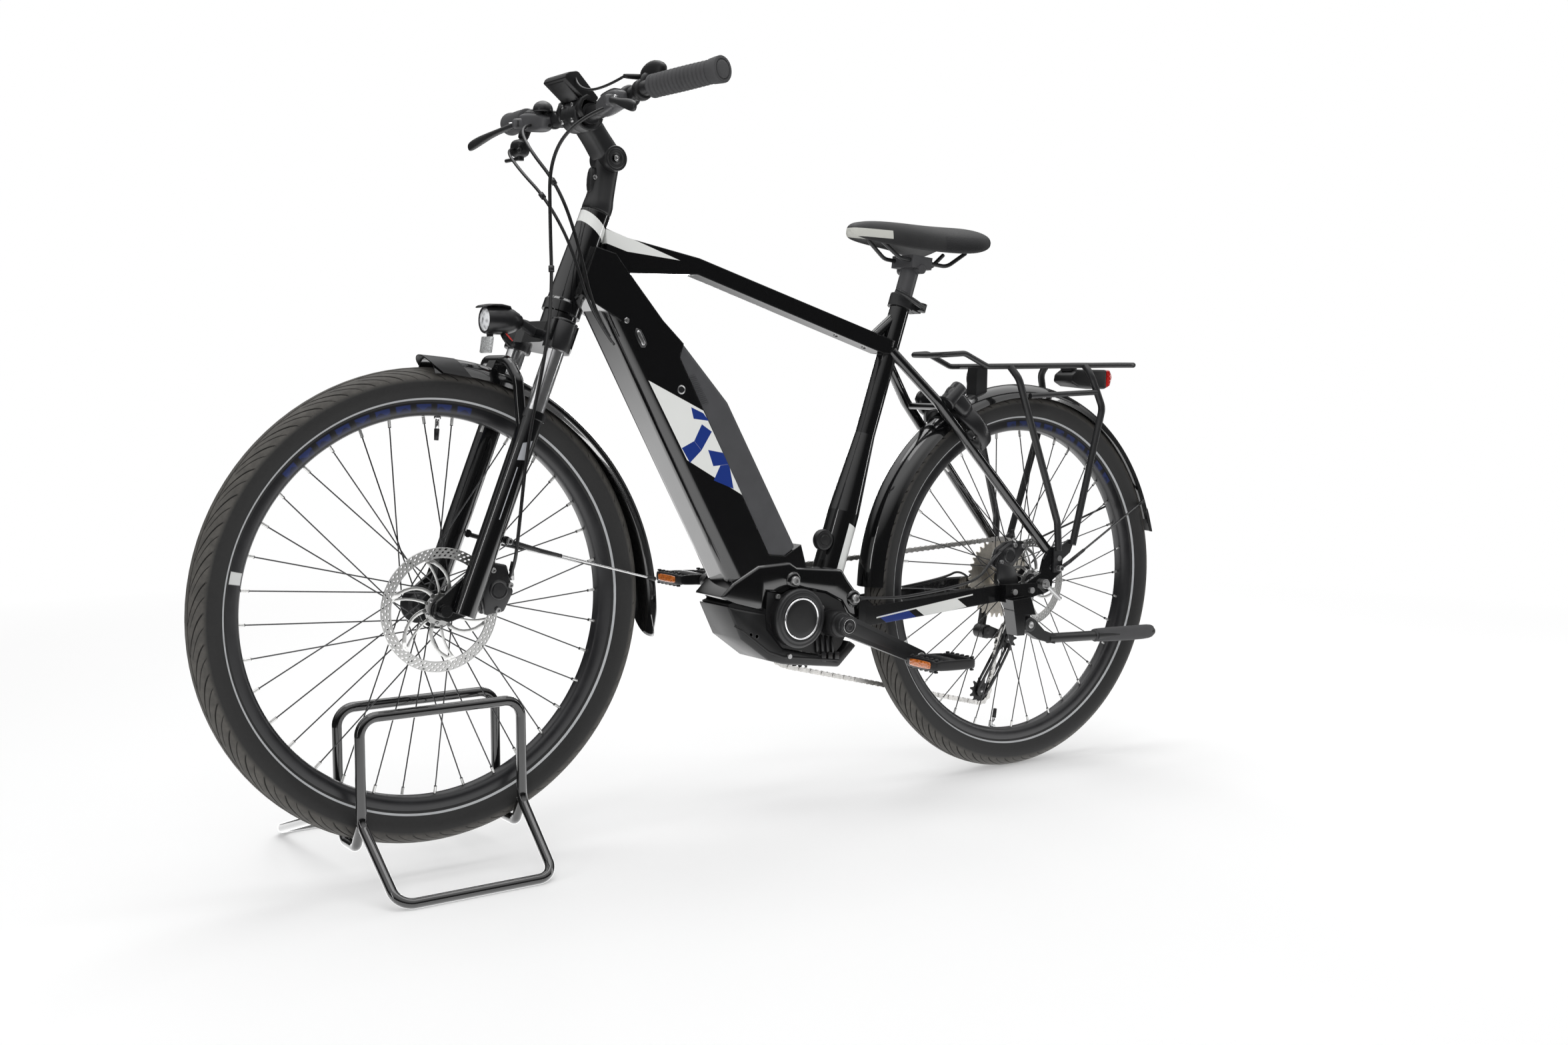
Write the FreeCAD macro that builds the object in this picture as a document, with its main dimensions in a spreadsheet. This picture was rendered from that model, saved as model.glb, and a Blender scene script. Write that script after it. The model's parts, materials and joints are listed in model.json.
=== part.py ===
"""Electric trekking bicycle held by its front wheel in a tube floor stand.

The bicycle is drawn level, about its rear axle, and then tipped back about that axle by the
height at which the stand's cradle carries the front tyre. X points to the rear, Y to the
rider's right and Z up; lengths are in millimetres and angles in degrees.
"""
import FreeCAD, Part
import math
import os
import Sketcher

Vector = FreeCAD.Vector

SIZES = {
    # wheels
    "tyre_radius": 347.0, "tyre_section": 27.5, "tyre_casing": 3.2,
    "rim_inner": 277.0, "rim_bead": 291.0, "rim_flange": 298.0, "rim_half": 14.0,
    "rim_wall": 1.8, "rim_well_half": 6.0, "rim_side": 286.0,
    "spoke_radius": 1.0, "spoke_lean": 50.0, "spoke_cross": 1.15, "spoke_spread": 3.5,
    "nipple_radius": 2.2, "nipple_length": 11.0, "flange_radius": 28.0, "flange_half": 1.5,
    "hub_shell": 15.0, "axle_radius": 5.0, "axle_fit": 0.05, "hub_cap": 9.5,
    "rotor_seat": 20.0, "rotor_thick": 1.8, "rotor_rim": 15.0, "bolt_head": 1.2, "rotor_hub": 24.0,
    "front_rotor": 90.0, "rear_rotor": 80.0,
    "front_hub_half": 50.0, "rear_hub_half": 71.0, "front_flange_left": 33.0,
    "front_flange_right": 34.0, "rear_flange_left": 33.0, "rear_flange_right": 22.0,
    "rotor_front_at": 42.0, "rotor_rear_at": 44.0,
    # frame layout
    "wheelbase": 1164.3, "cradle_lift": 44.7, "guard_reach": 372.0,
    "bracket_ahead": 461.0, "bracket_drop": 52.5, "seat_angle": 73.0,
    "head_angle": 70.3, "fork_offset": 47.4, "fork_length": 478.5, "head_length": 166.0,
    "head_low": 30.0, "head_top": 23.0, "steerer": 14.3, "head_bore": 15.0,
    # frame tubes
    "foot_ahead": 194.0, "foot_above": 64.5, "neck_back": 53.4, "neck_up": 8.5,
    "down_half": 42.0, "down_depth": 84.0, "down_round": 20.0,
    "seat_tube_low": 27.0, "seat_tube_top": 17.4, "seat_tube_foot": 74.0,
    "seat_tube_waist": 190.0, "seat_tube_neck": 330.0, "seat_tube_length": 582.0,
    "top_tube_half": 17.0, "seat_post": 15.8, "post_fit": 0.06,
    "seat_stay": 9.0,
    "dropout_thick": 6.0, "bottle_bore": 2.1, "boss_lean": 25.0,
    "boss_slope": 15.7, "boss_proud": 1.2, "boss_depth": 11.5,
    # drive
    "crank_length": 170.0, "crank_angle": 21.5, "crank_inner": 82.0, "crank_thick": 15.0,
    "crank_eye": 17.0, "spindle": 12.0, "spindle_fit": 0.05,
    "chain_pitch": 12.7, "chain_line": 42.0, "chain_gap": 1.15, "chain_plate": 1.0,
    "chain_half": 4.2, "ring_teeth": 44.0, "sprocket_teeth": 36.0, "pulley_teeth": 11.0,
    "tooth_thick": 1.8,
    "guide_back": 28.0, "guide_drop": 118.0, "tension_ahead": 35.0, "tension_drop": 213.0,
    "motor_half": 44.0, "motor_right": 34.0, "badge_ahead": 74.0, "badge_above": 12.0,
    "badge_radius": 48.5,
    # battery
    "battery_half": 40.0, "battery_seam": 0.3,

    # cockpit
    "pivot_ahead": 9.1, "pivot_above": 250.7, "bar_ahead": 47.5, "bar_above": 60.4,
    "bar_radius": 11.1, "bar_clamp": 15.9,
    "grip_radius": 17.0,
    # saddle
    "post_rise": 50.0, "post_length": 212.0, "junction_below": 94.4,
    # fork
    "leg_spread": 62.0, "leg_behind": 19.0, "stanchion": 14.0, "lower_leg": 17.5,
    "crown_drop": 66.0, "wiper_drop": 163.0, "leg_short": 2.5,
    # stand
    "stand_tube": 7.5, "stand_half": 125.0, "hoop_half": 43.0, "hoop_height": 248.0,
    "junction_height": 97.0, "near_foot": 155.0, "far_foot": 325.0, "tyre_rest_gap": 0.3,
    # guards
    "guard_crown": 362.0, "guard_round": 32.0, "guard_wall": 1.6,
    # rack
    "rack_tube": 5.0, "rack_leg": 6.5, "rack_half": 50.0,
}

document = FreeCAD.newDocument("bicycle_on_stand")
sheet = document.addObject("Spreadsheet::Sheet", "Sizes")
for row, (alias, number) in enumerate(SIZES.items(), 1):
    sheet.set(f"A{row}", alias)
    sheet.set(f"B{row}", str(number))
    sheet.setAlias(f"B{row}", alias)
document.recompute()


class Dim:
    """A size: its value, and the expression that gives it in the document."""

    def __init__(self, value, text):
        self.value = value
        self.text = text

    def __add__(self, other):
        other = dim(other)
        return Dim(self.value + other.value, f"({self.text} + {other.text})")

    def __radd__(self, other):
        return dim(other) + self

    def __sub__(self, other):
        other = dim(other)
        return Dim(self.value - other.value, f"({self.text} - {other.text})")

    def __rsub__(self, other):
        return dim(other) - self

    def __mul__(self, other):
        other = dim(other)
        return Dim(self.value * other.value, f"({self.text} * {other.text})")

    def __rmul__(self, other):
        return dim(other) * self

    def __truediv__(self, other):
        other = dim(other)
        return Dim(self.value / other.value, f"({self.text} / {other.text})")

    def __rtruediv__(self, other):
        return dim(other) / self

    def __neg__(self):
        return Dim(-self.value, f"(-{self.text})")

    def __float__(self):
        return float(self.value)


def dim(number):
    """A Dim as it is, or a plain number made into one."""
    if isinstance(number, Dim):
        return number
    return Dim(float(number), f"({number:.6f})")


class Sheet:
    """The sizes by name, read from the document's spreadsheet."""

    def __getattr__(self, alias):
        return Dim(float(sheet.get(alias)), f"Sizes.{alias}")


size = Sheet()


def sine(angle):
    angle = dim(angle)
    return Dim(math.sin(math.radians(angle.value)), f"sin({angle.text})")


def cosine(angle):
    angle = dim(angle)
    return Dim(math.cos(math.radians(angle.value)), f"cos({angle.text})")


def arc_sine(ratio):
    ratio = dim(ratio)
    return Dim(math.degrees(math.asin(ratio.value)), f"asin({ratio.text})")


def bearing(across, along):
    """The angle whose tangent is across over along."""
    across, along = dim(across), dim(along)
    return Dim(math.degrees(math.atan2(across.value, along.value)),
               f"atan2({across.text}; {along.text})")


def root(square):
    square = dim(square)
    return Dim(math.sqrt(square.value), f"sqrt({square.text})")


derived = document.addObject("Spreadsheet::Sheet", "Derived")


def named(alias, value):
    """Keep a worked-out size in the second sheet, by name, and use it from there."""
    row = len(derived.getUsedCells()) // 2 + 1
    derived.set(f"A{row}", alias)
    derived.set(f"B{row}", f"={value.text}")
    derived.setAlias(f"B{row}", alias)
    derived.recompute()
    return Dim(value.value, f"Derived.{alias}")


def place_text(x, y, z, axis=(0, 1, 0), angle=0):
    """The expression of a placement: a shift, after a turn about an axis."""
    shift = "; ".join(dim(part).text for part in (x, y, z))
    along = "; ".join(dim(part).text for part in axis)
    return f"placement(vector({shift}); rotation(vector({along}); {dim(angle).text}))"


class Frame:
    """A named coordinate frame that sub-parts are placed in."""

    def __init__(self, name, parent, x, y, z, turn=0, axis=(0, 1, 0)):
        self.item = document.addObject("App::Placement", name)
        text = place_text(x, y, z, axis, turn)
        if parent is not None:
            text = f"{parent.item.Name}.Placement * {text}"
        self.item.setExpression("Placement", text)
        document.recompute()

    def text(self):
        return f"{self.item.Name}.Placement"


tip_back = named("tip_back", arc_sine(size.cradle_lift / size.wheelbase))
axle_x = named("axle_x", (size.wheelbase * cosine(tip_back) + size.tyre_radius
                          - size.guard_reach) / 2)
ground = Frame("ground", None, 0, 0, 0)
bike = Frame("bike", ground, axle_x, 0, size.tyre_radius, tip_back)
bracket = Frame("bracket", bike, -size.bracket_ahead, 0, -size.bracket_drop)
seat = Frame("seat", bracket, 0, 0, 0, 90 - size.seat_angle)
head_x = named("head_x", size.fork_offset * sine(size.head_angle) - size.wheelbase
               + size.fork_length * cosine(size.head_angle))
head_z = named("head_z", size.fork_length * sine(size.head_angle)
               - size.fork_offset * cosine(size.head_angle))
steer = Frame("steer", bike, head_x, 0, head_z, 90 - size.head_angle)
front_axle = Frame("front_axle", steer, -size.fork_offset, 0, -size.fork_length)
front_level = Frame("front_level", bike, -size.wheelbase, 0, 0)
head_level = Frame("head_level", bike, head_x, 0, head_z)
perch = Frame("perch", seat, 0, 0, size.seat_tube_length + size.post_rise, size.seat_angle - 90)
join_x = named("join_x", (size.seat_tube_length - size.junction_below) * cosine(size.seat_angle)
               - size.bracket_ahead)
join_z = named("join_z", (size.seat_tube_length - size.junction_below) * sine(size.seat_angle)
               - size.bracket_drop)
cockpit = Frame("cockpit", steer, -size.pivot_ahead, 0, size.pivot_above,
                size.head_angle - 90)
crank = Frame("crank", bracket, 0, 0, 0, size.crank_angle)
foot_x = named("foot_x", -size.bracket_ahead - size.foot_ahead)
foot_z = named("foot_z", size.foot_above - size.bracket_drop)
neck_x = named("neck_x", head_x + size.neck_back)
neck_z = named("neck_z", head_z + size.neck_up)
down_length = named("down_length", root((neck_x - foot_x) * (neck_x - foot_x)
                                        + (neck_z - foot_z) * (neck_z - foot_z)))
down = Frame("down", bike, foot_x, 0, foot_z, bearing(neck_x - foot_x, neck_z - foot_z))
stand = Frame("stand_frame", ground, axle_x - size.wheelbase * cosine(tip_back), 0, 0)

serial = {"count": 0}
NODES = {}


def new(kind, title):
    """A new document object with a title of its own."""
    serial["count"] += 1
    return document.addObject(kind, f"{title}_{serial['count']}")


def bind(item, name, value):
    if isinstance(value, Dim):
        item.setExpression(name, value.text)
    else:
        setattr(item, name, value)


def put(item, frame, x=0, y=0, z=0, axis=(0, 1, 0), angle=0):
    """Place an object in a frame by expression."""
    item.setExpression("Placement", f"{frame.text()} * {place_text(x, y, z, axis, angle)}")
    return item


AXES = {"x": ((0, 1, 0), 90), "y": ((1, 0, 0), -90), "z": ((0, 0, 1), 0)}


def cylinder(frame, x, y, z, radius, length, along="y"):
    """A round bar that starts at a point and runs along one axis of its frame."""
    item = new("Part::Cylinder", "bar")
    bind(item, "Radius", radius)
    bind(item, "Height", length)
    return put(item, frame, x, y, z, *AXES[along])


def cone(frame, x, y, z, start, end, length, along="z"):
    item = new("Part::Cone", "cone")
    bind(item, "Radius1", start)
    bind(item, "Radius2", end)
    bind(item, "Height", length)
    return put(item, frame, x, y, z, *AXES[along])


def box(frame, x, y, z, long, wide, high):
    item = new("Part::Box", "block")
    bind(item, "Length", long)
    bind(item, "Width", wide)
    bind(item, "Height", high)
    return put(item, frame, x, y, z)


def ring(frame, y, outer, inner, width):
    """A flat ring about the y axis."""
    return cut(cylinder(frame, 0, y, 0, outer, width), cylinder(frame, 0, y, 0, inner, width))


def rod(frame, start, end, radius):
    """A round bar between two points."""
    across = [dim(b) - dim(a) for a, b in zip(start, end)]
    flat = root(across[0] * across[0] + across[1] * across[1])
    length = root(flat * flat + across[2] * across[2])
    item = new("Part::Cylinder", "rod")
    bind(item, "Radius", radius)
    bind(item, "Height", length)
    if flat.value < 1e-6:
        return put(item, frame, *start)
    return put(item, frame, *start, (-across[1], across[0], 0), bearing(flat, across[2]))


def fuse(*items):
    if len(items) == 1:
        return items[0]
    item = new("Part::MultiFuse", "joined")
    item.Shapes = list(items)
    return item


def fuse_in_turn(first, *others):
    """Join pieces one after another."""
    for other in others:
        item = new("Part::Fuse", "joined")
        item.Base = first
        item.Tool = other
        first = item
    return first


def cut(base, *tools):
    item = new("Part::Cut", "cut")
    item.Base = base
    item.Tool = fuse(*tools)
    return item


def common(*items):
    """What two or more pieces share."""
    item = new("Part::MultiCommon", "shared")
    item.Shapes = list(items)
    return item


def group(*items):
    item = new("Part::Compound", "group")
    item.Links = list(items)
    return item


def mirror(item):
    """The same piece on the other side of the bicycle."""
    twin = new("Part::Mirroring", "mirrored")
    twin.Source = item
    twin.Normal = Vector(0, 1, 0)
    return twin


def pair(item):
    return item, mirror(item)


def plane_of(body, role):
    return next(plane for plane in body.Origin.OriginFeatures if plane.Role == role)


def sketch_on(body, role, lift=0):
    sketch = body.newObject("Sketcher::SketchObject", f"outline_{serial['count']}")
    sketch.AttachmentSupport = (plane_of(body, role), [""])
    sketch.MapMode = "FlatFace"
    if isinstance(lift, Dim) or lift:
        bind(sketch, "AttachmentOffset.Base.z", lift if isinstance(lift, Dim) else dim(lift))
    return sketch


def fix(sketch, kind, item, point, value):
    """Hold one coordinate of a point, bound to its expression."""
    value = dim(value)
    index = sketch.addConstraint(Sketcher.Constraint(kind, -1, 1, item, point, value.value))
    sketch.setExpression(f"Constraints[{index}]", value.text)


def draw_loop(sketch, points):
    """A closed outline of straight runs, each corner held by its two coordinates."""
    first = sketch.GeometryCount
    count = len(points)
    spots = [Vector(float(dim(a)), float(dim(b)), 0) for a, b in points]
    for index in range(count):
        sketch.addGeometry(Part.LineSegment(spots[index], spots[(index + 1) % count]), False)
    for index in range(count):
        after = first + (index + 1) % count
        sketch.addConstraint(Sketcher.Constraint("Coincident", first + index, 2, after, 1))
    for index, (across, up) in enumerate(points):
        fix(sketch, "DistanceX", first + index, 1, across)
        fix(sketch, "DistanceY", first + index, 1, up)


def draw_circle(sketch, across, up, radius):
    across, up, radius = dim(across), dim(up), dim(radius)
    spot = Vector(across.value, up.value, 0)
    item = sketch.addGeometry(Part.Circle(spot, Vector(0, 0, 1), radius.value), False)
    index = sketch.addConstraint(Sketcher.Constraint("Radius", item, radius.value))
    sketch.setExpression(f"Constraints[{index}]", radius.text)
    fix(sketch, "DistanceX", item, 3, across)
    fix(sketch, "DistanceY", item, 3, up)


def draw(sketch, shapes):
    for shape in shapes:
        if isinstance(shape, tuple) and len(shape) == 3:
            draw_circle(sketch, *shape)
        else:
            draw_loop(sketch, shape)


def new_body(title):
    body = new("PartDesign::Body", title)
    return body


def pad(body, role, shapes, length, middle=0):
    """A pad, half to each side of its middle, of outlines and round outlines."""
    sketch = sketch_on(body, role, middle)
    draw(sketch, shapes)
    item = body.newObject("PartDesign::Pad", "pad")
    item.Profile = sketch
    bind(item, "Length", length)
    item.SideType = "Symmetric"
    return item


def plate(frame, low, high, *shapes):
    """A side-view outline (x, z), thick from low to high along y."""
    body = new_body("plate")
    low, high = dim(low), dim(high)
    pad(body, "XZ_Plane", shapes, high - low, -(low + high) / 2)
    return put(body, frame)


def slab(frame, low, high, *shapes):
    """A plan outline (x, y), thick from low to high along z."""
    body = new_body("slab")
    low, high = dim(low), dim(high)
    pad(body, "XY_Plane", shapes, high - low, (low + high) / 2)
    return put(body, frame)


def turned(frame, points, about="y", angle=360, more=()):
    """A turned piece: (along, radius) points revolved about the y or z axis."""
    body = new_body("turned")
    if about == "y":
        sketch = sketch_on(body, "XY_Plane")
        loops = [[(r, a) for a, r in loop] for loop in (points, *more)]
    else:
        sketch = sketch_on(body, "XZ_Plane")
        loops = [[(r, a) for a, r in loop] for loop in (points, *more)]
    draw(sketch, loops)
    item = body.newObject("PartDesign::Revolution", "revolution")
    item.Profile = sketch
    item.ReferenceAxis = (sketch, ["V_Axis"])
    bind(item, "Angle", angle)
    return put(body, frame)


def bend_path(points, share=0.45, radius=None):
    """Straight runs joined by tangent arcs."""
    spots = [Vector(*(float(dim(part)) for part in point)) for point in points]
    edges = []
    here = spots[0]
    for index in range(1, len(spots) - 1):
        corner = spots[index]
        back = spots[index - 1] - corner
        ahead = spots[index + 1] - corner
        runs = min(back.Length, ahead.Length)
        back.normalize()
        ahead.normalize()
        inside = back.getAngle(ahead)
        reach = share * runs
        if radius is not None:
            reach = min(reach, float(dim(radius)) / math.tan(inside / 2))
        enter = corner + back * reach
        leave = corner + ahead * reach
        middle = back + ahead
        middle.normalize()
        arc_radius = reach * math.tan(inside / 2)
        centre = corner + middle * (arc_radius / math.sin(inside / 2))
        top = centre - middle * arc_radius
        if (enter - here).Length > 1e-6:
            edges.append(Part.LineSegment(here, enter).toShape())
        edges.append(Part.Arc(enter, top, leave).toShape())
        here = leave
    edges.append(Part.LineSegment(here, spots[-1]).toShape())
    return Part.Wire(edges)


def tube(frame, points, radius, bend=None):
    """A bent round tube: a circle swept along straight runs and tangent arcs."""
    path = new("Part::Feature", "path")
    path.Shape = bend_path(points, radius=bend)
    put(path, frame)
    start = [dim(part) for part in points[0]]
    toward = [dim(b) - a for a, b in zip(start, points[1])]
    flat = root(toward[0] * toward[0] + toward[1] * toward[1])
    profile = new("Part::Circle", "section")
    bind(profile, "Radius", radius)
    if flat.value < 1e-6:
        put(profile, frame, *start)
    else:
        put(profile, frame, *start, (-toward[1], toward[0], 0), bearing(flat, toward[2]))
    item = new("Part::Sweep", "tube")
    item.Sections = [profile]
    item.Spine = (path, [f"Edge{n}" for n in range(1, len(path.Shape.Edges) + 1)])
    item.Solid = True
    item.Frenet = False
    return item


def shape_feature(frame, shape):
    item = new("Part::Feature", "shape")
    item.Shape = shape
    return put(item, frame)


def soften(item, radius, rule):
    """Round the edges that a rule picks."""
    document.recompute()
    picked = [n for n, edge in enumerate(item.Shape.Edges, 1) if rule(edge)]
    rounded = new("Part::Fillet", "rounded")
    rounded.Base = item
    rounded.Edges = [(n, float(dim(radius)), float(dim(radius))) for n in picked]
    return rounded


def node(name, item):
    """Name a finished sub-part."""
    item.Label = name
    NODES[name] = item
    return item


def toothed(teeth, plate_low, plate_high, bore):
    """A sprocket: one outline of flanks and tips about its pitch circle."""
    teeth = int(round(float(dim(teeth))))
    pitch = float(size.chain_pitch) / (2 * math.sin(math.pi / teeth))
    tip = pitch + 0.22 * float(size.chain_pitch)
    base = pitch - 0.34 * float(size.chain_pitch)
    corners = []
    step = 2 * math.pi / teeth
    for index in range(teeth):
        middle = index * step
        for share, radius in ((-0.34, base), (-0.09, tip), (0.09, tip), (0.34, base)):
            angle = middle + share * step
            corners.append(Vector(radius * math.cos(angle), plate_low, radius * math.sin(angle)))
    corners.append(corners[0])
    outline = Part.makePolygon(corners)
    hole = Part.Wire(Part.makeCircle(bore, Vector(0, plate_low, 0), Vector(0, 1, 0)))
    face = Part.Face(outline).cut(Part.Face(hole))
    return face.extrude(Vector(0, plate_high - plate_low, 0))


def pitch_radius(teeth):
    return size.chain_pitch / (2 * sine(180 / dim(teeth)))


# ---------------------------------------------------------------- wheels
SPOKES = 36
SPOKE_STEP = 360 / SPOKES
ROTOR_ARMS = 6
BOLTS = 6


def torus(frame, middle, section):
    item = new("Part::Torus", "torus")
    bind(item, "Radius1", middle)
    bind(item, "Radius2", section)
    return put(item, frame, 0, 0, 0, (1, 0, 0), 90)


def tyre(frame):
    middle = size.tyre_radius - size.tyre_section
    bead = size.rim_half + size.axle_fit
    return cut(torus(frame, middle, size.tyre_section),
               torus(frame, middle, size.tyre_section - size.tyre_casing),
               cylinder(frame, 0, -bead, 0, size.rim_flange + 2, bead * 2))


def rim(frame):
    half, wall, well = size.rim_half, size.rim_wall, size.rim_well_half
    inner, bead, side = size.rim_inner, size.rim_bead, size.rim_side
    drop = 2
    outside = [(-half, size.rim_flange), (wall - half, size.rim_flange), (wall - half, bead),
               (-well, bead - drop), (well, bead - drop), (half - wall, bead),
               (half - wall, size.rim_flange), (half, size.rim_flange), (half, side),
               (well, inner), (-well, inner), (-half, side)]
    cavity = [(wall - half, side + wall / 4), (wall / 4 - well, inner + wall),
              (well - wall / 4, inner + wall), (half - wall, side + wall / 4),
              (half - wall, bead - wall), (well, bead - drop - wall),
              (-well, bead - drop - wall), (wall - half, bead - wall)]
    return turned(frame, outside, more=[cavity])


def spokes(frame, title, left, right, phase):
    """Crossed spokes, each in its nipple, between the hub's flanges and the rim."""
    rim_end = size.rim_inner - size.spoke_radius / 2
    hub_end = size.flange_radius + size.spoke_radius * 1.2
    bars = []
    for side, flange in ((-1, left), (1, right)):
        for lean in (-1, 1):
            tag = f"{title}_{'left' if side < 0 else 'right'}_{'back' if lean < 0 else 'front'}"
            shift = size.spoke_cross * lean
            start = (hub_end * cosine(size.spoke_lean * lean), side * flange + shift,
                     hub_end * sine(size.spoke_lean * lean))
            end = (rim_end, side * size.spoke_spread + shift, dim(0))
            start = [named(f"{tag}_start_{axis}", part) for axis, part in zip("xyz", start)]
            run = [b - a for a, b in zip(start, end)]
            length = named(f"{tag}_length", root(run[0] * run[0] + run[1] * run[1]
                                                 + run[2] * run[2]))
            share = size.nipple_length / length
            seat_at = [named(f"{tag}_seat_{axis}", b - (b - a) * share)
                       for axis, a, b in zip("xyz", start, end)]
            for index in range(SPOKES // 4):
                turn = phase + SPOKE_STEP * (4 * index + (1 - side) // 2 + (lean + 1))
                bars.append(turned_rod(frame, turn, start, seat_at, size.spoke_radius))
                bars.append(turned_rod(frame, turn, seat_at, end, size.nipple_radius))
    return group(*bars)


def turned_rod(frame, turn, start, end, radius):
    """A rod between two points, turned about the wheel's axis."""
    item = rod(frame, start, end, radius)
    text = dict(item.ExpressionEngine)["Placement"]
    swing = place_text(0, 0, 0, (0, 1, 0), -turn)
    item.setExpression("Placement", text.replace(f"{frame.text()} * ",
                                                 f"{frame.text()} * {swing} * ", 1))
    return item


def rotor(frame, y, radius):
    """A slotted brake disc with leaning arms and its bolts, its left face at y."""
    thick = size.rotor_thick
    inner = radius - size.rotor_rim
    body = new_body("rotor")
    pad(body, "XZ_Plane", [(0, 0, radius), (0, 0, inner)], thick, -(y + thick / 2))
    arm = pad(body, "XZ_Plane", [[(0, size.rotor_hub - 4), (9, size.rotor_hub - 6),
                                  (inner * 0.45, inner * 0.93), (inner * 0.3, inner * 0.985)]],
              thick, -(y + thick / 2))
    fan = body.newObject("PartDesign::PolarPattern", "arms")
    fan.Originals = [arm]
    fan.Axis = (plane_axis(body, "Y_Axis"), [""])
    fan.Angle = 360
    fan.Occurrences = ROTOR_ARMS
    body.Tip = fan
    pad(body, "XZ_Plane", [(0, 0, size.rotor_hub), (0, 0, size.hub_shell - 1)], thick,
        -(y + thick / 2))
    put(body, frame)
    holes = []
    bolts = []
    for index in range(18):
        turn = 360 / 18 * index
        reach = radius - size.rotor_rim * (0.35 if index % 2 else 0.62)
        holes.append(cylinder(frame, reach * cosine(turn), y - 1, reach * sine(turn), 3,
                              thick + 2))
    for index in range(BOLTS):
        turn = 360 / BOLTS * index + 15
        reach = size.rotor_hub - 4.5
        bolts.append(cylinder(frame, reach * cosine(turn), y - size.bolt_head,
                              reach * sine(turn), 3, size.bolt_head))
    return group(cut(body, *holes), *bolts)


def plane_axis(body, role):
    return next(item for item in body.Origin.OriginFeatures if item.Role == role)


def hub(frame, left, right, half, rotor_at, drive):
    """A turned hub shell: caps, disc seat, two spoke flanges and a bore for the axle."""
    flange, shell = size.flange_radius, size.hub_shell
    t = size.flange_half
    cap, seat_r = size.hub_cap, size.rotor_seat
    bore = size.axle_radius + size.axle_fit
    points = [(-half, bore), (-half, cap), (-rotor_at - 4, cap), (-rotor_at - 4, shell - 1.2),
              (-rotor_at, shell - 1.2), (-rotor_at, seat_r), (-left - t - 2, seat_r),
              (-left - t, shell + 3), (-left - t, flange), (t - left, flange),
              (t - left, shell + 2), (8 - left, shell - 2), (right - 8, shell - 2),
              (right - t, shell + 2), (right - t, flange), (right + t, flange)]
    if drive:
        points += [(right + t, shell + 2), (right + t + 2, shell + 2), (right + t + 2, cap)]
    else:
        points += [(right + t, shell), (right + 7, shell), (right + 9, cap)]
    points += [(half, cap), (half, bore)]
    return turned(frame, points)


def wheel(name, frame, phase, left, right, half, rotor_at, rotor_radius, drive):
    node(f"{name}_tyre", tyre(frame))
    node(f"{name}_rim", rim(frame))
    node(f"{name}_spokes", spokes(frame, name, left, right, phase))
    node(f"{name}_hub", hub(frame, left, right, half, rotor_at, drive))
    node(f"{name}_rotor", rotor(frame, -rotor_at - size.rotor_thick, rotor_radius))


wheel("rear", bike, 1.2, size.rear_flange_left, size.rear_flange_right, size.rear_hub_half,
      size.rotor_rear_at, size.rear_rotor, True)
wheel("front", front_level, 3, size.front_flange_left, size.front_flange_right,
      size.front_hub_half, size.rotor_front_at, size.front_rotor, False)


# ---------------------------------------------------------------- floor stand
def stand_tubes():
    """Two hoops beside the tyre, a floor loop under each and two cradles between them."""
    radius, half, out = size.stand_tube, size.stand_half, size.hoop_half
    join, top = size.junction_height, size.hoop_height
    reach = size.tyre_radius + radius + size.tyre_rest_gap
    cradle = named("cradle_height", size.tyre_radius + size.cradle_lift
                   - root(reach * reach - half * half))
    tubes = []
    for side, foot in ((-1, size.near_foot), (1, size.far_foot)):
        y = out * side
        tubes.append(tube(stand, [(0, y, top), (half, y, top), (half, y, join),
                                  (half - 6, foot * side, radius),
                                  (6 - half, foot * side, radius), (-half, y, join),
                                  (-half, y, top), (0, y, top)], radius, 26))
    for end in (-half, half):
        tubes.append(tube(stand, [(end, 1 - out, join - 1), (end, out / -2, cradle),
                                  (end, out / 2, cradle), (end, out - 1, join - 1)],
                          radius, 14))
    return fuse_in_turn(*tubes)


node("stand", stand_tubes())


# ---------------------------------------------------------------- frame
def down_tube():
    """The down tube with the head tube, and a ledge that the battery stands on."""
    length, depth, half = down_length, size.down_depth, size.down_half
    body = plate(down, -half, half,
                 [(0, length), (0, 0), (138, -50), (147, -6.6), (110.9, -6.5), (depth, 11.7),
                  (depth, 374), (100.3, 389.6), (depth, 438), (67, length + 18),
                  (58, length + 66), (32, length + 90), (-26, length + 40)])
    rounded = soften(body, size.down_round, low_long_edges)
    core = cylinder(steer, 0, 0, -20, size.head_bore + 3, size.head_length + 40, "z")
    return fuse(head_tube(), cut(rounded, core))


def low_long_edges(edge):
    """The two long edges under the down tube."""
    if not isinstance(edge.Curve, Part.Line) or edge.Length < 200:
        return False
    middle = down.item.Placement.inverse().multVec(edge.CenterOfMass)
    return abs(middle.x) < 1


def head_tube():
    """The head tube: a taper with a bearing seat at each end."""
    seat_bore = size.steerer + size.axle_fit
    low, top, length = size.head_low, size.head_top, size.head_length
    return turned(steer, [(0, seat_bore), (0, low), (16, low), (20, low - 3),
                          (length - 16, top), (length, top), (length, seat_bore),
                          (length - 12, seat_bore), (length - 12, size.head_bore),
                          (12, size.head_bore), (12, seat_bore)], about="z")


def seat_tube():
    """The seat tube: wide above the drive, narrow round the seat post."""
    bore = size.seat_post + size.post_fit
    low, top = size.seat_tube_low, size.seat_tube_top
    foot, waist = size.seat_tube_foot, size.seat_tube_waist
    neck, length = size.seat_tube_neck, size.seat_tube_length
    return turned(seat, [(foot, bore), (foot, low), (waist, low), (neck, top), (length, top),
                         (length, bore)], about="z")


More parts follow.
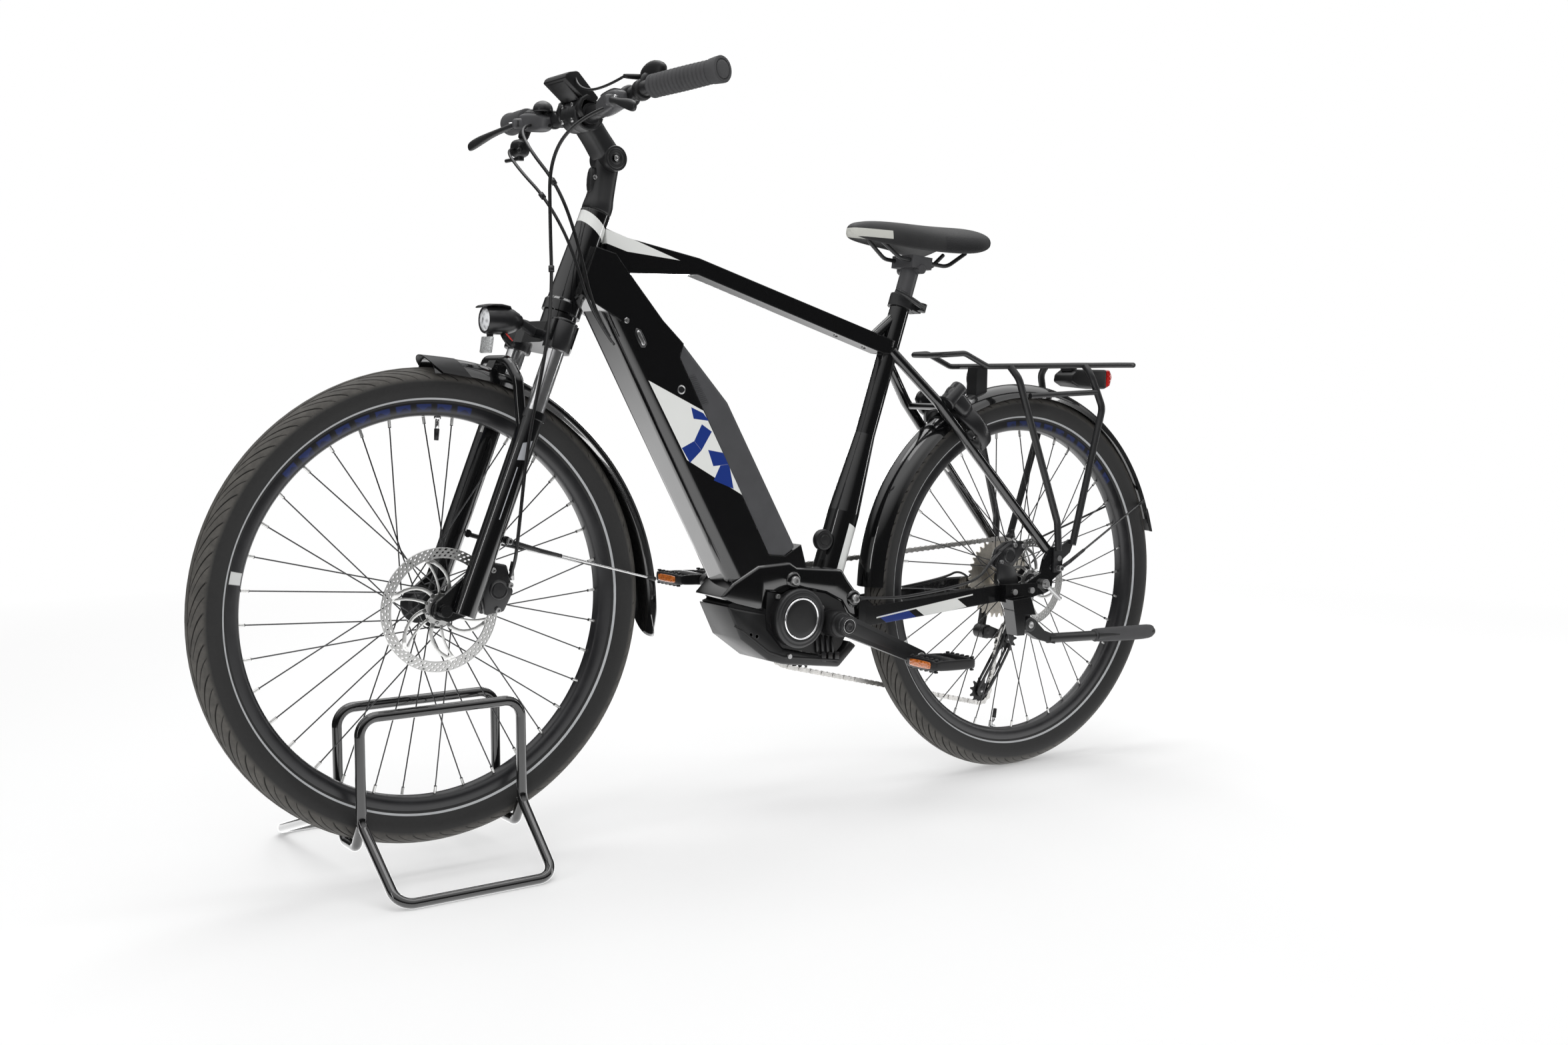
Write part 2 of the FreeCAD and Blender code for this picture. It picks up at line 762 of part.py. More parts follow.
UNDER_REAR = (join_x - 26, join_z - 10.6)
UNDER_FRONT = (head_x + 233.4, head_z + 75.5)
BOSS_SHARES = (0.242, 0.082)


def boss_point(share, out):
    """A point on the axis of a bottle boss, which leans down and to the left.

    The boss stands at a share of the way forward along the tube's underside.
    """
    slope = size.boss_slope
    x, z = (rear + (front - rear) * share for rear, front in zip(UNDER_REAR, UNDER_FRONT))
    return (x - out * sine(slope) * cosine(size.boss_lean), -4 - out * sine(size.boss_lean),
            z - out * cosine(slope) * cosine(size.boss_lean))


def top_tube():
    """The top tube, bent down to the seat tube, with a short brace above its rear end."""
    half = size.top_tube_half
    body = plate(bike, -half, half,
                 [(head_x + 65.4, head_z + 133.5), (head_x + 103.4, head_z + 122.5),
                  (head_x + 235.4, head_z + 101.5), (join_x, join_z + 12),
                  (join_x - 2, join_z - 11.6), UNDER_REAR, UNDER_FRONT,
                  (head_x + 103.4, head_z + 68.5), (head_x + 70.4, head_z + 70.5)])
    flanges, bores = [], []
    for share in BOSS_SHARES:
        flanges.append(rod(bike, boss_point(share, size.boss_proud), boss_point(share, -4), 5))
        bores.append(rod(bike, boss_point(share, size.boss_proud + 1),
                         boss_point(share, -size.boss_depth), size.bottle_bore))
    brace = rod(bike, (join_x - 35, 0, join_z + 18.4), (join_x + 17.6, 0, join_z + 60.4), 9)
    return cut(fuse(body, brace, *flanges), *bores)


def chain_stays():
    """The yoke, two stays and two dropouts; the right stay passes inside the chain."""
    side_view = [(-390, -62), (-390, -28), (-281, -19), (-107, 0), (-12, 0), (-12, -19),
                 (-105, -30), (-280, -50)]
    left = common(plate(bike, -90, -20, side_view),
                  slab(bike, -90, 20, [(-392, -52), (-10, -74), (-10, -58), (-392, -35)]))
    right = common(plate(bike, 10, 90, side_view),
                   slab(bike, -90, 20, [(-392, 22), (-352, 30.2), (-90, 51), (-60, 64),
                                        (-50, 71), (-10, 71), (-10, 77), (-60, 77),
                                        (-352, 40.3), (-392, 37)]))
    yoke = plate(bike, -52, 38, [(-406, -64), (-406, -18), (-388, -16), (-376, -24),
                                 (-376, -58), (-388, -66)])
    return fuse(yoke, left, right, dropout(-1), dropout(1))


def dropout(side):
    """A plate that holds the axle end, the seat stay and the rack's foot."""
    half, thick = size.rear_hub_half, size.dropout_thick
    low, high = (half, half + thick) if side > 0 else (-half - thick, -half)
    outline = [(-46, -22), (-42, 3), (-6, 20), (0, 44), (14, 66), (34, 66), (48, 44),
               (46, 20), (24, 6), (22, -12)]
    if side > 0:
        outline += [(22, -46), (4, -46)]
    outline += [(0, -20)]
    return plate(bike, low, high, outline, (0, 0, size.axle_radius + size.axle_fit),
                 (33, 46, 2.6), (32, 28, 2.6))


def seat_stays():
    """Two stays from the seat tube to the dropouts and a bridge between them."""
    run = [(join_x - 3.4, -12, join_z - 5.6), (-240, -44, 323), (14, -67.5, 62)]
    bridge = cylinder(bike, -232, -44, 315, 6, 88)
    return fuse(*pair(tube(bike, run, size.seat_stay, 60)), bridge)


def cradle():
    """The shell over the drive unit, from the down tube to the yoke."""
    return plate(bracket, -46, 37,
                 [(-222, 50.5), (-199, 73), (-150, 100), (-87, 104.5), (-72, 95.5),
                  (-13, 91.5), (22, 89.5), (36, 70.5), (57, 47.5), (75, 4.5), (57, -2),
                  (36, 12.5), (22, 34.5), (-11, 49.5), (-41, 55.5), (-71, 61.5),
                  (-100, 51.5), (-133, 57.5), (-137, 39.5), (-135, 23.5), (-194, 38.5)])


def motor():
    """The drive unit: its casting, the round left cover with its ring, and a bore."""
    left, right = size.motor_half, size.motor_right
    casting = plate(bracket, -left, right,
                    [(-132, 20), (-130, 60), (-100, 56), (-71, 66), (-12, 54), (24, 38),
                     (40, 14), (38, -16), (26, -40), (8, -58), (-96, -38), (-129, -4)])
    x, z, r = -size.badge_ahead, size.badge_above, size.badge_radius
    cover = cylinder(bracket, x, -left - 18, z, r, 18)
    badge = cylinder(bracket, x, -left - 21, z, 33.5, 4)
    boss = cylinder(bracket, 0, -left - 34, 0, 22, 34)
    boss_right = cylinder(bracket, 0, right, 0, 20, 2)
    bore = cylinder(bracket, 0, -left - 40, 0, size.spindle + size.spindle_fit, 200)
    return cut(fuse(casting, cover, badge, boss, boss_right), bore)


def skid_plate():
    """The tray under the drive unit."""
    tray = plate(bracket, -49, 39.2,
                 [(-211, 36.5), (-195, 32.5), (-134, 20.5), (-131, -3.5), (-98, -38.5),
                  (9, -61.5), (31, -44.5), (40, -32.5), (56, -41.5), (19, -76.5),
                  (-97, -64.5), (-127, -56.5), (-182, -18.5)])
    hollow = plate(bracket, -45.5, 37.3,
                   [(-203, 40), (-176, -16), (-124, -52.5), (-96, -60.5), (18, -72.5),
                    (49, -44), (70, -20), (70, 60), (-203, 60)])
    return cut(tray, hollow)


down_body = down_tube()
seat_body = seat_tube()
seat_solid = cylinder(seat, 0, 0, 260, size.seat_tube_top, size.seat_tube_length - 260, "z")
seat_core = cylinder(seat, 0, 0, size.seat_tube_foot, size.seat_tube_low, 116, "z")
stays_body = chain_stays()
seat_stays_body = cut(seat_stays(), seat_solid, stays_body)
cradle_body = cut(cradle(), down_body, seat_core, stays_body)
motor_body = cut(motor(), cradle_body)
node("down_tube", down_body)
node("seat_tube", seat_body)
node("top_tube", cut(top_tube(), down_body, seat_solid, seat_stays_body))
node("chain_stays", stays_body)
node("seat_stays", seat_stays_body)
node("motor_cradle", cradle_body)
node("drive_unit", motor_body)
node("skid_plate", cut(skid_plate(), motor_body, cradle_body, down_body))


def battery():
    """The battery: a long block that stands on the down tube's ledge."""
    half = size.battery_half
    seam = size.down_depth + size.battery_seam
    body = plate(down, -half, half,
                 [(seam, 12), (111, -6), (138, -4), (133, 268), (103, 388), (100.6, 389.1),
                  (seam, 373.5)])
    return soften(body, 8, battery_edges)


def battery_edges(edge):
    """The long outer edges of the battery."""
    if not isinstance(edge.Curve, Part.Line) or edge.Length < 60:
        return False
    middle = down.item.Placement.inverse().multVec(edge.CenterOfMass)
    return middle.x > 112


node("battery", battery())


# ---------------------------------------------------------------- drive
def arm(side):
    """One crank arm, with its eyes and the axle that its pedal turns on."""
    inner, thick = size.crank_inner, size.crank_thick
    low = inner if side > 0 else -inner - thick
    reach = size.crank_length * -side
    eye, tip = size.crank_eye, 13
    web = plate(crank, low, low + thick, [(0, eye), (0, -eye), (reach, -tip), (reach, tip)]
                if side < 0 else [(0, -eye), (0, eye), (reach, tip), (reach, -tip)])
    outer = inner + thick
    axle = cylinder(crank, reach, side * outer if side > 0 else -outer - 11, 0, 7, 11)
    pin = cylinder(crank, reach, outer + 11 if side > 0 else -outer - 87, 0, 5, 76)
    return [web, cylinder(crank, 0, low, 0, eye, thick),
            cylinder(crank, reach, low, 0, tip, thick), axle, pin]


def cranks():
    outer = size.crank_inner + size.crank_thick
    spindle = cylinder(crank, 0, -outer, 0, size.spindle, outer * 2)
    sleeve = cylinder(crank, 0, 38, 0, 22, size.crank_inner - 38)
    pieces = arm(-1) + arm(1) + [spindle, sleeve]
    for index in range(5):
        leaf = plate(crank, 43, 47, [(10, -12), (60, -7), (70, -5), (70, 5), (60, 7),
                                     (10, 12)])
        put(leaf, crank, 0, 0, 0, (0, 1, 0), 72 * index + 36)
        pieces.append(leaf)
    return fuse(*pieces)


def chainring():
    low = float(size.chain_line) - float(size.tooth_thick) / 2
    high = low + float(size.tooth_thick)
    return shape_feature(crank, toothed(size.ring_teeth, low, high, 62))


SPROCKETS = (36, 32, 28, 24, 21, 18, 15, 13)


def cassette():
    """Eight sprockets on one body."""
    bore = float(size.hub_cap + size.axle_fit)
    pieces = [cut(cylinder(bike, 0, 28, 0, 17, 41.6), cylinder(bike, 0, 27, 0, bore, 44))]
    for index, teeth in enumerate(SPROCKETS):
        low = float(size.chain_line) - float(size.tooth_thick) / 2 + 3.6 * index
        high = low + float(size.tooth_thick)
        pieces.append(shape_feature(bike, toothed(teeth, low, high, 16)))
    return fuse(*pieces)


def tangent_loop(circles, lift):
    """A closed run round circles (x, z, signed radius), pushed out by lift."""
    count = len(circles)
    normals = []
    for index in range(count):
        x0, z0, r0 = circles[index]
        x1, z1, r1 = circles[(index + 1) % count]
        gap = math.hypot(x1 - x0, z1 - z0)
        normals.append(math.atan2(z1 - z0, x1 - x0) - math.acos((r0 - r1) / gap))
    edges = []
    for index in range(count):
        x, z, r = circles[index]
        r += lift
        enter, leave = normals[index - 1], normals[index]
        turn = (leave - enter) % (2 * math.pi)
        if r < 0:
            turn -= 2 * math.pi
        spots = [Vector(x + r * math.cos(enter + turn * share), 0,
                        z + r * math.sin(enter + turn * share)) for share in (0, 0.5, 1)]
        edges.append(Part.Arc(*spots).toShape())
        after_x, after_z, after_r = circles[(index + 1) % count]
        after_r += lift
        end = Vector(after_x + after_r * math.cos(leave), 0,
                     after_z + after_r * math.sin(leave))
        edges.append(Part.LineSegment(spots[2], end).toShape())
    return Part.Wire(edges)


def chain():
    """Two bands of side plates round the chainring, both pulleys and the large sprocket."""
    ring_r = float(pitch_radius(size.ring_teeth))
    big_r = float(pitch_radius(size.sprocket_teeth))
    small_r = float(pitch_radius(size.pulley_teeth))
    circles = [(-float(size.bracket_ahead), -float(size.bracket_drop), ring_r),
               (-float(size.tension_ahead), -float(size.tension_drop), small_r),
               (float(size.guide_back), -float(size.guide_drop), -small_r), (0, 0, big_r)]
    half, gap, plate_t = float(size.chain_half), float(size.chain_gap), float(size.chain_plate)
    face = Part.Face(tangent_loop(circles, half)).cut(Part.Face(tangent_loop(circles, -half)))
    bands = []
    for start in (gap, -gap - plate_t):
        band = face.extrude(Vector(0, plate_t, 0))
        band.translate(Vector(0, float(size.chain_line) + start, 0))
        bands.append(band)
    return shape_feature(bike, Part.makeCompound(bands))


def pulley(frame):
    low = float(size.chain_line) - float(size.tooth_thick) / 2
    wheel_shape = toothed(size.pulley_teeth, low, low + float(size.tooth_thick), 5)
    return fuse(shape_feature(frame, wheel_shape),
                cut(cylinder(frame, 0, 38.5, 0, 6.5, 7), cylinder(frame, 0, 38, 0, 3.05, 8)))


guide = Frame("guide", bike, size.guide_back, 0, -size.guide_drop)
tension = Frame("tension", bike, -size.tension_ahead, 0, -size.tension_drop)
KNUCKLE = (-17, -103)


def derailleur_cage():
    """Two side plates, the pulleys' pins and the pin that the cage swings on."""
    inner = [(16, -110), (28, -106), (40, -116), (36, -130), (-20, -218), (-36, -225),
             (-47, -214), (-42, -204), (2, -140)]
    outer = [(-26, -96), (-12, -92), (28, -106), (40, -116), (36, -130), (-20, -218),
             (-36, -225), (-47, -214), (-42, -204), (-30, -116)]
    pieces = [plate(bike, 36.6, 38.2, inner), plate(bike, 45.8, 47.4, outer),
              cylinder(guide, 0, 35.6, 0, 3, 12.8), cylinder(tension, 0, 35.6, 0, 3, 12.8),
              cylinder(bike, KNUCKLE[0], 46, KNUCKLE[1], 5, 16)]
    return fuse(*pieces)


def derailleur_body():
    """The hanger bolt, the linkage arm and the knuckle that carries the cage."""
    x, z = KNUCKLE
    bolt = cylinder(bike, 13, 77.05, -36, 7, 14)
    link = rod(bike, (13, 87, -36), (x, 66, z), 8)
    knuckle = cylinder(bike, x, 47.7, z, 13, 26)
    return cut(fuse(bolt, link, knuckle), cylinder(bike, x, 40, z, 5.05, 26), stays_body)


node("cranks", cranks())
node("chainring", chainring())
node("cassette", cassette())
node("chain", chain())
node("guide_pulley", pulley(guide))
node("tension_pulley", pulley(tension))
node("derailleur_cage", derailleur_cage())
derailleur = derailleur_body()
node("derailleur_body", derailleur)


def pedal(frame, side):
    """A platform pedal: a barrel, two treads and two end plates."""
    def span(near, far):
        return (near, far) if side > 0 else (-far, -near)
    barrel = cylinder(frame, 0, span(112, 187)[0], 0, 11, 75)
    pieces = [barrel]
    for x in (-46, 32):
        pieces.append(box(frame, x, span(112, 187)[0], -11, 14, 75, 22))
    for near, far in ((109.5, 114), (185, 189)):
        pieces.append(box(frame, -44, span(near, far)[0], -9, 88, far - near, 18))
    body = fuse(*pieces)
    bore = cylinder(frame, 0, span(109, 184.5)[0], 0, 5.05, 75.5)
    mouth = cylinder(frame, 0, span(109, 112)[0], 0, 7.5, 3)
    return cut(body, bore, mouth)


left_pedal = Frame("left_pedal_frame", crank, size.crank_length, 0, 0, -size.crank_angle)
right_pedal = Frame("right_pedal_frame", crank, -size.crank_length, 0, 0, -size.crank_angle)
node("left_pedal", pedal(left_pedal, -1))
node("right_pedal", pedal(right_pedal, 1))


# ---------------------------------------------------------------- fork and front end
def crown():
    """The crown with its two sockets, the steerer and the two stanchions."""
    spread, x = size.leg_spread, -size.leg_behind
    drop = size.crown_drop
    bridge = slab(steer, -58, -24, [(-40, -74), (0, -74), (12, -50), (24, -24), (24, 24),
                                    (12, 50), (0, 74), (-40, 74), (-32, 30), (-32, -30)])
    pieces = [bridge, cylinder(steer, 0, 0, -26, size.head_low - 4, 25.7, "z"),
              cylinder(steer, 0, 0, -30, size.steerer, size.head_length + 50, "z")]
    for side in (-1, 1):
        pieces.append(cylinder(steer, x, spread * side, -drop, 20, 44, "z"))
        pieces.append(cylinder(steer, x, spread * side, -330, size.stanchion, 300, "z"))
    return fuse(*pieces)


def lowers():
    """Two lower legs with wipers, the arch in front of them and the axle's eyes."""
    spread, x = size.leg_spread, -size.leg_behind
    top, end = size.wiper_drop, size.fork_length - size.leg_short
    slip = size.stanchion + size.axle_fit
    legs, bores = [], []
    for side in (-1, 1):
        y = spread * side
        legs.append(cylinder(steer, x, y, -end, size.lower_leg, end - top - 4, "z"))
        legs.append(cylinder(steer, x, y, -top - 12, size.lower_leg + 2, 12, "z"))
        bores.append(cylinder(steer, x, y, -350, slip, 200, "z"))
        low, high = (50.05, 57) if side > 0 else (-57, -50.05)
        legs.append(plate(front_axle, low, high,
                          [(11.4, 53.5), (45.4, 48.5), (43.4, 8.5), (11.4, -13.5),
                           (-10.6, -13.5), (-14.6, 8.5)]))
    arch = tube(steer, [(-26, -60, -196), (-58, -58, -128), (-72, -36, -104),
                        (-72, 36, -104), (-58, 58, -128), (-26, 60, -196)], 8, 20)
    shelf = plate(steer, -12, 12, [(-80, -107), (-60, -107), (-58, -126), (-82, -126)])
    shaft = cylinder(front_axle, 0, -66, 0, size.axle_radius, 132)
    nuts = [cylinder(front_axle, 0, start, 0, 9, 9) for start in (-66, 57)]
    boss = cylinder(steer, 2, -72, -354, 6, 14)
    eye = cylinder(steer, 2, 58, -354, 6, 14)
    body = cut(fuse(*legs, arch, shelf, boss, eye), *bores,
               torus(front_level, size.guard_crown - size.guard_round, size.guard_round))
    return fuse(body, shaft, *nuts)


def front_caliper(legs_body):
    block = plate(front_axle, -60, -32, [(37.4, 86.5), (69.4, 92.5), (93.4, 58.5),
                                         (89.4, 26.5), (63.4, 12.5), (47.4, 38.5)])
    slot = cylinder(front_axle, 0, -45, 0, 92, 4.2)
    return cut(block, slot, legs_body)


def guard(frame, start, end):
    """A wheel guard: half a round section, turned about the wheel from start to end."""
    centre = size.guard_crown - size.guard_round
    outer, inner = size.guard_round, size.guard_round - size.guard_wall
    reach = 75.5
    steps = 12
    angles = [reach - 2 * reach * index / steps for index in range(steps + 1)]
    points = [(outer * sine(a), centre + outer * cosine(a)) for a in angles]
    points += [(inner * sine(a), centre + inner * cosine(a)) for a in reversed(angles)]
    body = turned(frame, points, "y", end - start)
    return put(body, frame, 0, 0, 0, (0, 1, 0), -end)


def front_mudguard():
    """The front guard with its flared flap and a stay on each side."""
    shell = guard(front_level, -5, 93)
    flap = plate(front_level, -34, 34, [(357.5, -14), (361.5, -4), (396, -52), (393, -56)])
    stays = pair(tube(front_level, [(91, -74, 99.5), (144, -68, 84), (346, -30.2, 31)], 2, 30))
    return fuse(shell, flap, *stays)


def rear_mudguard():
    """The rear guard with its end flap, a stay on each side and a foot on the yoke."""
    shell = guard(bike, 11, 180)
    flap = plate(bike, -33, 33, [(351, 74), (359.5, 74), (368, 30), (361, 30)])
    stays = pair(tube(bike, [(33, -86.3, 28), (60, -84, 40), (309, -29, 146)], 2, 40))
    foot = plate(bike, -10, 10, [(-388, -20), (-384, 8), (-361, 8), (-361, -1), (-377, -20)])
    return fuse(shell, flap, foot, *stays)


def torus_core(frame):
    """The space that a guard's section goes round."""
    return torus(frame, size.guard_crown - size.guard_round, size.guard_round)


crown_body = crown()
lowers_body = lowers()
node("fork_uppers", crown_body)
node("fork_lowers", lowers_body)
caliper_front = front_caliper(lowers_body)
node("front_caliper", caliper_front)
node("front_mudguard", cut(front_mudguard(), lowers_body))
node("rear_mudguard", cut(rear_mudguard(), stays_body))


def headlight():
    """A round lamp with a visor, its reflector below and an arm to the crown."""
    barrel = cylinder(head_level, -125.6, 0, -14.5, 20, 40, "x")
    tail = cone(head_level, -85.6, 0, -14.5, 20, 9, 18, "x")
    visor = plate(head_level, -17, 17, [(-131.6, 3.5), (-127.6, 7.5), (-93.6, 7.5),
                                        (-85.6, 1.5)])
    hanger = plate(head_level, -5, 5, [(-119.6, -30.5), (-111.6, -30.5), (-113.6, -50.5),
                                       (-118.6, -50.5)])
    reflector = plate(head_level, -20, 20, [(-124.6, -62.5), (-118.6, -63.5),
                                            (-115.6, -39.5), (-121.6, -38.5)])
    arm_plate = plate(head_level, -6, 6, [(-87.6, -10.5), (-71.6, -7.5), (-37.6, -22.5),
                                          (-33.6, -36.5), (-45.6, -38.5), (-71.6, -22.5),
                                          (-87.6, -22.5)])
    return cut(fuse(barrel, tail, visor, hanger, reflector, arm_plate), crown_body)


node("headlight", headlight())


def stem_base():
    """The spacers on the head tube, the neck and the lug that the stem tilts on."""
    top = size.head_length
    spacers = cylinder(steer, 0, 0, top + 0.3, 21, 16, "z")
    neck = cone(steer, 0, 0, top + 16, 21, 16, 42, "z")
    lug = cylinder(cockpit, 0, -12, 0, 19, 24)
    web = plate(steer, -12, 12, [(-22, 216), (9, 216), (8, 250), (-26, 250)])
    body = fuse(spacers, neck, web, lug)
    return cut(body, cylinder(steer, 0, 0, 150, size.steerer + 0.02, 120, "z"),
               cylinder(cockpit, 0, -20, 0, 6.05, 40))


def stem_arm():
    """The tilting arm: two cheeks, the beam and the clamp round the bar."""
    x, z = -size.bar_ahead, size.bar_above
    outline = [(-17, -9), (13, 15), (x + 18, z + 10), (x - 16, z - 10)]
    beam = plate(cockpit, -25, 25, outline)
    cheeks = cylinder(cockpit, 0, -25, 0, 20, 50)
    clamp = cylinder(cockpit, x, -25, z, 25, 50)
    notch = plate(cockpit, -12.3, 12.3, [(-24, -24), (24, -24), (34, 6), (10, 30),
                                         (-6, 22), (-30, 4)])
    body = cut(fuse(beam, cheeks, clamp), notch,
               cylinder(cockpit, x, -30, z, size.bar_clamp + 0.03, 60))
    return fuse(body, cylinder(cockpit, 0, -24, 0, 6, 48))


BAR_RUN = [(-47.5, 0, 60.4), (-47.5, -60, 60.4), (-43.5, -180, 78.4), (-6, -318, 90.2)]
LEVER_PIVOT = (-80, 145, 61)
GRIP = ((-40.2, -192, 79.4), (-5.5, -320, 90.4))


def handlebar():
    x, z = -size.bar_ahead, size.bar_above
    halves = pair(tube(cockpit, BAR_RUN, size.bar_radius, 60))
    return fuse(*halves, cylinder(cockpit, x, -30, z, size.bar_clamp, 60))


def grips():
    start, end = GRIP
    over = tuple(b + (b - a) * 0.02 for a, b in zip(start, end))
    grip = cut(rod(cockpit, start, over, size.grip_radius),
               rod(cockpit, tuple(a - (b - a) * 0.1 for a, b in zip(start, end)),
                   (-5.96, -318.2, 90.25), size.bar_radius + size.post_fit))
    return group(*pair(grip))


def bar_clamp(y, outer, width):
    """A collar round the bar where it runs outwards from the stem."""
    inner = BAR_RUN[1]
    outer_point = BAR_RUN[2]
    share = (abs(y) - 60) / 120
    start = [a + (b - a) * share for a, b in zip(inner, outer_point)]
    step = [(b - a) / 120 * width for a, b in zip(inner, outer_point)]
    if y > 0:
        start[1], step[1] = -start[1], -step[1]
    return rod(cockpit, start, [a + b for a, b in zip(start, step)], outer)


def controls(bar_body, arm_body):
    """Both brake masters, the remote, the shifter and the bell, each on its collar."""
    pieces = []
    for side in (-1, 1):
        pieces.append(bar_clamp(side * 136, 16, 14))
        pieces.append(rod(cockpit, (-61, side * 96, 56), (-65, side * 143, 62), 10))
        pieces.append(rod(cockpit, (-46, side * 143, 72), (-64, side * 134, 62), 7))
    pieces.append(bar_clamp(-166, 15, 12))
    pieces.append(box(cockpit, -72, -191, 98, 30, 28, 14))
    pieces.append(rod(cockpit, (-46, -172, 76), (-56, -178, 102), 6))
    pieces.append(bar_clamp(164, 15, 12))
    pieces.append(rod(cockpit, (-46, 170, 74), (-60, 172, 36), 7))
    pieces.append(cylinder(cockpit, -62, 160, 28, 12, 26))
    pieces.append(bar_clamp(86, 14, 10))
    pieces.append(cylinder(cockpit, -66, 90, 80, 15, 12, "z"))
    pieces.append(rod(cockpit, (-48, 90, 66), (-64, 90, 84), 5))
    return cut(fuse(*pieces), bar_body, arm_body)


def display(bar_body, arm_body):
    screen = plate(cockpit, -34, 34, [(-96, 106), (-92, 113), (-76, 119), (-38, 84),
                                      (-44, 76), (-62, 80)])
    foot = plate(cockpit, -9, 9, [(-70, 92), (-50, 84), (-40, 66), (-62, 66)])
    clamp = cylinder(cockpit, -size.bar_ahead, -25, size.bar_above, 25, 50)
    return cut(fuse(screen, foot), clamp, bar_body, arm_body)


def brake_lever(side):
    """A lever blade on the pivot of its master."""
    x, y, z = LEVER_PIVOT
    blade = tube(cockpit, [(x + 3, side * (y + 3), z), (-94, side * 190, 52),
                           (-104, side * 230, 42), (-108, side * 262, 33)], 5, 20)
    return fuse(blade, cylinder(cockpit, x, side * y, z - 6, 8, 12, "z"))


def lever_pocket(side):
    """The space in a master for its lever's eye."""
    x, y, z = LEVER_PIVOT
    gap = size.axle_fit
    return cylinder(cockpit, x, side * y, z - 6 - gap, 8 + gap, 12 + 2 * gap, "z")


arm_body = stem_arm()
bar_body = handlebar()
controls_body = cut(controls(bar_body, arm_body), lever_pocket(-1), lever_pocket(1))
node("stem_base", cut(stem_base(), down_body, crown_body))
node("stem_arm", arm_body)
node("handlebar", cut(bar_body, arm_body))
node("grips", grips())
node("controls", controls_body)
display_body = display(bar_body, arm_body)
node("display", display_body)
node("brake_lever_left", brake_lever(-1))
node("brake_lever_right", brake_lever(1))


def shift_lever():
    """The paddle under the shifter."""
    return fuse(cylinder(cockpit, -62, 172, 9.5, 6, 6.2, "z"),
                rod(cockpit, (-62, 172, 12.6), (-70, 206, 11), 3))


node("shift_lever", shift_lever())


# ---------------------------------------------------------------- saddle and seat post
def seatpost():
    """The post with the clamp that holds the saddle's rails."""
    top = size.seat_tube_length + size.post_rise
    shaft = cylinder(seat, 0, 0, top - size.post_length, size.seat_post, size.post_length, "z")
    saddle_clamp = plate(perch, -28, 28, [(-20, 2), (24, -1), (26, 20), (-18, 23)])
    bolt = cylinder(perch, 2, -30, -1, 8, 60)
    return fuse(shaft, saddle_clamp, bolt)


RAIL = [(-96, 15, 54), (-42, 21, 16), (64, 22, 8), (100, 30, 34)]


def saddle_section(x, half, top, edge, arch):
    """One cross-section of the saddle: a domed top and a hollow underside."""
    rise = top - edge
    right = [(0, top), (0.45 * half, top - 0.05 * rise), (0.82 * half, top - 0.26 * rise),
             (half, edge + 0.3 * rise), (0.97 * half, edge), (0.8 * half, edge + 2),
             (0.5 * half, edge + (top - arch - edge) * 0.7)]
    left = [(-across, up) for across, up in right[:0:-1]]
    points = [Vector(x, across, up) for across, up in right + [(0, top - arch)] + left]
    curve = Part.BSplineCurve()
    curve.interpolate(points, PeriodicFlag=True)
    return Part.Wire(curve.toShape())


def saddle():
    """A broad sprung saddle, wide behind and narrow in front."""
    sections = [(-138, 9, 64, 54, 8), (-126, 19, 72, 44, 20), (-94, 23, 78, 38, 24),
                (-44, 29, 78, 34, 24), (6, 47, 76, 30, 24), (50, 73, 77, 26, 24),
                (86, 84, 77, 30, 26), (112, 81, 73, 40, 24), (128, 62, 66, 51, 12)]
    rings = [saddle_section(*numbers) for numbers in sections]
    return shape_feature(perch, Part.makeLoft(rings, True, False))


def seat_clamp():
    """The collar round the top of the seat tube, with its lugs and bolt."""
    low, high = size.seat_tube_length - 22, size.seat_tube_length
    collar = cylinder(seat, 0, 0, low, 22, high - low, "z")
    lugs = box(seat, 16, -15, low + 3, 20, 30, 16)
    slot = box(seat, 10, -1, low, 30, 2, high - low)
    bolt = cylinder(seat, 29, -16.8, low + 11, 4, 36)
    nut = cylinder(seat, 29, 15, low + 11, 7.5, 9)
    seat_bore = cylinder(seat, 0, 0, low, size.seat_tube_top + size.axle_fit, high - low, "z")
    return cut(fuse(cut(fuse(collar, lugs), slot, seat_bore), bolt, nut), seat_bore)


def clamp_lever():
    """The quick release lever, folded forward along the tube's left side."""
    z = size.seat_tube_length - 11
    barrel = cylinder(seat, 29, -24, z - 7, 7, 14, "z")
    blade = tube(seat, [(29, -28, z), (8, -33, z + 1), (-24, -31, z + 6), (-36, -22, z + 9)],
                 4.5, 20)
    return fuse(barrel, blade)


saddle_body = saddle()
rails_body = cut(fuse(*pair(tube(perch, RAIL, 3.5, 30))), saddle_body)
clamp_body = seat_clamp()
node("saddle", saddle_body)
node("saddle_rails", rails_body)
node("seatpost", cut(seatpost(), rails_body))
node("seat_clamp", clamp_body)
node("seat_clamp_lever", clamp_lever())


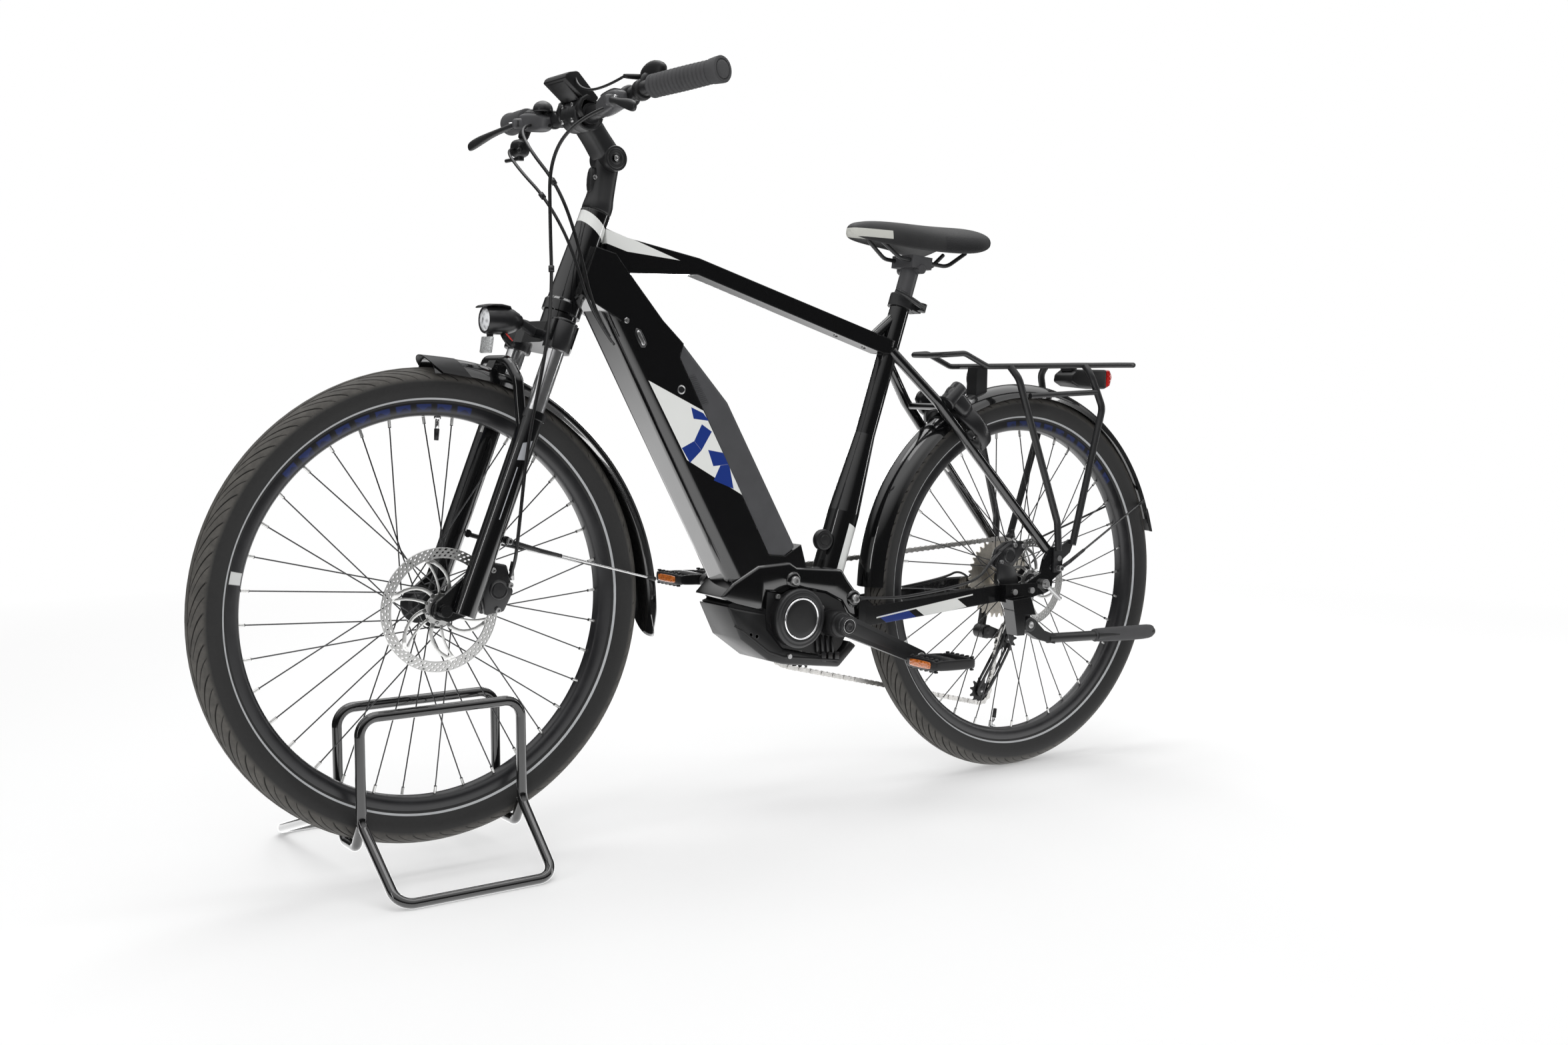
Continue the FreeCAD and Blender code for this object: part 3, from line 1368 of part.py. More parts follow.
# ---------------------------------------------------------------- rack and tail light
def rack():
    """The luggage rack: one loop of tube, cross bars, and two legs on each side."""
    radius, half, leg = size.rack_tube, size.rack_half, size.rack_leg
    pieces = []
    for side in (-1, 1):
        y = half * side
        pieces.append(tube(bike, [(-229, 0, 405), (-229, y, 406), (-187, y, 410),
                                  (-132, y, 389), (200, y, 405), (254, y, 407),
                                  (254, 0, 407)], radius, 24))
        pieces.append(tube(bike, [(-78, y, 391.6), (-70, 66 * side, 370),
                                  (26, 81 * side, 112), (29, 84 * side, 60)], leg, 30))
        pieces.append(tube(bike, [(110, y, 400.7), (112, 66 * side, 384),
                                  (136, 75 * side, 323), (64, 84 * side, 70)], leg, 30))
        pieces.append(rod(bike, (-44, 69.5 * side, 340), (126, 72 * side, 352), 5))
        low, high = (77.05, 80.7) if side > 0 else (-80.7, -77.05)
        pieces.append(plate(bike, low, high,
                            [(22, 20), (22, 64), (40, 68), (58, 80), (71, 76), (62, 56),
                             (44, 44), (42, 20)],
                            (33, 46, 2.6), (32, 28, 2.6)))
    for x, z in ((-110, 390), (20, 396), (120, 401)):
        pieces.append(cylinder(bike, x, -half, z, 4, half * 2))
    bracket_plate = cut(plate(bike, -13, 13, [(-122, 388), (-98, 389), (-97, 340),
                                              (-124, 334)]), torus_core(bike))
    return fuse_in_turn(*pieces, bracket_plate)


def tail_light():
    body = plate(bike, -25, 25, [(104, 370), (106, 384), (122, 394), (206, 396), (213, 384),
                                 (209, 366), (196, 360), (122, 362)])
    feet = box(bike, 112, -14, 390, 16, 28, 9)
    return fuse(body, feet)


rack_body = rack()
node("rack", rack_body)
node("tail_light", cut(tail_light(), rack_body))


# ---------------------------------------------------------------- ring lock
lock = Frame("lock", bike, 0, 0, 0, 46.7)
ARCH_FROM, ARCH_TO = 50, 310


def ring_lock():
    """The lock's arch round the tyre, hollow for its shackle, with its key cylinder."""
    x, z = -309, 78
    sector = []
    for index in range(14):
        turn = ARCH_FROM + (ARCH_TO - ARCH_FROM) * index / 13
        sector.append((x + 90 * math.cos(math.radians(turn)),
                       90 * math.sin(math.radians(turn))))
    keep = slab(lock, z - 30, z + 30, [(x, 0)] + sector)
    arch = cut(cylinder(lock, x, 0, z - 16, 66, 34, "z"),
               cylinder(lock, x, 0, z - 20, 50, 44, "z"))
    arch = common(arch, keep)
    shoulder = slab(lock, z - 14, z + 20, [(-352, -46), (-384, -28), (-402, -38), (-403, -54),
                                           (-386, -63), (-346, -58)])
    barrel = cylinder(lock, -386, -46, z - 20, 15, 44, "z")
    far = slab(lock, z - 14, z + 16, [(-352, 46), (-380, 26), (-392, 36), (-388, 56),
                                      (-346, 58)])
    feet = [box(lock, -322, start, 50, 34, 20, 14) for start in (-63, 43)]
    channel = new("Part::Torus", "channel")
    channel.Radius1 = 57
    channel.Radius2 = 4.6
    put(channel, lock, x, 0, z)
    return cut(fuse(arch, shoulder, barrel, far, *feet), channel, seat_stays_body)


def lock_shackle():
    """The round bow, drawn back inside the arch."""
    item = new("Part::Torus", "shackle")
    item.Radius1 = 57
    item.Radius2 = 4.5
    item.Angle3 = 124
    return put(item, lock, -309, 0, 78, (0, 0, 1), -176)


node("ring_lock", ring_lock())
node("lock_shackle", lock_shackle())


# ---------------------------------------------------------------- left rear corner
def rear_caliper():
    """The caliper over the disc, on a foot that stands on the chain stay."""
    block = plate(bike, -58, -36, [(-98, 34), (-88, 62), (-68, 74), (-36, 78), (-24, 66),
                                   (-40, 48), (-58, 30), (-80, 24)])
    foot = plate(bike, -62, -54, [(-98, 40), (-58, 32), (-44, 4), (-48, -6), (-84, -6),
                                  (-96, 8)])
    slot = cylinder(bike, 0, -47, 0, 82, 4.2)
    return cut(fuse(block, foot), slot, stays_body)


def kickstand_mount():
    """The plate on the chain stay and the housing that the leg turns in."""
    flange = plate(bike, -84, -66, [(-98, 2), (-20, 3), (-20, -20), (-62, -30), (-98, -30)])
    housing = plate(bike, -103, -76, [(-98, -24), (-54, -20), (-34, -66), (-42, -88),
                                      (-84, -88)])
    socket = cylinder(bike, -51, -90, -70, 8.05, 20)
    throat = plate(bike, -106, -86, [(-66, -52), (-10, -52), (-10, -110), (-66, -110)])
    return cut(fuse(flange, housing), socket, throat, stays_body)


def kickstand_leg():
    """The leg, folded back, with its pivot and its rubber foot."""
    pivot = cylinder(bike, -51, -102, -70, 8, 28)
    head = plate(bike, -102, -86.3, [(-60, -60), (-42, -60), (-16, -82), (14, -92),
                                     (12, -108), (-30, -98), (-56, -84)])
    leg = rod(bike, (0, -94.5, -98), (150, -94.5, -99.5), 9)
    sleeve = cone(bike, 122, -94.5, -99, 12, 8, 156, "x")
    return fuse(pivot, head, leg, sleeve)


leg_body = kickstand_leg()
caliper_body = rear_caliper()
node("rear_caliper", caliper_body)
node("kickstand_mount", kickstand_mount())
node("kickstand_leg", leg_body)


def frame_fasteners():
    """Visible bolts and plugs, and the rear axle with its quick release."""
    pieces = [fuse(cylinder(bike, 0, -90, 0, size.axle_radius, 176),
                   cylinder(bike, 0, -84.9, 0, 9, 7.8), cylinder(bike, 0, 77.05, 0, 9, 8),
                   rod(bike, (2, -88, -4), (34, -88, -28), 4))]
    for x, z in ((33, 46), (32, 28)):
        pieces.append(fuse(cylinder(bike, x, -84, z, 5, 3.25),
                           cylinder(bike, x, -83, z, 2.5, 12)))
        pieces.append(fuse(cylinder(bike, x, 80.75, z, 5, 3.25),
                           cylinder(bike, x, 71, z, 2.5, 12)))
    for x, z in ((-541, 21), (-413.6, -14)):
        pieces.append(cylinder(bike, x, -50, z, 7, 4))
    for x, y, z in ((-573, -49.5, -4), (-483, -47.5, -26), (-547, -52.5, -104)):
        pieces.append(cylinder(bike, x, y, z, 4, 3.45))
    pieces.append(cylinder(bike, -77, -87, -12, 5.5, 3))
    pieces.append(cylinder(bike, -35, -87, -10, 5.5, 3))
    return group(*pieces)


node("frame_fasteners", frame_fasteners())


# ---------------------------------------------------------------- cables
def frame_cables():
    """The rear brake hose along the left stay and the gear cable's last loop."""
    hose = tube(bike, [(-408, -55.4, -12), (-330, -55, -16), (-278, -61, -10),
                       (-220, -66, -2), (-150, -70, 12), (-112, -64, 50), (-86, -54, 58)],
                2.6, 30)
    gear = tube(bike, [(-386, 30, -25), (-350, 34.5, -22), (-281, 41, -16), (-120, 57, 1.4),
                       (-60, 84, 12), (-6, 96, -20), (14, 94, -70), (-10, 74, -96)], 2.2, 24)
    return cut(group(hose, gear), caliper_body, derailleur, stays_body)


def steering_cables():
    """Hoses and cables from the controls, round the head tube, to the frame and the fork."""
    front = tube(head_level, [
        (14.4, -126, 299.5), (-25.6, -96, 281.5), (-51.6, -52, 225.5), (-43.6, -44, 125.5),
        (-45.6, -58, 35.5), (-67.6, -88, -54.5), (-93.6, -86, -184.5), (-105.6, -85, -324.5),
        (-107.6, -78, -374.5), (-101.6, -48, -392.5)], 2.6, 60)
    rear = tube(head_level, [
        (14.4, 126, 299.5), (-31.6, 84, 287.5), (-51.6, 18, 245.5), (-25.6, -34, 185.5),
        (0.4, -50, 105.5), (28.4, -50, 5.5), (60.4, -43.5, -30.5)], 2.6, 60)
    gear = tube(head_level, [
        (6.4, 176, 265.5), (-37.6, 120, 255.5), (-57.6, 36, 215.5), (-41.6, -28, 165.5),
        (-14.6, -60, 95.5), (18.4, -60, 1.5), (68.4, -44, -42.5)], 2.4, 60)
    remote = tube(head_level, [
        (8.4, -160, 333.5), (-3.6, -110, 317.5), (-7.6, -50, 329.5), (0.4, -30, 349.5)], 2, 30)
    return cut(group(front, rear, gear, remote), controls_body, display_body, down_body,
               caliper_front, crown_body)


node("frame_cables", frame_cables())
node("steering_cables", steering_cables())


# ---------------------------------------------------------------- check and write
document.recompute()
for item in document.Objects:
    if "Invalid" in item.State or "Error" in item.State:
        raise RuntimeError(f"{item.Label} did not build: {item.State}")
os.makedirs("parts", exist_ok=True)
for name, item in NODES.items():
    shape = item.Shape
    if shape.isNull() or not shape.isValid() or not shape.Solids:
        raise RuntimeError(f"{name} has no sound solid")
    shape.exportStep(os.path.join("parts", f"{name}.step"))
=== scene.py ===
"""Dresses the electric trekking bicycle in its floor stand: finishes, trim, cables and light.

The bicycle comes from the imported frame. X points to its rear, Y to the rider's right and Z up;
lengths are in metres here, and the local places below count in millimetres.
"""

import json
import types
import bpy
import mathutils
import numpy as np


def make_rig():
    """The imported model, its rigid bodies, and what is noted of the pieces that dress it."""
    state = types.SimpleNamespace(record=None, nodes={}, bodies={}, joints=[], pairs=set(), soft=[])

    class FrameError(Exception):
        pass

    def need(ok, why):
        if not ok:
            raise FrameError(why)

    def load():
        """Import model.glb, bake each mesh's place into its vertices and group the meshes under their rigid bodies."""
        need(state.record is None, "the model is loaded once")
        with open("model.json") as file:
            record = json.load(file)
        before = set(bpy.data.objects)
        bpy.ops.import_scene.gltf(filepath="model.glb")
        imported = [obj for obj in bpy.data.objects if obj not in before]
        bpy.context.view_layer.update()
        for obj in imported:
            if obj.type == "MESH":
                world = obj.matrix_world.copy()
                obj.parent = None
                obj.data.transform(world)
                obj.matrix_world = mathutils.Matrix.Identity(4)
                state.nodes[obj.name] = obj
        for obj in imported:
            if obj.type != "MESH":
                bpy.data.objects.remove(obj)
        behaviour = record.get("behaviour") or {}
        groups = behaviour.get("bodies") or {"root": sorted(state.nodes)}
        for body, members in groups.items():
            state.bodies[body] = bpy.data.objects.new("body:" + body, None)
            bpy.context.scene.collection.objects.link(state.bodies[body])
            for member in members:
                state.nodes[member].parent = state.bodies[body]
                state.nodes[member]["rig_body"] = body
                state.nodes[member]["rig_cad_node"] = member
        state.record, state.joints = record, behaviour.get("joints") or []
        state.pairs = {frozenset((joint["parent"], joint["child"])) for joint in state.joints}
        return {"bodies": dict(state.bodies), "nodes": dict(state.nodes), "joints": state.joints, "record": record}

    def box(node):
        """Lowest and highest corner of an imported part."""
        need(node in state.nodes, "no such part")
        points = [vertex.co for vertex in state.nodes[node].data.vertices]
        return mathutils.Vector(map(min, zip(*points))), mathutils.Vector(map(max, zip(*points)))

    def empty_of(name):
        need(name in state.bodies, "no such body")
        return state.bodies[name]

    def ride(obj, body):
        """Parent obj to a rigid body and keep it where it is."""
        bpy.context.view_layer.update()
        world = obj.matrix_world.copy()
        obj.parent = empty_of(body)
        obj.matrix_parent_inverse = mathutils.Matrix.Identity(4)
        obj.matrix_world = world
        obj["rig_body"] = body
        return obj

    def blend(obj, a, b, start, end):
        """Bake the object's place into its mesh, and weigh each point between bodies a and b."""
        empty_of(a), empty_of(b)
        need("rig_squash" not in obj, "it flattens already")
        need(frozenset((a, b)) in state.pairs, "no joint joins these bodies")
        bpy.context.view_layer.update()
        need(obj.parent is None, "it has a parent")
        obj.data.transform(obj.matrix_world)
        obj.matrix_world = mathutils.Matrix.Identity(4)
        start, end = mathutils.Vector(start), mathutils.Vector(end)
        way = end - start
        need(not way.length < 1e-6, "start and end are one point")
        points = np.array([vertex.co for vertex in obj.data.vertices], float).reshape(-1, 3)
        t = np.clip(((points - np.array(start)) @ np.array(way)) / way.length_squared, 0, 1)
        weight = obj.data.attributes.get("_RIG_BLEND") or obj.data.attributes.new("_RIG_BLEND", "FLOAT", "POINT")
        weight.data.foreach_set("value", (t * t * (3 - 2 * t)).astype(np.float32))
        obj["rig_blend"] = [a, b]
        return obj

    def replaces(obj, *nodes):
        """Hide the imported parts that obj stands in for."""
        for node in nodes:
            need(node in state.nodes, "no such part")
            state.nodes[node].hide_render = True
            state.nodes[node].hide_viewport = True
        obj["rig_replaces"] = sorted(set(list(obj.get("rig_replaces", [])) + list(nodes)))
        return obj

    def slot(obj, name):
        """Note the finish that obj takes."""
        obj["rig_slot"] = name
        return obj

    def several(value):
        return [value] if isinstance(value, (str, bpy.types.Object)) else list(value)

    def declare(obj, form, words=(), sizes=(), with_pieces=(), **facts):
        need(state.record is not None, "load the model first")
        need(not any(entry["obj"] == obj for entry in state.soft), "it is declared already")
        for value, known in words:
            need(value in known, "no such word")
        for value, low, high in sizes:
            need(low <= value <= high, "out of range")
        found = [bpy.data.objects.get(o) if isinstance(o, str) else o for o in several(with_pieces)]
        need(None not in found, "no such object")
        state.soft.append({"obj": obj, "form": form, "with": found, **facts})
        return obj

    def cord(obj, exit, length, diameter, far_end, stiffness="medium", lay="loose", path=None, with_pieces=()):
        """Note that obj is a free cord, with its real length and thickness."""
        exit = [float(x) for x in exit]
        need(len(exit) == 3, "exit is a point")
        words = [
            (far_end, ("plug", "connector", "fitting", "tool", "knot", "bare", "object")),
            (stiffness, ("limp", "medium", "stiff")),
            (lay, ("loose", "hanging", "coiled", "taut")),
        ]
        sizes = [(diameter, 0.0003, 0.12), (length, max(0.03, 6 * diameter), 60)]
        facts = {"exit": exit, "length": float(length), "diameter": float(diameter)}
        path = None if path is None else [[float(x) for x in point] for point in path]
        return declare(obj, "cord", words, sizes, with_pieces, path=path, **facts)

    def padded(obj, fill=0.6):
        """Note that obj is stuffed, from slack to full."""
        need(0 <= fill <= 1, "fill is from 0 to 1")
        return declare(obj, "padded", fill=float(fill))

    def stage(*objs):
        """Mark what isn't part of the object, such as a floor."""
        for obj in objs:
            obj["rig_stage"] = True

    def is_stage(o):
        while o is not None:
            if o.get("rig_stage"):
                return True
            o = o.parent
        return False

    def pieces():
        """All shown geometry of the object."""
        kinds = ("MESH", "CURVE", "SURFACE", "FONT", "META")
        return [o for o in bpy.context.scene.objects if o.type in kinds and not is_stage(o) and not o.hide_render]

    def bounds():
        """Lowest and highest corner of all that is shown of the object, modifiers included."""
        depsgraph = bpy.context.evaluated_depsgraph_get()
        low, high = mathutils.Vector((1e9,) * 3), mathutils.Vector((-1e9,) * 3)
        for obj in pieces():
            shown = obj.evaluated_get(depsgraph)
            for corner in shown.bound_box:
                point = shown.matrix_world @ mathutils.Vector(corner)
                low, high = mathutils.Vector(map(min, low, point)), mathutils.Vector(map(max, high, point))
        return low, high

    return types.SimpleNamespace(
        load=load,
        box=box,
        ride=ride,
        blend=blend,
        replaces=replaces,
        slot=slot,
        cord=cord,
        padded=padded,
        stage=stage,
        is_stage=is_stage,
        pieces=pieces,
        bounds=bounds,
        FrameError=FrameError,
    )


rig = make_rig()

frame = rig.load()

import json
import logging
import math
from dataclasses import dataclass
from enum import Enum
from typing import Any, Callable, Iterable, Optional, Sequence

import bmesh
import bpy
from mathutils import Matrix, Vector

log = logging.getLogger("bicycle")

MM = 0.001
EASED_FROM = 28.0  # degrees between two faces, above which a plate's edge is eased
CRADLE_BOLTS = ((-80, 73.5), (47.4, 38.5))  # x and z from the bottom bracket
Colour = tuple[float, float, float]
Item = bpy.types.Object
Numbers = tuple[float, ...]
Point = tuple[float, float, float]
Spot = tuple[float, float]


class Side(Enum):
    """The rider's left or right, by the sign of Y."""

    LEFT = -1
    RIGHT = 1


class Body(Enum):
    """The bodies of the frame that pieces ride on."""

    FRAME = "frame"
    STEERING = "steering"
    COCKPIT = "cockpit"
    LEFT_LEVER = "left_lever"
    RIGHT_LEVER = "right_lever"
    FORK = "fork_lower"
    FRONT_WHEEL = "front_wheel"
    REAR_WHEEL = "rear_wheel"
    CRANKS = "crankset"
    LEFT_PEDAL = "left_pedal"
    RIGHT_PEDAL = "right_pedal"
    CAGE = "cage"
    POST = "seat_post"
    BATTERY = "battery"
    KICKSTAND = "kickstand"


# ---------------------------------------------------------------- places
def circle(steps: int) -> list[Spot]:
    """The cosines and sines of even steps round a circle."""
    return [(math.cos(a), math.sin(a)) for a in (2 * math.pi * k / steps for k in range(steps))]


def bulge(share: float, square: float) -> float:
    """A cosine or sine drawn out so that its oval grows square; 2 keeps an ellipse."""
    return math.copysign(abs(share) ** (2 / square), share)


@dataclass(frozen=True)
class Place:
    """A local place on the bicycle: millimetres here, metres in the object's frame."""

    matrix: Matrix

    @staticmethod
    def at(x: float, y: float, z: float, turn: float = 0.0) -> "Place":
        """A place at a point in metres, turned about Y by an angle in degrees."""
        return Place(Matrix.Translation((x, y, z)) @ Matrix.Rotation(math.radians(turn), 4, "Y")
                     @ Matrix.Scale(MM, 4))

    def child(self, x: float, y: float, z: float, turn: float = 0.0) -> "Place":
        """A place inside this one, shifted in millimetres and turned about Y."""
        return Place(self.matrix @ Matrix.Translation((x, y, z))
                     @ Matrix.Rotation(math.radians(turn), 4, "Y"))

    def point(self, x: float, y: float, z: float) -> Vector:
        """A point of this place in the object's frame."""
        return self.matrix @ Vector((x, y, z))

    def round(self, radius: float, y: float, angle: float) -> Vector:
        """A point at a radius and an angle in radians round this place's y axis."""
        return self.point(radius * math.cos(angle), y, radius * math.sin(angle))

    def axis(self, x: float, y: float, z: float) -> Vector:
        """A direction of this place in the object's frame, one long."""
        return (self.matrix.to_3x3() @ Vector((x, y, z))).normalized()

    @property
    def origin(self) -> Vector:
        """The place's origin in the object's frame."""
        return self.matrix.translation.copy()


def middle(node: str) -> Vector:
    """The middle of a node's box."""
    low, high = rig.box(node)
    return (low + high) / 2


@dataclass(frozen=True)
class Layout:
    """Where the bicycle's parts sit, in millimetres and degrees."""

    bracket: Spot = (-461.0, -52.5)
    seat_turn: float = 17.0
    steer_turn: float = 19.7
    crank_turn: float = 21.5
    crank_length: float = 170.0
    head: Spot = (-958.4, 434.5)
    tilt_pivot: Spot = (-9.1, 250.7)
    down_foot: Spot = (-655.0, 12.0)
    down_neck: Spot = (-905.0, 443.0)
    saddle_rise: float = 632.0
    lock_turn: float = 46.7

    def places(self) -> dict[str, Place]:
        """Every local place, from the wheels' axles.

        Returns:
            The places by name.
        """
        rear, front = middle("rear_rim"), middle("front_rim")
        tip = math.degrees(math.asin((front.z - rear.z) / (rear - front).length))
        bike = Place.at(rear.x, 0, rear.z, tip)
        bracket = bike.child(self.bracket[0], 0, self.bracket[1])
        seat = bracket.child(0, 0, 0, self.seat_turn)
        steer = bike.child(self.head[0], 0, self.head[1], self.steer_turn)
        lean = math.degrees(math.atan2(self.down_neck[0] - self.down_foot[0],
                                       self.down_neck[1] - self.down_foot[1]))
        return {
            "bike": bike, "bracket": bracket, "seat": seat, "steer": steer,
            "front": bike.child(-((rear - front).length / MM), 0, 0),
            "head": bike.child(self.head[0], 0, self.head[1]),
            "cockpit": steer.child(self.tilt_pivot[0], 0, self.tilt_pivot[1],
                                   -self.steer_turn),
            "crank": bracket.child(0, 0, 0, self.crank_turn),
            "perch": seat.child(0, 0, self.saddle_rise, -self.seat_turn),
            "down": bike.child(self.down_foot[0], 0, self.down_foot[1], lean),
            "lock": bike.child(0, 0, 0, self.lock_turn),
        }


# ---------------------------------------------------------------- shader maths
def _operation(kind: str, swapped: bool = False) -> Callable[..., "Signal"]:
    """A method that adds a Math node of one kind; swapped puts this value last."""
    def method(self: "Signal", *others: Any) -> "Signal":
        """This value and others through one Math node."""
        values = (*others, self) if swapped else (self, *others)
        node = self.net.add("ShaderNodeMath", {"operation": kind}, dict(enumerate(values)))
        return Signal(self.net, node.outputs[0])
    return method


class Signal:
    """One value in a finish's nodes; sums on it add Math nodes.

    Of two masks, & keeps where both are and | where either is.
    """

    __add__, __radd__ = _operation("ADD"), _operation("ADD", True)
    __sub__, __rsub__ = _operation("SUBTRACT"), _operation("SUBTRACT", True)
    __mul__, __rmul__ = _operation("MULTIPLY"), _operation("MULTIPLY", True)
    __truediv__ = _operation("DIVIDE")
    __and__, __or__ = _operation("MINIMUM"), _operation("MAXIMUM")
    size, sine, root = _operation("ABSOLUTE"), _operation("SINE"), _operation("SQRT")
    part, bearing = _operation("FRACT"), _operation("ARCTAN2")

    def __init__(self, net: "Net", socket: bpy.types.NodeSocket) -> None:
        """Keep the net and the socket that carries the value."""
        self.net = net
        self.socket = socket

    def kept(self) -> "Signal":
        """This held between 0 and 1."""
        node = self.net.add("ShaderNodeClamp", {}, {"Value": self})
        return Signal(self.net, node.outputs[0])

    def above(self, edge: float, soft: float = 0.4) -> "Signal":
        """A mask that is 1 above an edge, over a soft width."""
        return ((self - edge) * (1.0 / soft) + 0.5).kept()

    def below(self, edge: float, soft: float = 0.4) -> "Signal":
        """A mask that is 1 below an edge, over a soft width."""
        return ((edge - self) * (1.0 / soft) + 0.5).kept()

    def between(self, low: float, high: float, soft: float = 0.4) -> "Signal":
        """A mask that is 1 between two edges."""
        return self.above(low, soft) & self.below(high, soft)


class Net:
    """The nodes of one material or world, built from expressions."""

    def __init__(self, name: str, world: bool = False) -> None:
        """Start a material, or a world, with its output alone."""
        made, output = ((bpy.data.worlds, "ShaderNodeOutputWorld") if world
                        else (bpy.data.materials, "ShaderNodeOutputMaterial"))
        self.block = made.new(name)
        self.block.use_nodes = True
        self.tree = self.block.node_tree
        self.tree.nodes.clear()
        self.output = self.tree.nodes.new(output)
        self._object: Optional[bpy.types.NodeSocket] = None

    def add(self, kind: str, settings: Optional[dict[str, Any]] = None,
            sockets: Optional[dict[Any, Any]] = None) -> bpy.types.Node:
        """Add a node, with its settings first and then its sockets.

        Args:
            kind: The node's type.
            settings: Its properties; "stops" holds a ramp's places and colours.
            sockets: Values or links by the input's name or number.

        Returns:
            The node.
        """
        node = self.tree.nodes.new(kind)
        for name, value in (settings or {}).items():
            if name == "stops":
                stops = node.color_ramp.elements
                while len(stops) > 1:
                    stops.remove(stops[-1])
                for index, (where, colour) in enumerate(value):
                    stop = stops[0] if index == 0 else stops.new(where)
                    stop.position = where
                    stop.color = (*colour, 1.0)
            else:
                setattr(node, name, value)
        for name, value in (sockets or {}).items():
            link = value.socket if isinstance(value, Signal) else value
            if isinstance(link, bpy.types.NodeSocket):
                self.tree.links.new(link, node.inputs[name])
            elif value is not None:
                node.inputs[name].default_value = value
        return node

    def spot(self) -> bpy.types.NodeSocket:
        """The point on the surface, in the object's own frame."""
        if self._object is None:
            self._object = self.add("ShaderNodeTexCoord").outputs["Object"]
        return self._object

    def vector(self, operation: str, *values: Any) -> bpy.types.Node:
        """A Vector Math node."""
        return self.add("ShaderNodeVectorMath", {"operation": operation},
                        dict(enumerate(values)))

    def along(self, place: Place, x: float, y: float, z: float) -> Signal:
        """How far a point lies along one direction of a place, in its millimetres."""
        direction = place.axis(x, y, z) / MM
        dot = self.vector("DOT_PRODUCT", self.spot(), tuple(direction))
        return Signal(self, dot.outputs["Value"]) - direction.dot(place.origin)

    def axes(self, place: Place) -> tuple[Signal, Signal, Signal]:
        """How far a point lies along a place's x, y and z, in its millimetres."""
        return self.along(place, 1, 0, 0), self.along(place, 0, 1, 0), self.along(place, 0, 0, 1)

    def polar(self, axle: str) -> tuple[Signal, Signal, Signal]:
        """A point's distance from an axle, its angle round it in degrees and its y."""
        x, y, z = self.axes(PLACES[axle])
        return (x * x + z * z).root(), z.bearing(x) * (180 / math.pi), y

    def noise(self, scale: float, detail: float = 3.0, rough: float = 0.55) -> Signal:
        """Noise over the object's own frame, about 0.5, with scale per metre."""
        node = self.add("ShaderNodeTexNoise", {"noise_dimensions": "3D"}, {
            "Vector": self.spot(), "Scale": scale, "Detail": detail, "Roughness": rough})
        return Signal(self, node.outputs["Fac"])

    def cells(self, scale: float) -> Signal:
        """The distance to the nearest of scattered points, with scale per metre."""
        node = self.add("ShaderNodeTexVoronoi", {"feature": "F1"},
                        {"Vector": self.spot(), "Scale": scale})
        return Signal(self, node.outputs["Distance"])

    def blend(self, mask: Any, under: Any, over: Any) -> bpy.types.NodeSocket:
        """A colour that goes from under to over by a mask."""
        whole = [(*colour, 1.0) if isinstance(colour, tuple) and len(colour) == 3 else colour
                 for colour in (under, over)]
        return self.add("ShaderNodeMix", {"data_type": "RGBA"},
                        {0: mask, 6: whole[0], 7: whole[1]}).outputs[2]

    def shape(self, across: Signal, up: Signal, corners: Sequence[Spot],
              soft: float = 0.5) -> Signal:
        """A mask inside an outline that bulges outwards everywhere.

        Args:
            across: The first coordinate, in millimetres.
            up: The second coordinate, in millimetres.
            corners: The outline's corners, in either turning sense.
            soft: The width of the edge, in millimetres.

        Returns:
            The mask.
        """
        sides = list(zip(corners, [*corners[1:], corners[0]]))
        sense = 1.0 if sum(a[0] * b[1] - b[0] * a[1] for a, b in sides) > 0 else -1.0
        inside: Optional[Signal] = None
        for (x0, z0), (x1, z1) in sides:
            length = math.hypot(x1 - x0, z1 - z0)
            nx, nz = -(z1 - z0) / length * sense, (x1 - x0) / length * sense
            edge = across * nx + up * nz - (x0 * nx + z0 * nz)
            inside = edge if inside is None else inside & edge
        return (inside * (1.0 / soft) + 0.5).kept()

    def rounded(self, edge: float) -> bpy.types.NodeSocket:
        """The surface's normal with its sharp edges eased over a width in millimetres."""
        return self.add("ShaderNodeBevel", {"samples": 4}, {"Radius": edge * MM}).outputs[0]

    def bump(self, height: Any, strength: float, depth: float,
             normal: Optional[bpy.types.NodeSocket] = None) -> bpy.types.NodeSocket:
        """A Bump node's normal, with its depth in millimetres."""
        return self.add("ShaderNodeBump", {}, {"Strength": strength, "Distance": depth * MM,
                                               "Height": height, "Normal": normal}).outputs[0]

    def light(self, kind: str, strength: float, colour: Any = (1.0, 1.0, 1.0, 1.0)) -> Any:
        """An Emission or Background shader's output."""
        return self.add(kind, {}, {"Color": colour, "Strength": strength}).outputs[0]

    def mix(self, share: Any, under: Any, over: Any) -> bpy.types.NodeSocket:
        """A shader that goes from under to over by a share."""
        return self.add("ShaderNodeMixShader", {}, {0: share, 1: under, 2: over}).outputs[0]

    def rays(self) -> tuple[Signal, Signal]:
        """Masks for the rays that the eye sees along and for mirrored rays."""
        path = self.add("ShaderNodeLightPath").outputs
        seen = Signal(self, path["Is Camera Ray"]) | Signal(self, path["Is Transmission Ray"])
        return seen, Signal(self, path["Is Glossy Ray"])

    def end(self, shader: bpy.types.NodeSocket) -> None:
        """Link a shader to the output."""
        self.tree.links.new(shader, self.output.inputs["Surface"])

    def surface(self, **sockets: Any) -> bpy.types.Material:
        """End with the main shader, by its socket names with spaces as low lines."""
        self.end(self.add("ShaderNodeBsdfPrincipled", {}, {
            name.replace("_", " "): value for name, value in sockets.items()}).outputs[0])
        return self.block


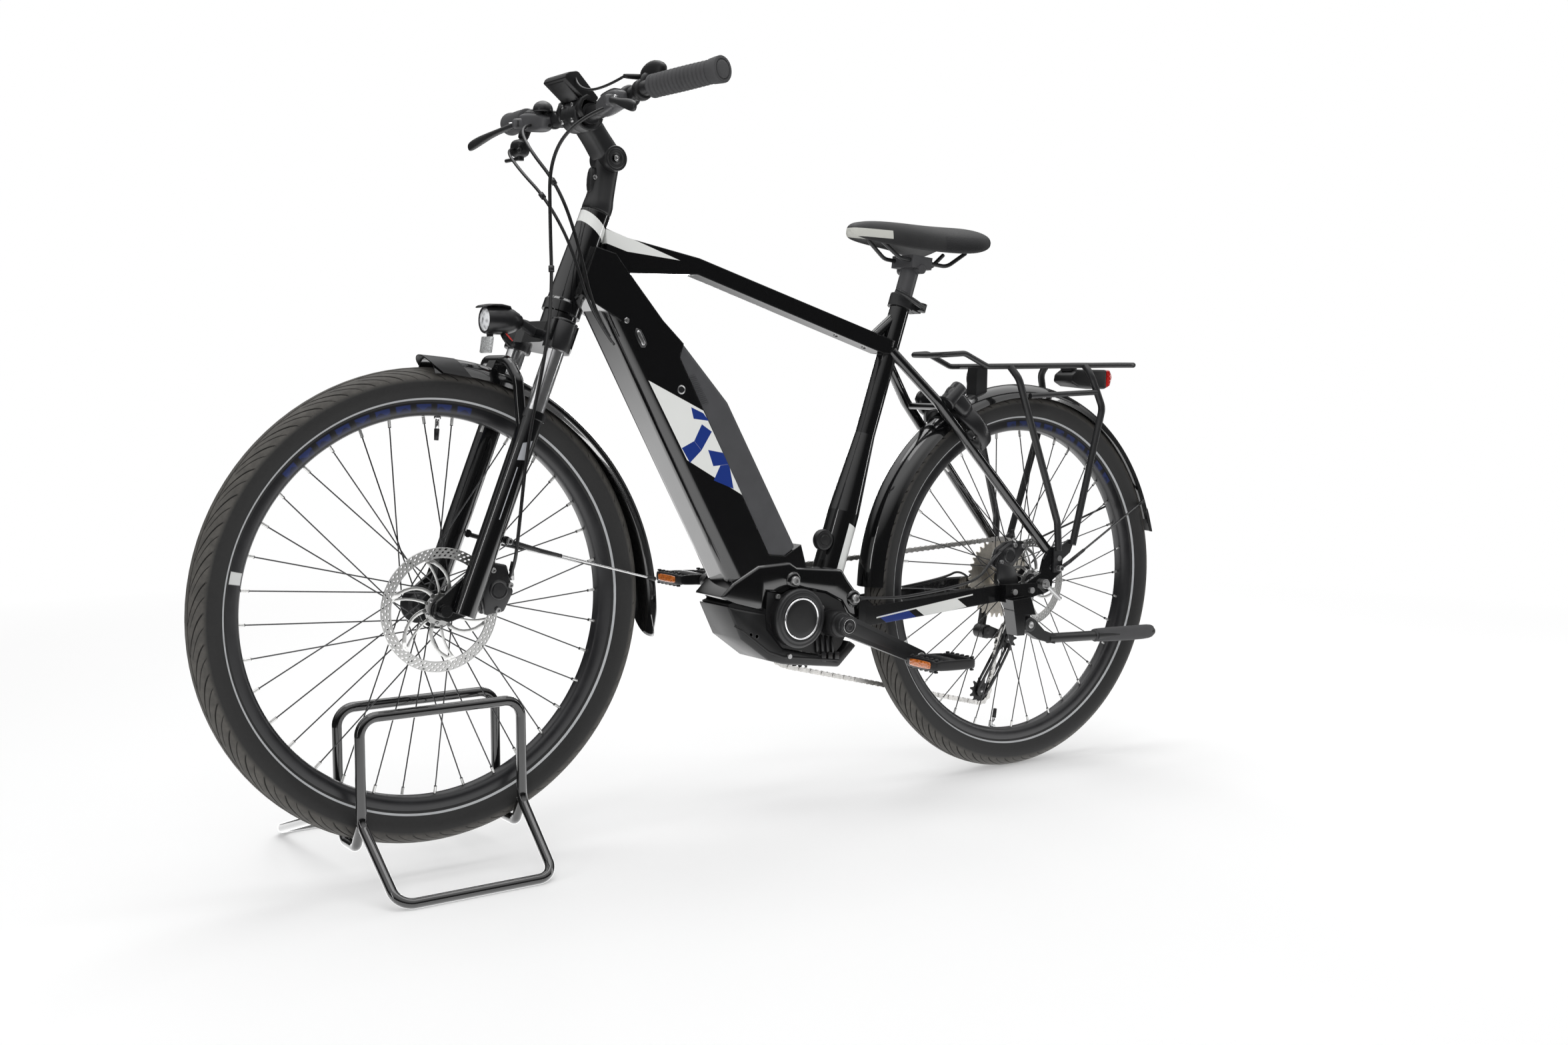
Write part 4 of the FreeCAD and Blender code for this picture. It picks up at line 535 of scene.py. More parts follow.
# ---------------------------------------------------------------- finishes
WHITE: Colour = (0.78, 0.79, 0.77)
BLUE: Colour = (0.012, 0.035, 0.21)
LEG_GREY: Colour = (0.35, 0.36, 0.38)


class Finish:
    """A finish that makes its material once."""

    made: dict[Any, bpy.types.Material] = {}

    def material(self) -> bpy.types.Material:
        """The finish's material, made at the first call."""
        if self not in Finish.made:
            Finish.made[self] = self.build()
        return Finish.made[self]

    def build(self) -> bpy.types.Material:
        """Make the material; each finish has its own."""
        raise NotImplementedError


class Art(Enum):
    """The plain painted shapes that a tube may carry, each with the place it is drawn in."""

    NONE = ("none", "")
    DOWN_TUBE = ("down tube", "down")
    TOP_TUBE = ("top tube", "bike")
    SEAT_TUBE = ("seat tube", "seat")
    CHAIN_STAY = ("chain stay", "bike")
    FORK_LEG = ("fork leg", "steer")


@dataclass(frozen=True)
class Lacquer(Finish):
    """Deep black lacquer under clear coat, with painted shapes on it."""

    name: str = "black_lacquer"
    art: Art = Art.NONE
    edge: float = 1.6
    black: Colour = (0.0035, 0.0036, 0.004)

    def shapes(self, net: Net) -> list[tuple[Signal, Colour]]:
        """The painted shapes, each a mask and a colour, from the lowest layer up.

        Args:
            net: The material's nodes.

        Returns:
            The masks and colours.
        """
        if self.art is Art.NONE:
            return []
        x, y, z = net.axes(PLACES[self.art.value[1]])
        if self.art is Art.DOWN_TUBE:
            ahead, _, up = net.axes(PLACES["steer"])
            band = (up + ahead * 0.42).between(134, 152) & ahead.below(30)
            panel = net.shape(x, z, [(16.7, 369.6), (82.8, 280.3), (84.2, 125.2),
                                     (19.5, 226.9)])
            bars = net.shape(x, z, [(65.3, 296.4), (80.8, 277.1), (84.5, 261.1), (60.8, 278.1)])
            for corners in ([(19.9, 248.3), (45.2, 246.7), (50.2, 227.0), (22.2, 220.4)],
                            [(45.2, 246.7), (70.2, 263.1), (81.1, 243.6), (50.2, 227.0)],
                            [(61.3, 221.6), (86.0, 201.9), (85.5, 181.6), (57.7, 194.0)],
                            [(69.9, 188.4), (85.5, 181.6), (74.2, 142.5), (47.8, 173.7)]):
                bars = bars | net.shape(x, z, corners)
            sides = y.size().above(36)
            return [(band, WHITE), (panel & sides, WHITE), (bars & sides, BLUE)]
        if self.art is Art.TOP_TUBE:
            wedge = net.shape(x, z, [(-900, 572), (-900, 548), (-855, 536), (-700, 526),
                                     (-860, 560)])
            return [(wedge & x.above(-899), WHITE)]
        if self.art is Art.SEAT_TUBE:
            patch = net.shape(x, z, [(-2, 172), (30, 166), (30, 92), (-2, 84)])
            return [(patch & y.below(0), WHITE)]
        if self.art is Art.CHAIN_STAY:
            lane = z - x * 0.158 - 22.0
            slant = x + lane * 1.2
            white = lane.between(-31, -12) & slant.between(-300, -210)
            blue = lane.between(-33, -10) & slant.between(-376, -316)
            stripe = lane.between(-13, -10.5) & x.between(-368, -160)
            return [(blue & y.below(0), BLUE), ((white | stripe) & y.below(0), WHITE)]
        leg = net.shape(x, z, [(-27, -214), (-14, -206), (-14, -236), (-27, -240)])
        slim = x.between(-24, -22.6) & z.between(-330, -250)
        return [((leg | slim) & y.below(-60), LEG_GREY)]

    def build(self) -> bpy.types.Material:
        """Black, the painted shapes, a faint ripple in the coat and dust in its gloss."""
        net = Net(self.name)
        colour: Any = (*self.black, 1.0)
        for mask, paint in self.shapes(net):
            colour = net.blend(mask, colour, paint)
        dust = net.noise(38.0, 5.0, 0.65)
        normal = net.bump(net.noise(90.0, 1.0), 0.02, 0.02, net.rounded(self.edge))
        return net.surface(Base_Color=colour, Roughness=0.14 + dust * 0.06,
                           Specular_IOR_Level=0.3, Coat_Weight=0.85 + dust * 0.15,
                           Coat_Roughness=0.03, Normal=normal)


@dataclass(frozen=True)
class Moulded(Finish):
    """Moulded plastic or painted metal with a fine grain and worn edges."""

    name: str
    colour: Colour
    rough: float = 0.5
    grain: float = 900.0
    depth: float = 0.12
    edge: float = 0.9
    shine: float = 0.4

    def build(self) -> bpy.types.Material:
        """A grained surface whose colour and gloss wander a little."""
        net = Net(self.name)
        cloud = net.noise(26.0, 4.0, 0.6)
        dark = tuple(part * 0.78 for part in self.colour)
        light = tuple(part * 1.25 + 0.0015 for part in self.colour)
        normal = net.bump(net.noise(self.grain, 2.0), 0.25, self.depth, net.rounded(self.edge))
        return net.surface(Base_Color=net.blend(cloud, dark, light),
                           Roughness=(self.rough - 0.06) + cloud * 0.12,
                           Specular_IOR_Level=self.shine, Normal=normal)


@dataclass(frozen=True)
class TyreRubber(Finish):
    """Black rubber with dust in the tread, painted shade in the floors of its cuts, and a pale reflecting line on each
    side.
    """

    name: str
    axle: str

    def build(self) -> bpy.types.Material:
        """Tread, side wall and reflecting line by the distance from the axle."""
        net = Net(self.name)
        radius, _, y = net.polar(self.axle)
        line = radius.between(300.6, 303.4)
        tread = radius.above(329, 6)
        uncut = (756.0 - y * y).root() + 319.5  # the radius of the tread's blocks
        shaded_cut_floor = (uncut - radius).above(1.3, 0.5) & radius.above(331, 1.0)
        dust = net.noise(60.0, 6.0, 0.7)
        scuff = net.noise(240.0, 4.0, 0.65)
        rubber = net.blend(scuff, (0.0105, 0.0105, 0.011), (0.025, 0.0247, 0.0243))
        worn = net.blend(dust, (0.04, 0.0385, 0.036), (0.13, 0.122, 0.11))
        colour = net.blend(tread * (0.55 + dust * 0.45), rubber, worn)
        # painted shade: the floors of the tread's cuts are darkened below the rubber's own colour, as if in shadow
        colour = net.blend(shaded_cut_floor * 0.9, colour, (0.006, 0.0055, 0.005))
        colour = net.blend(line, colour, (0.46, 0.47, 0.48))
        moulding = ((radius * 1.9).sine() * 0.5 + 0.5) * radius.below(312, 3)
        threads = net.noise(1400.0, 2.0)
        normal = net.bump(moulding * 0.35 + threads * 0.5, 0.35, 0.25)
        return net.surface(Base_Color=colour, Roughness=0.62 + scuff * 0.2 - line * 0.2,
                           Specular_IOR_Level=0.35, Normal=normal)


@dataclass(frozen=True)
class RimAnodised(Finish):
    """Black rim with faint blue blocks along one arc and a foil patch."""

    name: str
    axle: str
    blocks_from: float
    foil_at: float

    def build(self) -> bpy.types.Material:
        """The arc of blocks and the foil by the angle round the axle."""
        net = Net(self.name)
        radius, angle, y = net.polar(self.axle)
        turned, foil = (((angle - start + 720.0) / 360.0).part() * 360.0
                        for start in (self.blocks_from, self.foil_at))
        lane = (turned / 6.2).part()
        block = turned.between(0, 62, 0.4) & lane.between(0.14, 0.84, 0.05) \
            & radius.between(283.5, 294.5)
        twist = ((turned * 1.7).sine() * 2.4 + radius).above(288.5, 0.8)
        patch = foil.between(0, 3.4, 0.3) & radius.between(281, 297)
        cloud = net.noise(40.0, 4.0)
        colour = net.blend(cloud, (0.006, 0.006, 0.007), (0.016, 0.016, 0.018))
        colour = net.blend(block * (0.25 + twist * 0.4), colour, (0.018, 0.034, 0.15))
        colour = net.blend(patch, colour, (0.62, 0.63, 0.62))
        lines = (y * 9.0).sine() * 0.5
        normal = net.bump(lines + net.noise(700.0), 0.12, 0.12, net.rounded(0.7))
        return net.surface(Base_Color=colour, Roughness=0.27 + cloud * 0.14,
                           Specular_IOR_Level=0.5, Normal=normal)


@dataclass(frozen=True)
class SpokeWire(Finish):
    """Dark drawn wire with a bright nipple at the rim."""

    name: str
    axle: str

    def build(self) -> bpy.types.Material:
        """Wire inside, nipple outside, by the distance from the axle."""
        net = Net(self.name)
        nipple = net.polar(self.axle)[0].above(266.5)
        cloud = net.noise(120.0)
        wire = net.blend(cloud, (0.035, 0.035, 0.037), (0.09, 0.09, 0.092))
        return net.surface(Base_Color=net.blend(nipple, wire, (0.58, 0.58, 0.57)),
                           Roughness=0.3 + cloud * 0.12, Metallic=0.85,
                           Normal=net.bump(net.noise(1500.0), 0.15, 0.1))


@dataclass(frozen=True)
class Steel(Finish):
    """Bare or plated metal, brushed round an axle or plain."""

    name: str
    colour: Colour
    axle: str = ""
    rough: float = 0.28
    edge: float = 0.4
    dirt: float = 0.25
    grain: float = 0.08

    def build(self) -> bpy.types.Material:
        """Fine brushing, with grime in patches."""
        net = Net(self.name)
        cloud = net.noise(75.0, 5.0, 0.65)
        grime = tuple(part * 0.35 for part in self.colour)
        colour = net.blend(cloud.above(0.56, 0.25) * self.dirt, self.colour, grime)
        if self.axle:
            brush = (net.polar(self.axle)[0] * 5.0).sine() * 0.5
        else:
            brush = net.noise(1600.0, 2.0)
        normal = net.bump(brush + net.noise(420.0), 0.16, self.grain, net.rounded(self.edge))
        return net.surface(Base_Color=colour, Roughness=(self.rough - 0.05) + cloud * 0.16,
                           Metallic=0.95, Normal=normal)


@dataclass(frozen=True)
class DiscSteel(Finish):
    """A brake disc's steel, with rows of short slots through its rim."""

    name: str
    axle: str
    inner: float

    def build(self) -> bpy.types.Material:
        """Three rows of slots, out of step, by the angle round the axle."""
        net = Net(self.name)
        radius, angle, _ = net.polar(self.axle)
        slots: Any = None
        for row, start in enumerate((2.5, 6.8, 11.1)):
            low = self.inner + start
            step = ((angle + 360.0 + row * 3.1 + (radius - low) * 0.5) / 6.0).part()
            cut = step.between(0.2, 0.62, 0.03) & radius.between(low, low + 2.5, 0.2)
            slots = cut if slots is None else slots | cut
        cloud = net.noise(75.0, 5.0, 0.65)
        normal = net.bump((radius * 5.0).sine() * 0.5, 0.16, 0.08, net.rounded(0.3))
        return net.surface(Base_Color=net.blend(cloud * 0.3, (0.62, 0.62, 0.61),
                                                (0.4, 0.4, 0.39)),
                           Roughness=0.26 + cloud * 0.14, Metallic=0.95,
                           Alpha=1.0 - slots, Normal=normal)


@dataclass(frozen=True)
class Leatherette(Finish):
    """The saddle's black cover with its pale inlay along the nose and its dark skirt."""

    name: str = "saddle_cover_finish"

    def build(self) -> bpy.types.Material:
        """A grained cover; the inlay follows the saddle's own outline."""
        net = Net(self.name)
        x, _, z = net.axes(PLACES["perch"])
        cloud = net.noise(34.0, 4.0)
        skirt = z.below(56, 1.0) & x.above(30)
        nose = z.between(46, 60, 0.6) & x.below(-62)
        cover = net.blend(cloud, (0.012, 0.012, 0.0125), (0.026, 0.026, 0.027))
        colour = net.blend(nose * 0.95, cover, (0.56, 0.56, 0.52))
        colour = net.blend(skirt, colour, (0.011, 0.011, 0.012))
        return net.surface(Base_Color=colour, Roughness=0.48 + cloud * 0.14,
                           Specular_IOR_Level=0.4, Normal=net.bump(net.cells(620.0), 0.4, 0.5))


@dataclass(frozen=True)
class Lens(Finish):
    """A clear or tinted lens with moulded facets behind its face."""

    name: str
    colour: Colour
    facets: float = 240.0

    def build(self) -> bpy.types.Material:
        """Tinted plastic whose facets catch the light."""
        net = Net(self.name)
        facet = net.cells(self.facets)
        colour = net.blend(facet.above(0.35, 0.5), tuple(c * 0.45 for c in self.colour),
                           self.colour)
        return net.surface(Base_Color=colour, Roughness=0.1 + facet * 0.1,
                           Specular_IOR_Level=0.6, Coat_Weight=1.0, Coat_Roughness=0.02,
                           Normal=net.bump(facet, 0.7, 0.8))


PLACES: dict[str, Place] = Layout().places()

GLOSS = Lacquer()
GUARD = Lacquer("guard_lacquer", Art.NONE, 0.6)
POWDER = Lacquer("stand_lacquer", Art.NONE, 1.0, (0.004, 0.004, 0.0042))
SATIN = Moulded("satin_black_finish", (0.015, 0.0152, 0.016), 0.38, 700.0, 0.08, 1.2)
PLASTIC = Moulded("dark_plastic_finish", (0.0085, 0.0085, 0.009), 0.42, 900.0, 0.14, 0.9, 0.32)
SHELL = Moulded("battery_cover_finish", (0.052, 0.0525, 0.056), 0.6, 1200.0, 0.16, 1.4)
GRIP = Moulded("grip_rubber_finish", (0.056, 0.056, 0.058), 0.72, 1100.0, 0.2, 0.5, 0.3)
CABLE = Moulded("cable_sheath_finish", (0.009, 0.009, 0.0095), 0.3, 1500.0, 0.05, 0.3)
LAMP = Moulded("lamp_black_finish", (0.013, 0.013, 0.014), 0.3, 900.0, 0.06, 0.8)
ALLOY = Moulded("grey_alloy_finish", (0.06, 0.06, 0.063), 0.4, 700.0, 0.08, 1.0)
STANCHION = Steel("stanchion_finish", (0.74, 0.74, 0.75), "", 0.15, 0.3, 0.02, 0.004)
BOLT = Steel("bolt_steel_finish", (0.42, 0.42, 0.42), "", 0.3)
STAY_WIRE = Steel("stay_wire_finish", (0.5, 0.5, 0.5), "", 0.24)
CASSETTE = Steel("sprocket_steel_finish", (0.66, 0.62, 0.55), "bike", 0.36, 0.3, 0.4)
CHAIN = Steel("chain_steel_finish", (0.62, 0.61, 0.59), "", 0.36, 0.2, 0.4)
CHROME = Steel("chrome_finish", (0.72, 0.72, 0.73), "", 0.1, 0.5, 0.1)
FRONT_DISC = DiscSteel("front_disc_steel", "front", 75.0)
REAR_DISC = DiscSteel("rear_disc_steel", "bike", 65.0)
FRONT_RUBBER = TyreRubber("front_tyre_rubber", "front")
REAR_RUBBER = TyreRubber("rear_tyre_rubber", "bike")
FRONT_RIM = RimAnodised("front_rim_anodised", "front", 78.0, 168.0)
REAR_RIM = RimAnodised("rear_rim_anodised", "bike", 38.0, 200.0)
AMBER = Lens("amber_reflector_finish", (0.6, 0.15, 0.014))
RED = Lens("red_reflector_finish", (0.55, 0.012, 0.008))
SADDLE_COVER = Leatherette()
WHITE_LENS = Lens("white_reflector_finish", (0.55, 0.56, 0.56), 420.0)
CLEAR = Lens("clear_lens_finish", (0.82, 0.83, 0.85), 150.0)

NODE_FINISHES: tuple[tuple[Finish, str], ...] = (
    (GLOSS, "seat_stays motor_cradle kickstand_mount fork_uppers"),
    (SATIN, "cranks stem_base stem_arm handlebar seat_clamp seat_clamp_lever brake_lever_left "
            "brake_lever_right front_hub rear_hub saddle_rails rack"),
    (Lacquer("down_tube_lacquer", Art.DOWN_TUBE, 3.0), "down_tube"),
    (Lacquer("top_tube_lacquer", Art.TOP_TUBE, 3.0), "top_tube"),
    (Lacquer("seat_tube_lacquer", Art.SEAT_TUBE), "seat_tube"),
    (Lacquer("chain_stay_lacquer", Art.CHAIN_STAY, 2.4), "chain_stays"),
    (Lacquer("fork_leg_lacquer", Art.FORK_LEG), "fork_lowers"),
    (SHELL, "battery"), (GRIP, "grips"), (POWDER, "stand"),
    (GUARD, "front_mudguard rear_mudguard"), (ALLOY, "seatpost"),
    (FRONT_RUBBER, "front_tyre"), (REAR_RUBBER, "rear_tyre"),
    (FRONT_RIM, "front_rim"), (REAR_RIM, "rear_rim"),
    (SpokeWire("front_spoke_wire", "front"), "front_spokes"),
    (SpokeWire("rear_spoke_wire", "bike"), "rear_spokes"),
    (FRONT_DISC, "front_rotor"), (REAR_DISC, "rear_rotor"), (CASSETTE, "cassette"),
    (CHAIN, "chain"), (SADDLE_COVER, "saddle"), (CHROME, "lock_shackle"),
    (BOLT, "frame_fasteners"), (CABLE, "frame_cables steering_cables"))


def dress_nodes() -> None:
    """Give every carried-over node its finish; those not listed are of dark plastic."""
    table = {name: finish for finish, names in NODE_FINISHES for name in names.split()}
    for name, item in frame["nodes"].items():
        Bench.finish(item, table.get(name, PLASTIC))


# ---------------------------------------------------------------- making pieces
class Bench:
    """Makes meshes and curves, and fixes each piece on its body."""

    @staticmethod
    def mesh(name: str, points: Iterable[Vector], faces: Iterable[Sequence[int]],
             smooth: bool = True) -> Item:
        """A mesh object from points in metres and faces.

        Args:
            name: The piece's name.
            points: Its corners in the object's frame.
            faces: Its faces, by the corners' numbers.
            smooth: Whether its faces are shaded smooth.

        Returns:
            The object, linked to the scene.
        """
        data = bpy.data.meshes.new(name)
        data.from_pydata([tuple(point) for point in points], [], [tuple(f) for f in faces])
        data.validate()
        data.update()
        for polygon in data.polygons:
            polygon.use_smooth = smooth
        return Bench.placed(bpy.data.objects.new(name, data))

    @staticmethod
    def placed(item: Item) -> Item:
        """Link an object to the scene."""
        bpy.context.scene.collection.objects.link(item)
        return item

    @staticmethod
    def loft(name: str, rings: Sequence[Sequence[Vector]], closed: bool = False,
             wrap: bool = True) -> Item:
        """A skin over rings of points, with its ends filled if it has ends.

        Args:
            name: The piece's name.
            rings: The rings in order, each with as many points.
            closed: Whether the last ring joins the first.
            wrap: Whether each ring is closed.

        Returns:
            The object.
        """
        count = len(rings[0])
        faces: list[tuple[int, ...]] = []
        for index in range(len(rings) if closed else len(rings) - 1):
            here, after = index * count, ((index + 1) % len(rings)) * count
            for step in range(count if wrap else count - 1):
                follow = (step + 1) % count
                faces.append((here + step, here + follow, after + follow, after + step))
        if not closed:
            faces.append(tuple(range(count - 1, -1, -1)))
            last = (len(rings) - 1) * count
            faces.append(tuple(range(last, last + count)))
        return Bench.outward(Bench.mesh(name, [point for ring in rings for point in ring],
                                        faces))

    @staticmethod
    def outward(item: Item) -> Item:
        """Turn a mesh's faces outwards."""
        work = bmesh.new()
        work.from_mesh(item.data)
        bmesh.ops.recalc_face_normals(work, faces=work.faces)
        work.to_mesh(item.data)
        work.free()
        return item

    @staticmethod
    def creased(item: Item, angle: float) -> Item:
        """Shade a mesh's edges sharp where its faces meet at more than an angle in degrees."""
        item.data.set_sharp_from_angle(angle=math.radians(angle))
        return item

    @staticmethod
    def subdivided(item: Item, levels: int = 1) -> Item:
        """Subdivide a mesh smoothly when it is shown."""
        modifier = item.modifiers.new("smooth", "SUBSURF")
        modifier.levels = modifier.render_levels = levels
        return item

    @staticmethod
    def lathe(name: str, place: Place, profile: Sequence[Spot], about: str = "y",
              steps: int = 96, closed: bool = True) -> Item:
        """A turned piece: (along, radius) points swung about an axis of a place.

        Args:
            name: The piece's name.
            place: The place whose axis it turns about.
            profile: Points as (along the axis, radius), in millimetres.
            about: The axis, "x", "y" or "z".
            steps: How many steps the turn has.
            closed: Whether the profile's last point joins its first.

        Returns:
            The object.
        """
        rings = []
        for c, s in circle(steps):
            spots = {"x": lambda a, r: (a, r * c, r * s), "y": lambda a, r: (r * c, a, r * s),
                     "z": lambda a, r: (r * c, r * s, a)}[about]
            rings.append([place.point(*spots(a, r)) for a, r in profile])
        return Bench.loft(name, rings, True, closed)

    @staticmethod
    def plate(name: str, place: Place, low: float, high: float, outline: Sequence[Spot],
              ease: float, segments: int) -> Item:
        """A side-view outline (x, z) made thick along y, with its edges eased.

        Args:
            name: The piece's name.
            place: The place that it is drawn in.
            low: Where it starts along y, in millimetres.
            high: Where it ends.
            outline: The corners.
            ease: The width of the eased edges.
            segments: How many steps the eased edges have.

        Returns:
            The object.
        """
        item = Bench.loft(name, [[place.point(x, y, z) for x, z in outline]
                                 for y in (low, high)])
        work = bmesh.new()
        work.from_mesh(item.data)
        edges = [edge for edge in work.edges if len(edge.link_faces) == 2
                 and edge.calc_face_angle(0.0) > math.radians(EASED_FROM)]
        bmesh.ops.bevel(work, geom=edges, offset=ease * MM, offset_type="OFFSET",
                        segments=segments, profile=0.5, affect="EDGES", clamp_overlap=True)
        for face in work.faces:
            face.smooth = True
        work.to_mesh(item.data)
        work.free()
        return Bench.creased(item, 50)

    @staticmethod
    def rod(name: str, start: Vector, end: Vector, radius: float, last: float = -1.0,
            steps: int = 20) -> Item:
        """A round bar, or a taper, between two points in metres, with eased ends."""
        far = radius if last < 0 else last
        along = end - start
        turn = along.normalized().to_track_quat("Z", "Y")
        rings = []
        for share, scale in ((0.0, 0.82), (0.012, 1.0), (0.988, 1.0), (1.0, 0.82)):
            r = (radius + (far - radius) * share) * scale * MM
            rings.append([start + along * share + turn @ Vector((r * c, r * s, 0))
                          for c, s in circle(steps)])
        return Bench.loft(name, rings)

    @staticmethod
    def limb(name: str, place: Place, stations: Sequence[Numbers], square: float = 2.4,
             steps: int = 24, up: Point = (0, 0, 1)) -> Item:
        """A rounded limb along a run of stations, subdivided when it is shown.

        Args:
            name: The piece's name.
            place: The place that it is drawn in.
            stations: (x, y, z, half width, half height) of each cross-section.
            square: How square each cross-section is; 2 is an ellipse.
            steps: How many points each cross-section has.
            up: The direction that the height is measured towards.

        Returns:
            The object.
        """
        return Bench.subdivided(Bench.loft(name, Bench.rings(place, stations, square, steps,
                                                             up)))

    @staticmethod
    def rings(place: Place, stations: Sequence[Numbers], square: float, steps: int,
              up: Point) -> list[list[Vector]]:
        """The cross-sections along a run of stations, as limb takes them."""
        spots = [place.point(*station[:3]) for station in stations]
        tall = place.axis(*up)
        rings = []
        for index, (spot, station) in enumerate(zip(spots, stations)):
            ahead = spots[min(index + 1, len(spots) - 1)] - spots[max(index - 1, 0)]
            side = ahead.normalized().cross(tall).normalized()
            rise = side.cross(ahead.normalized()).normalized()
            rings.append([spot + (side * (bulge(c, square) * station[3])
                                  + rise * (bulge(s, square) * station[4])) * MM
                          for c, s in circle(steps)])
        return rings

    @staticmethod
    def screw(name: str, place: Place, at: Point, radius: float, height: float,
              side: int = -1) -> Item:
        """A round screw head that faces along y, with a hexagonal socket.

        Args:
            name: The piece's name.
            place: The place that it is drawn in.
            at: The middle of its seat.
            radius: The head's radius in millimetres.
            height: How far it stands out.
            side: -1 to face the rider's left, 1 to face the right.

        Returns:
            The object.
        """
        x, y, z = at
        sector = math.pi / 3
        rings = []
        for r, h, hexagon in ((radius, 0.0, False), (radius, height * 0.7, False),
                              (radius * 0.86, height, False), (radius * 0.5, height, True),
                              (radius * 0.5, height * 0.35, True)):
            ring = []
            for a in (math.pi * k / 12 for k in range(24)):
                out = r / math.cos((a + sector / 2) % sector - sector / 2) if hexagon else r
                ring.append(place.point(x + out * math.cos(a), y + side * h,
                                        z + out * math.sin(a)))
            rings.append(ring)
        return Bench.creased(Bench.loft(name, rings), 40)

    @staticmethod
    def route(points: Sequence[Vector]) -> list[Vector]:
        """The smooth line that a run of control points gives, all in metres."""
        data = bpy.data.curves.new("route", "CURVE")
        data.dimensions = "3D"
        data.resolution_u = 14
        spline = data.splines.new("NURBS")
        spline.points.add(len(points) - 1)
        for spot, point in zip(spline.points, points):
            spot.co = (*point, 1.0)
        spline.order_u = 3
        spline.use_endpoint_u = True
        holder = bpy.data.objects.new("route", data)
        line = bpy.data.meshes.new_from_object(holder)
        spots = [vertex.co.copy() for vertex in line.vertices]
        bpy.data.objects.remove(holder)
        bpy.data.curves.remove(data)
        bpy.data.meshes.remove(line)
        return spots

    @staticmethod
    def pipe(name: str, line: Sequence[Vector], radius: float, steps: int = 12) -> Item:
        """A round skin along a line of points in metres, with closed ends."""
        rings = []
        side: Optional[Vector] = None
        for index, point in enumerate(line):
            ahead = line[min(index + 1, len(line) - 1)] - line[max(index - 1, 0)]
            ahead.normalize()
            if side is None:
                side = ahead.orthogonal().normalized()
            side = (side - ahead * side.dot(ahead)).normalized()
            up = ahead.cross(side)
            rings.append([point + (side * c + up * s) * radius * MM for c, s in circle(steps)])
        return Bench.loft(name, rings)

    @staticmethod
    def join(name: str, items: Sequence[Item]) -> Item:
        """Make one piece of several, each with its own finish kept."""
        if len(items) > 1:
            bpy.ops.object.select_all(action="DESELECT")
            for item in items:
                item.select_set(True)
            bpy.context.view_layer.objects.active = items[0]
            bpy.ops.object.join()
        items[0].name = name
        items[0].data.name = name
        return items[0]

    @staticmethod
    def finish(item: Item, finish: Finish) -> Item:
        """Give a piece its finish."""
        item.data.materials.clear()
        item.data.materials.append(finish.material())
        return item

    @staticmethod
    def keep(item: Item, body: Body, slot: str, *stands_for: str) -> Item:
        """Fix a piece on its body.

        Args:
            item: The piece.
            body: The body that it rides on.
            slot: The material slot that it takes its finish from.
            stands_for: The nodes that it replaces.

        Returns:
            The piece.
        """
        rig.ride(item, body.value)
        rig.slot(item, slot)
        if stands_for:
            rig.replaces(item, *stands_for)
        log.info("%s rides on %s", item.name, body.value)
        return item


class Kit:
    """A piece being put together from parts, each with its own finish."""

    def __init__(self, place: Place, limb_steps: int = 20, rod_steps: int = 28,
                 side: int = 1) -> None:
        """Start an empty piece in a place; side -1 mirrors limbs, rods and screws in y."""
        self.place = place
        self.limb_steps = limb_steps
        self.rod_steps = rod_steps
        self.side = side
        self.parts: list[Item] = []

    def add(self, finish: Finish, item: Item) -> Item:
        """Add a made part with its finish."""
        self.parts.append(Bench.finish(item, finish))
        return item

    def limb(self, finish: Finish, stations: Sequence[Numbers], square: float = 3.0,
             up: Point = (0, 0, 1), steps: int = 0) -> None:
        """Add a rounded limb along a run of stations."""
        self.add(finish, Bench.limb("limb", self.place, [
            (x, y * self.side, z, wide, high) for x, y, z, wide, high in stations], square,
            steps or self.limb_steps, up))

    def plate(self, finish: Finish, low: float, high: float, outline: Sequence[Spot],
              edge: float = 1.2, segments: int = 2) -> None:
        """Add a side-view outline made thick along y."""
        self.add(finish, Bench.plate("plate", self.place, low, high, outline, edge, segments))

    def point(self, x: float, y: float, z: float) -> Vector:
        return self.place.point(x, y * self.side, z)

    def rod(self, finish: Finish, start: Point, end: Point, radius: float, last: float = -1.0,
            steps: int = 0) -> None:
        """Add a round bar or a taper between two points."""
        self.add(finish, Bench.rod("rod", self.point(*start), self.point(*end), radius, last,
                                   steps or self.rod_steps))

    def turned(self, finish: Finish, at: Point, profile: Sequence[Spot], about: str = "y",
               sharp: float = 40.0, steps: int = 56, closed: bool = False) -> None:
        """Add a solid turned about an axis through a point, left smooth if sharp is 0."""
        x, y, z = at
        item = Bench.lathe("turned", self.place.child(x, y * self.side, z), profile, about,
                           steps, closed)
        self.add(finish, Bench.creased(item, sharp) if sharp else item)

    def screw(self, at: Point, radius: float, height: float, side: int = -1,
              finish: Optional[Finish] = None) -> None:
        """Add a round socket screw that faces left or right."""
        self.add(finish or BOLT, Bench.screw("screw", self.place, at, radius, height, side))

    def done(self, name: str, body: Body, slot: str, *stands_for: str) -> None:
        """Join the parts and fix the piece on its body."""
        Bench.keep(Bench.join(name, self.parts), body, slot, *stands_for)


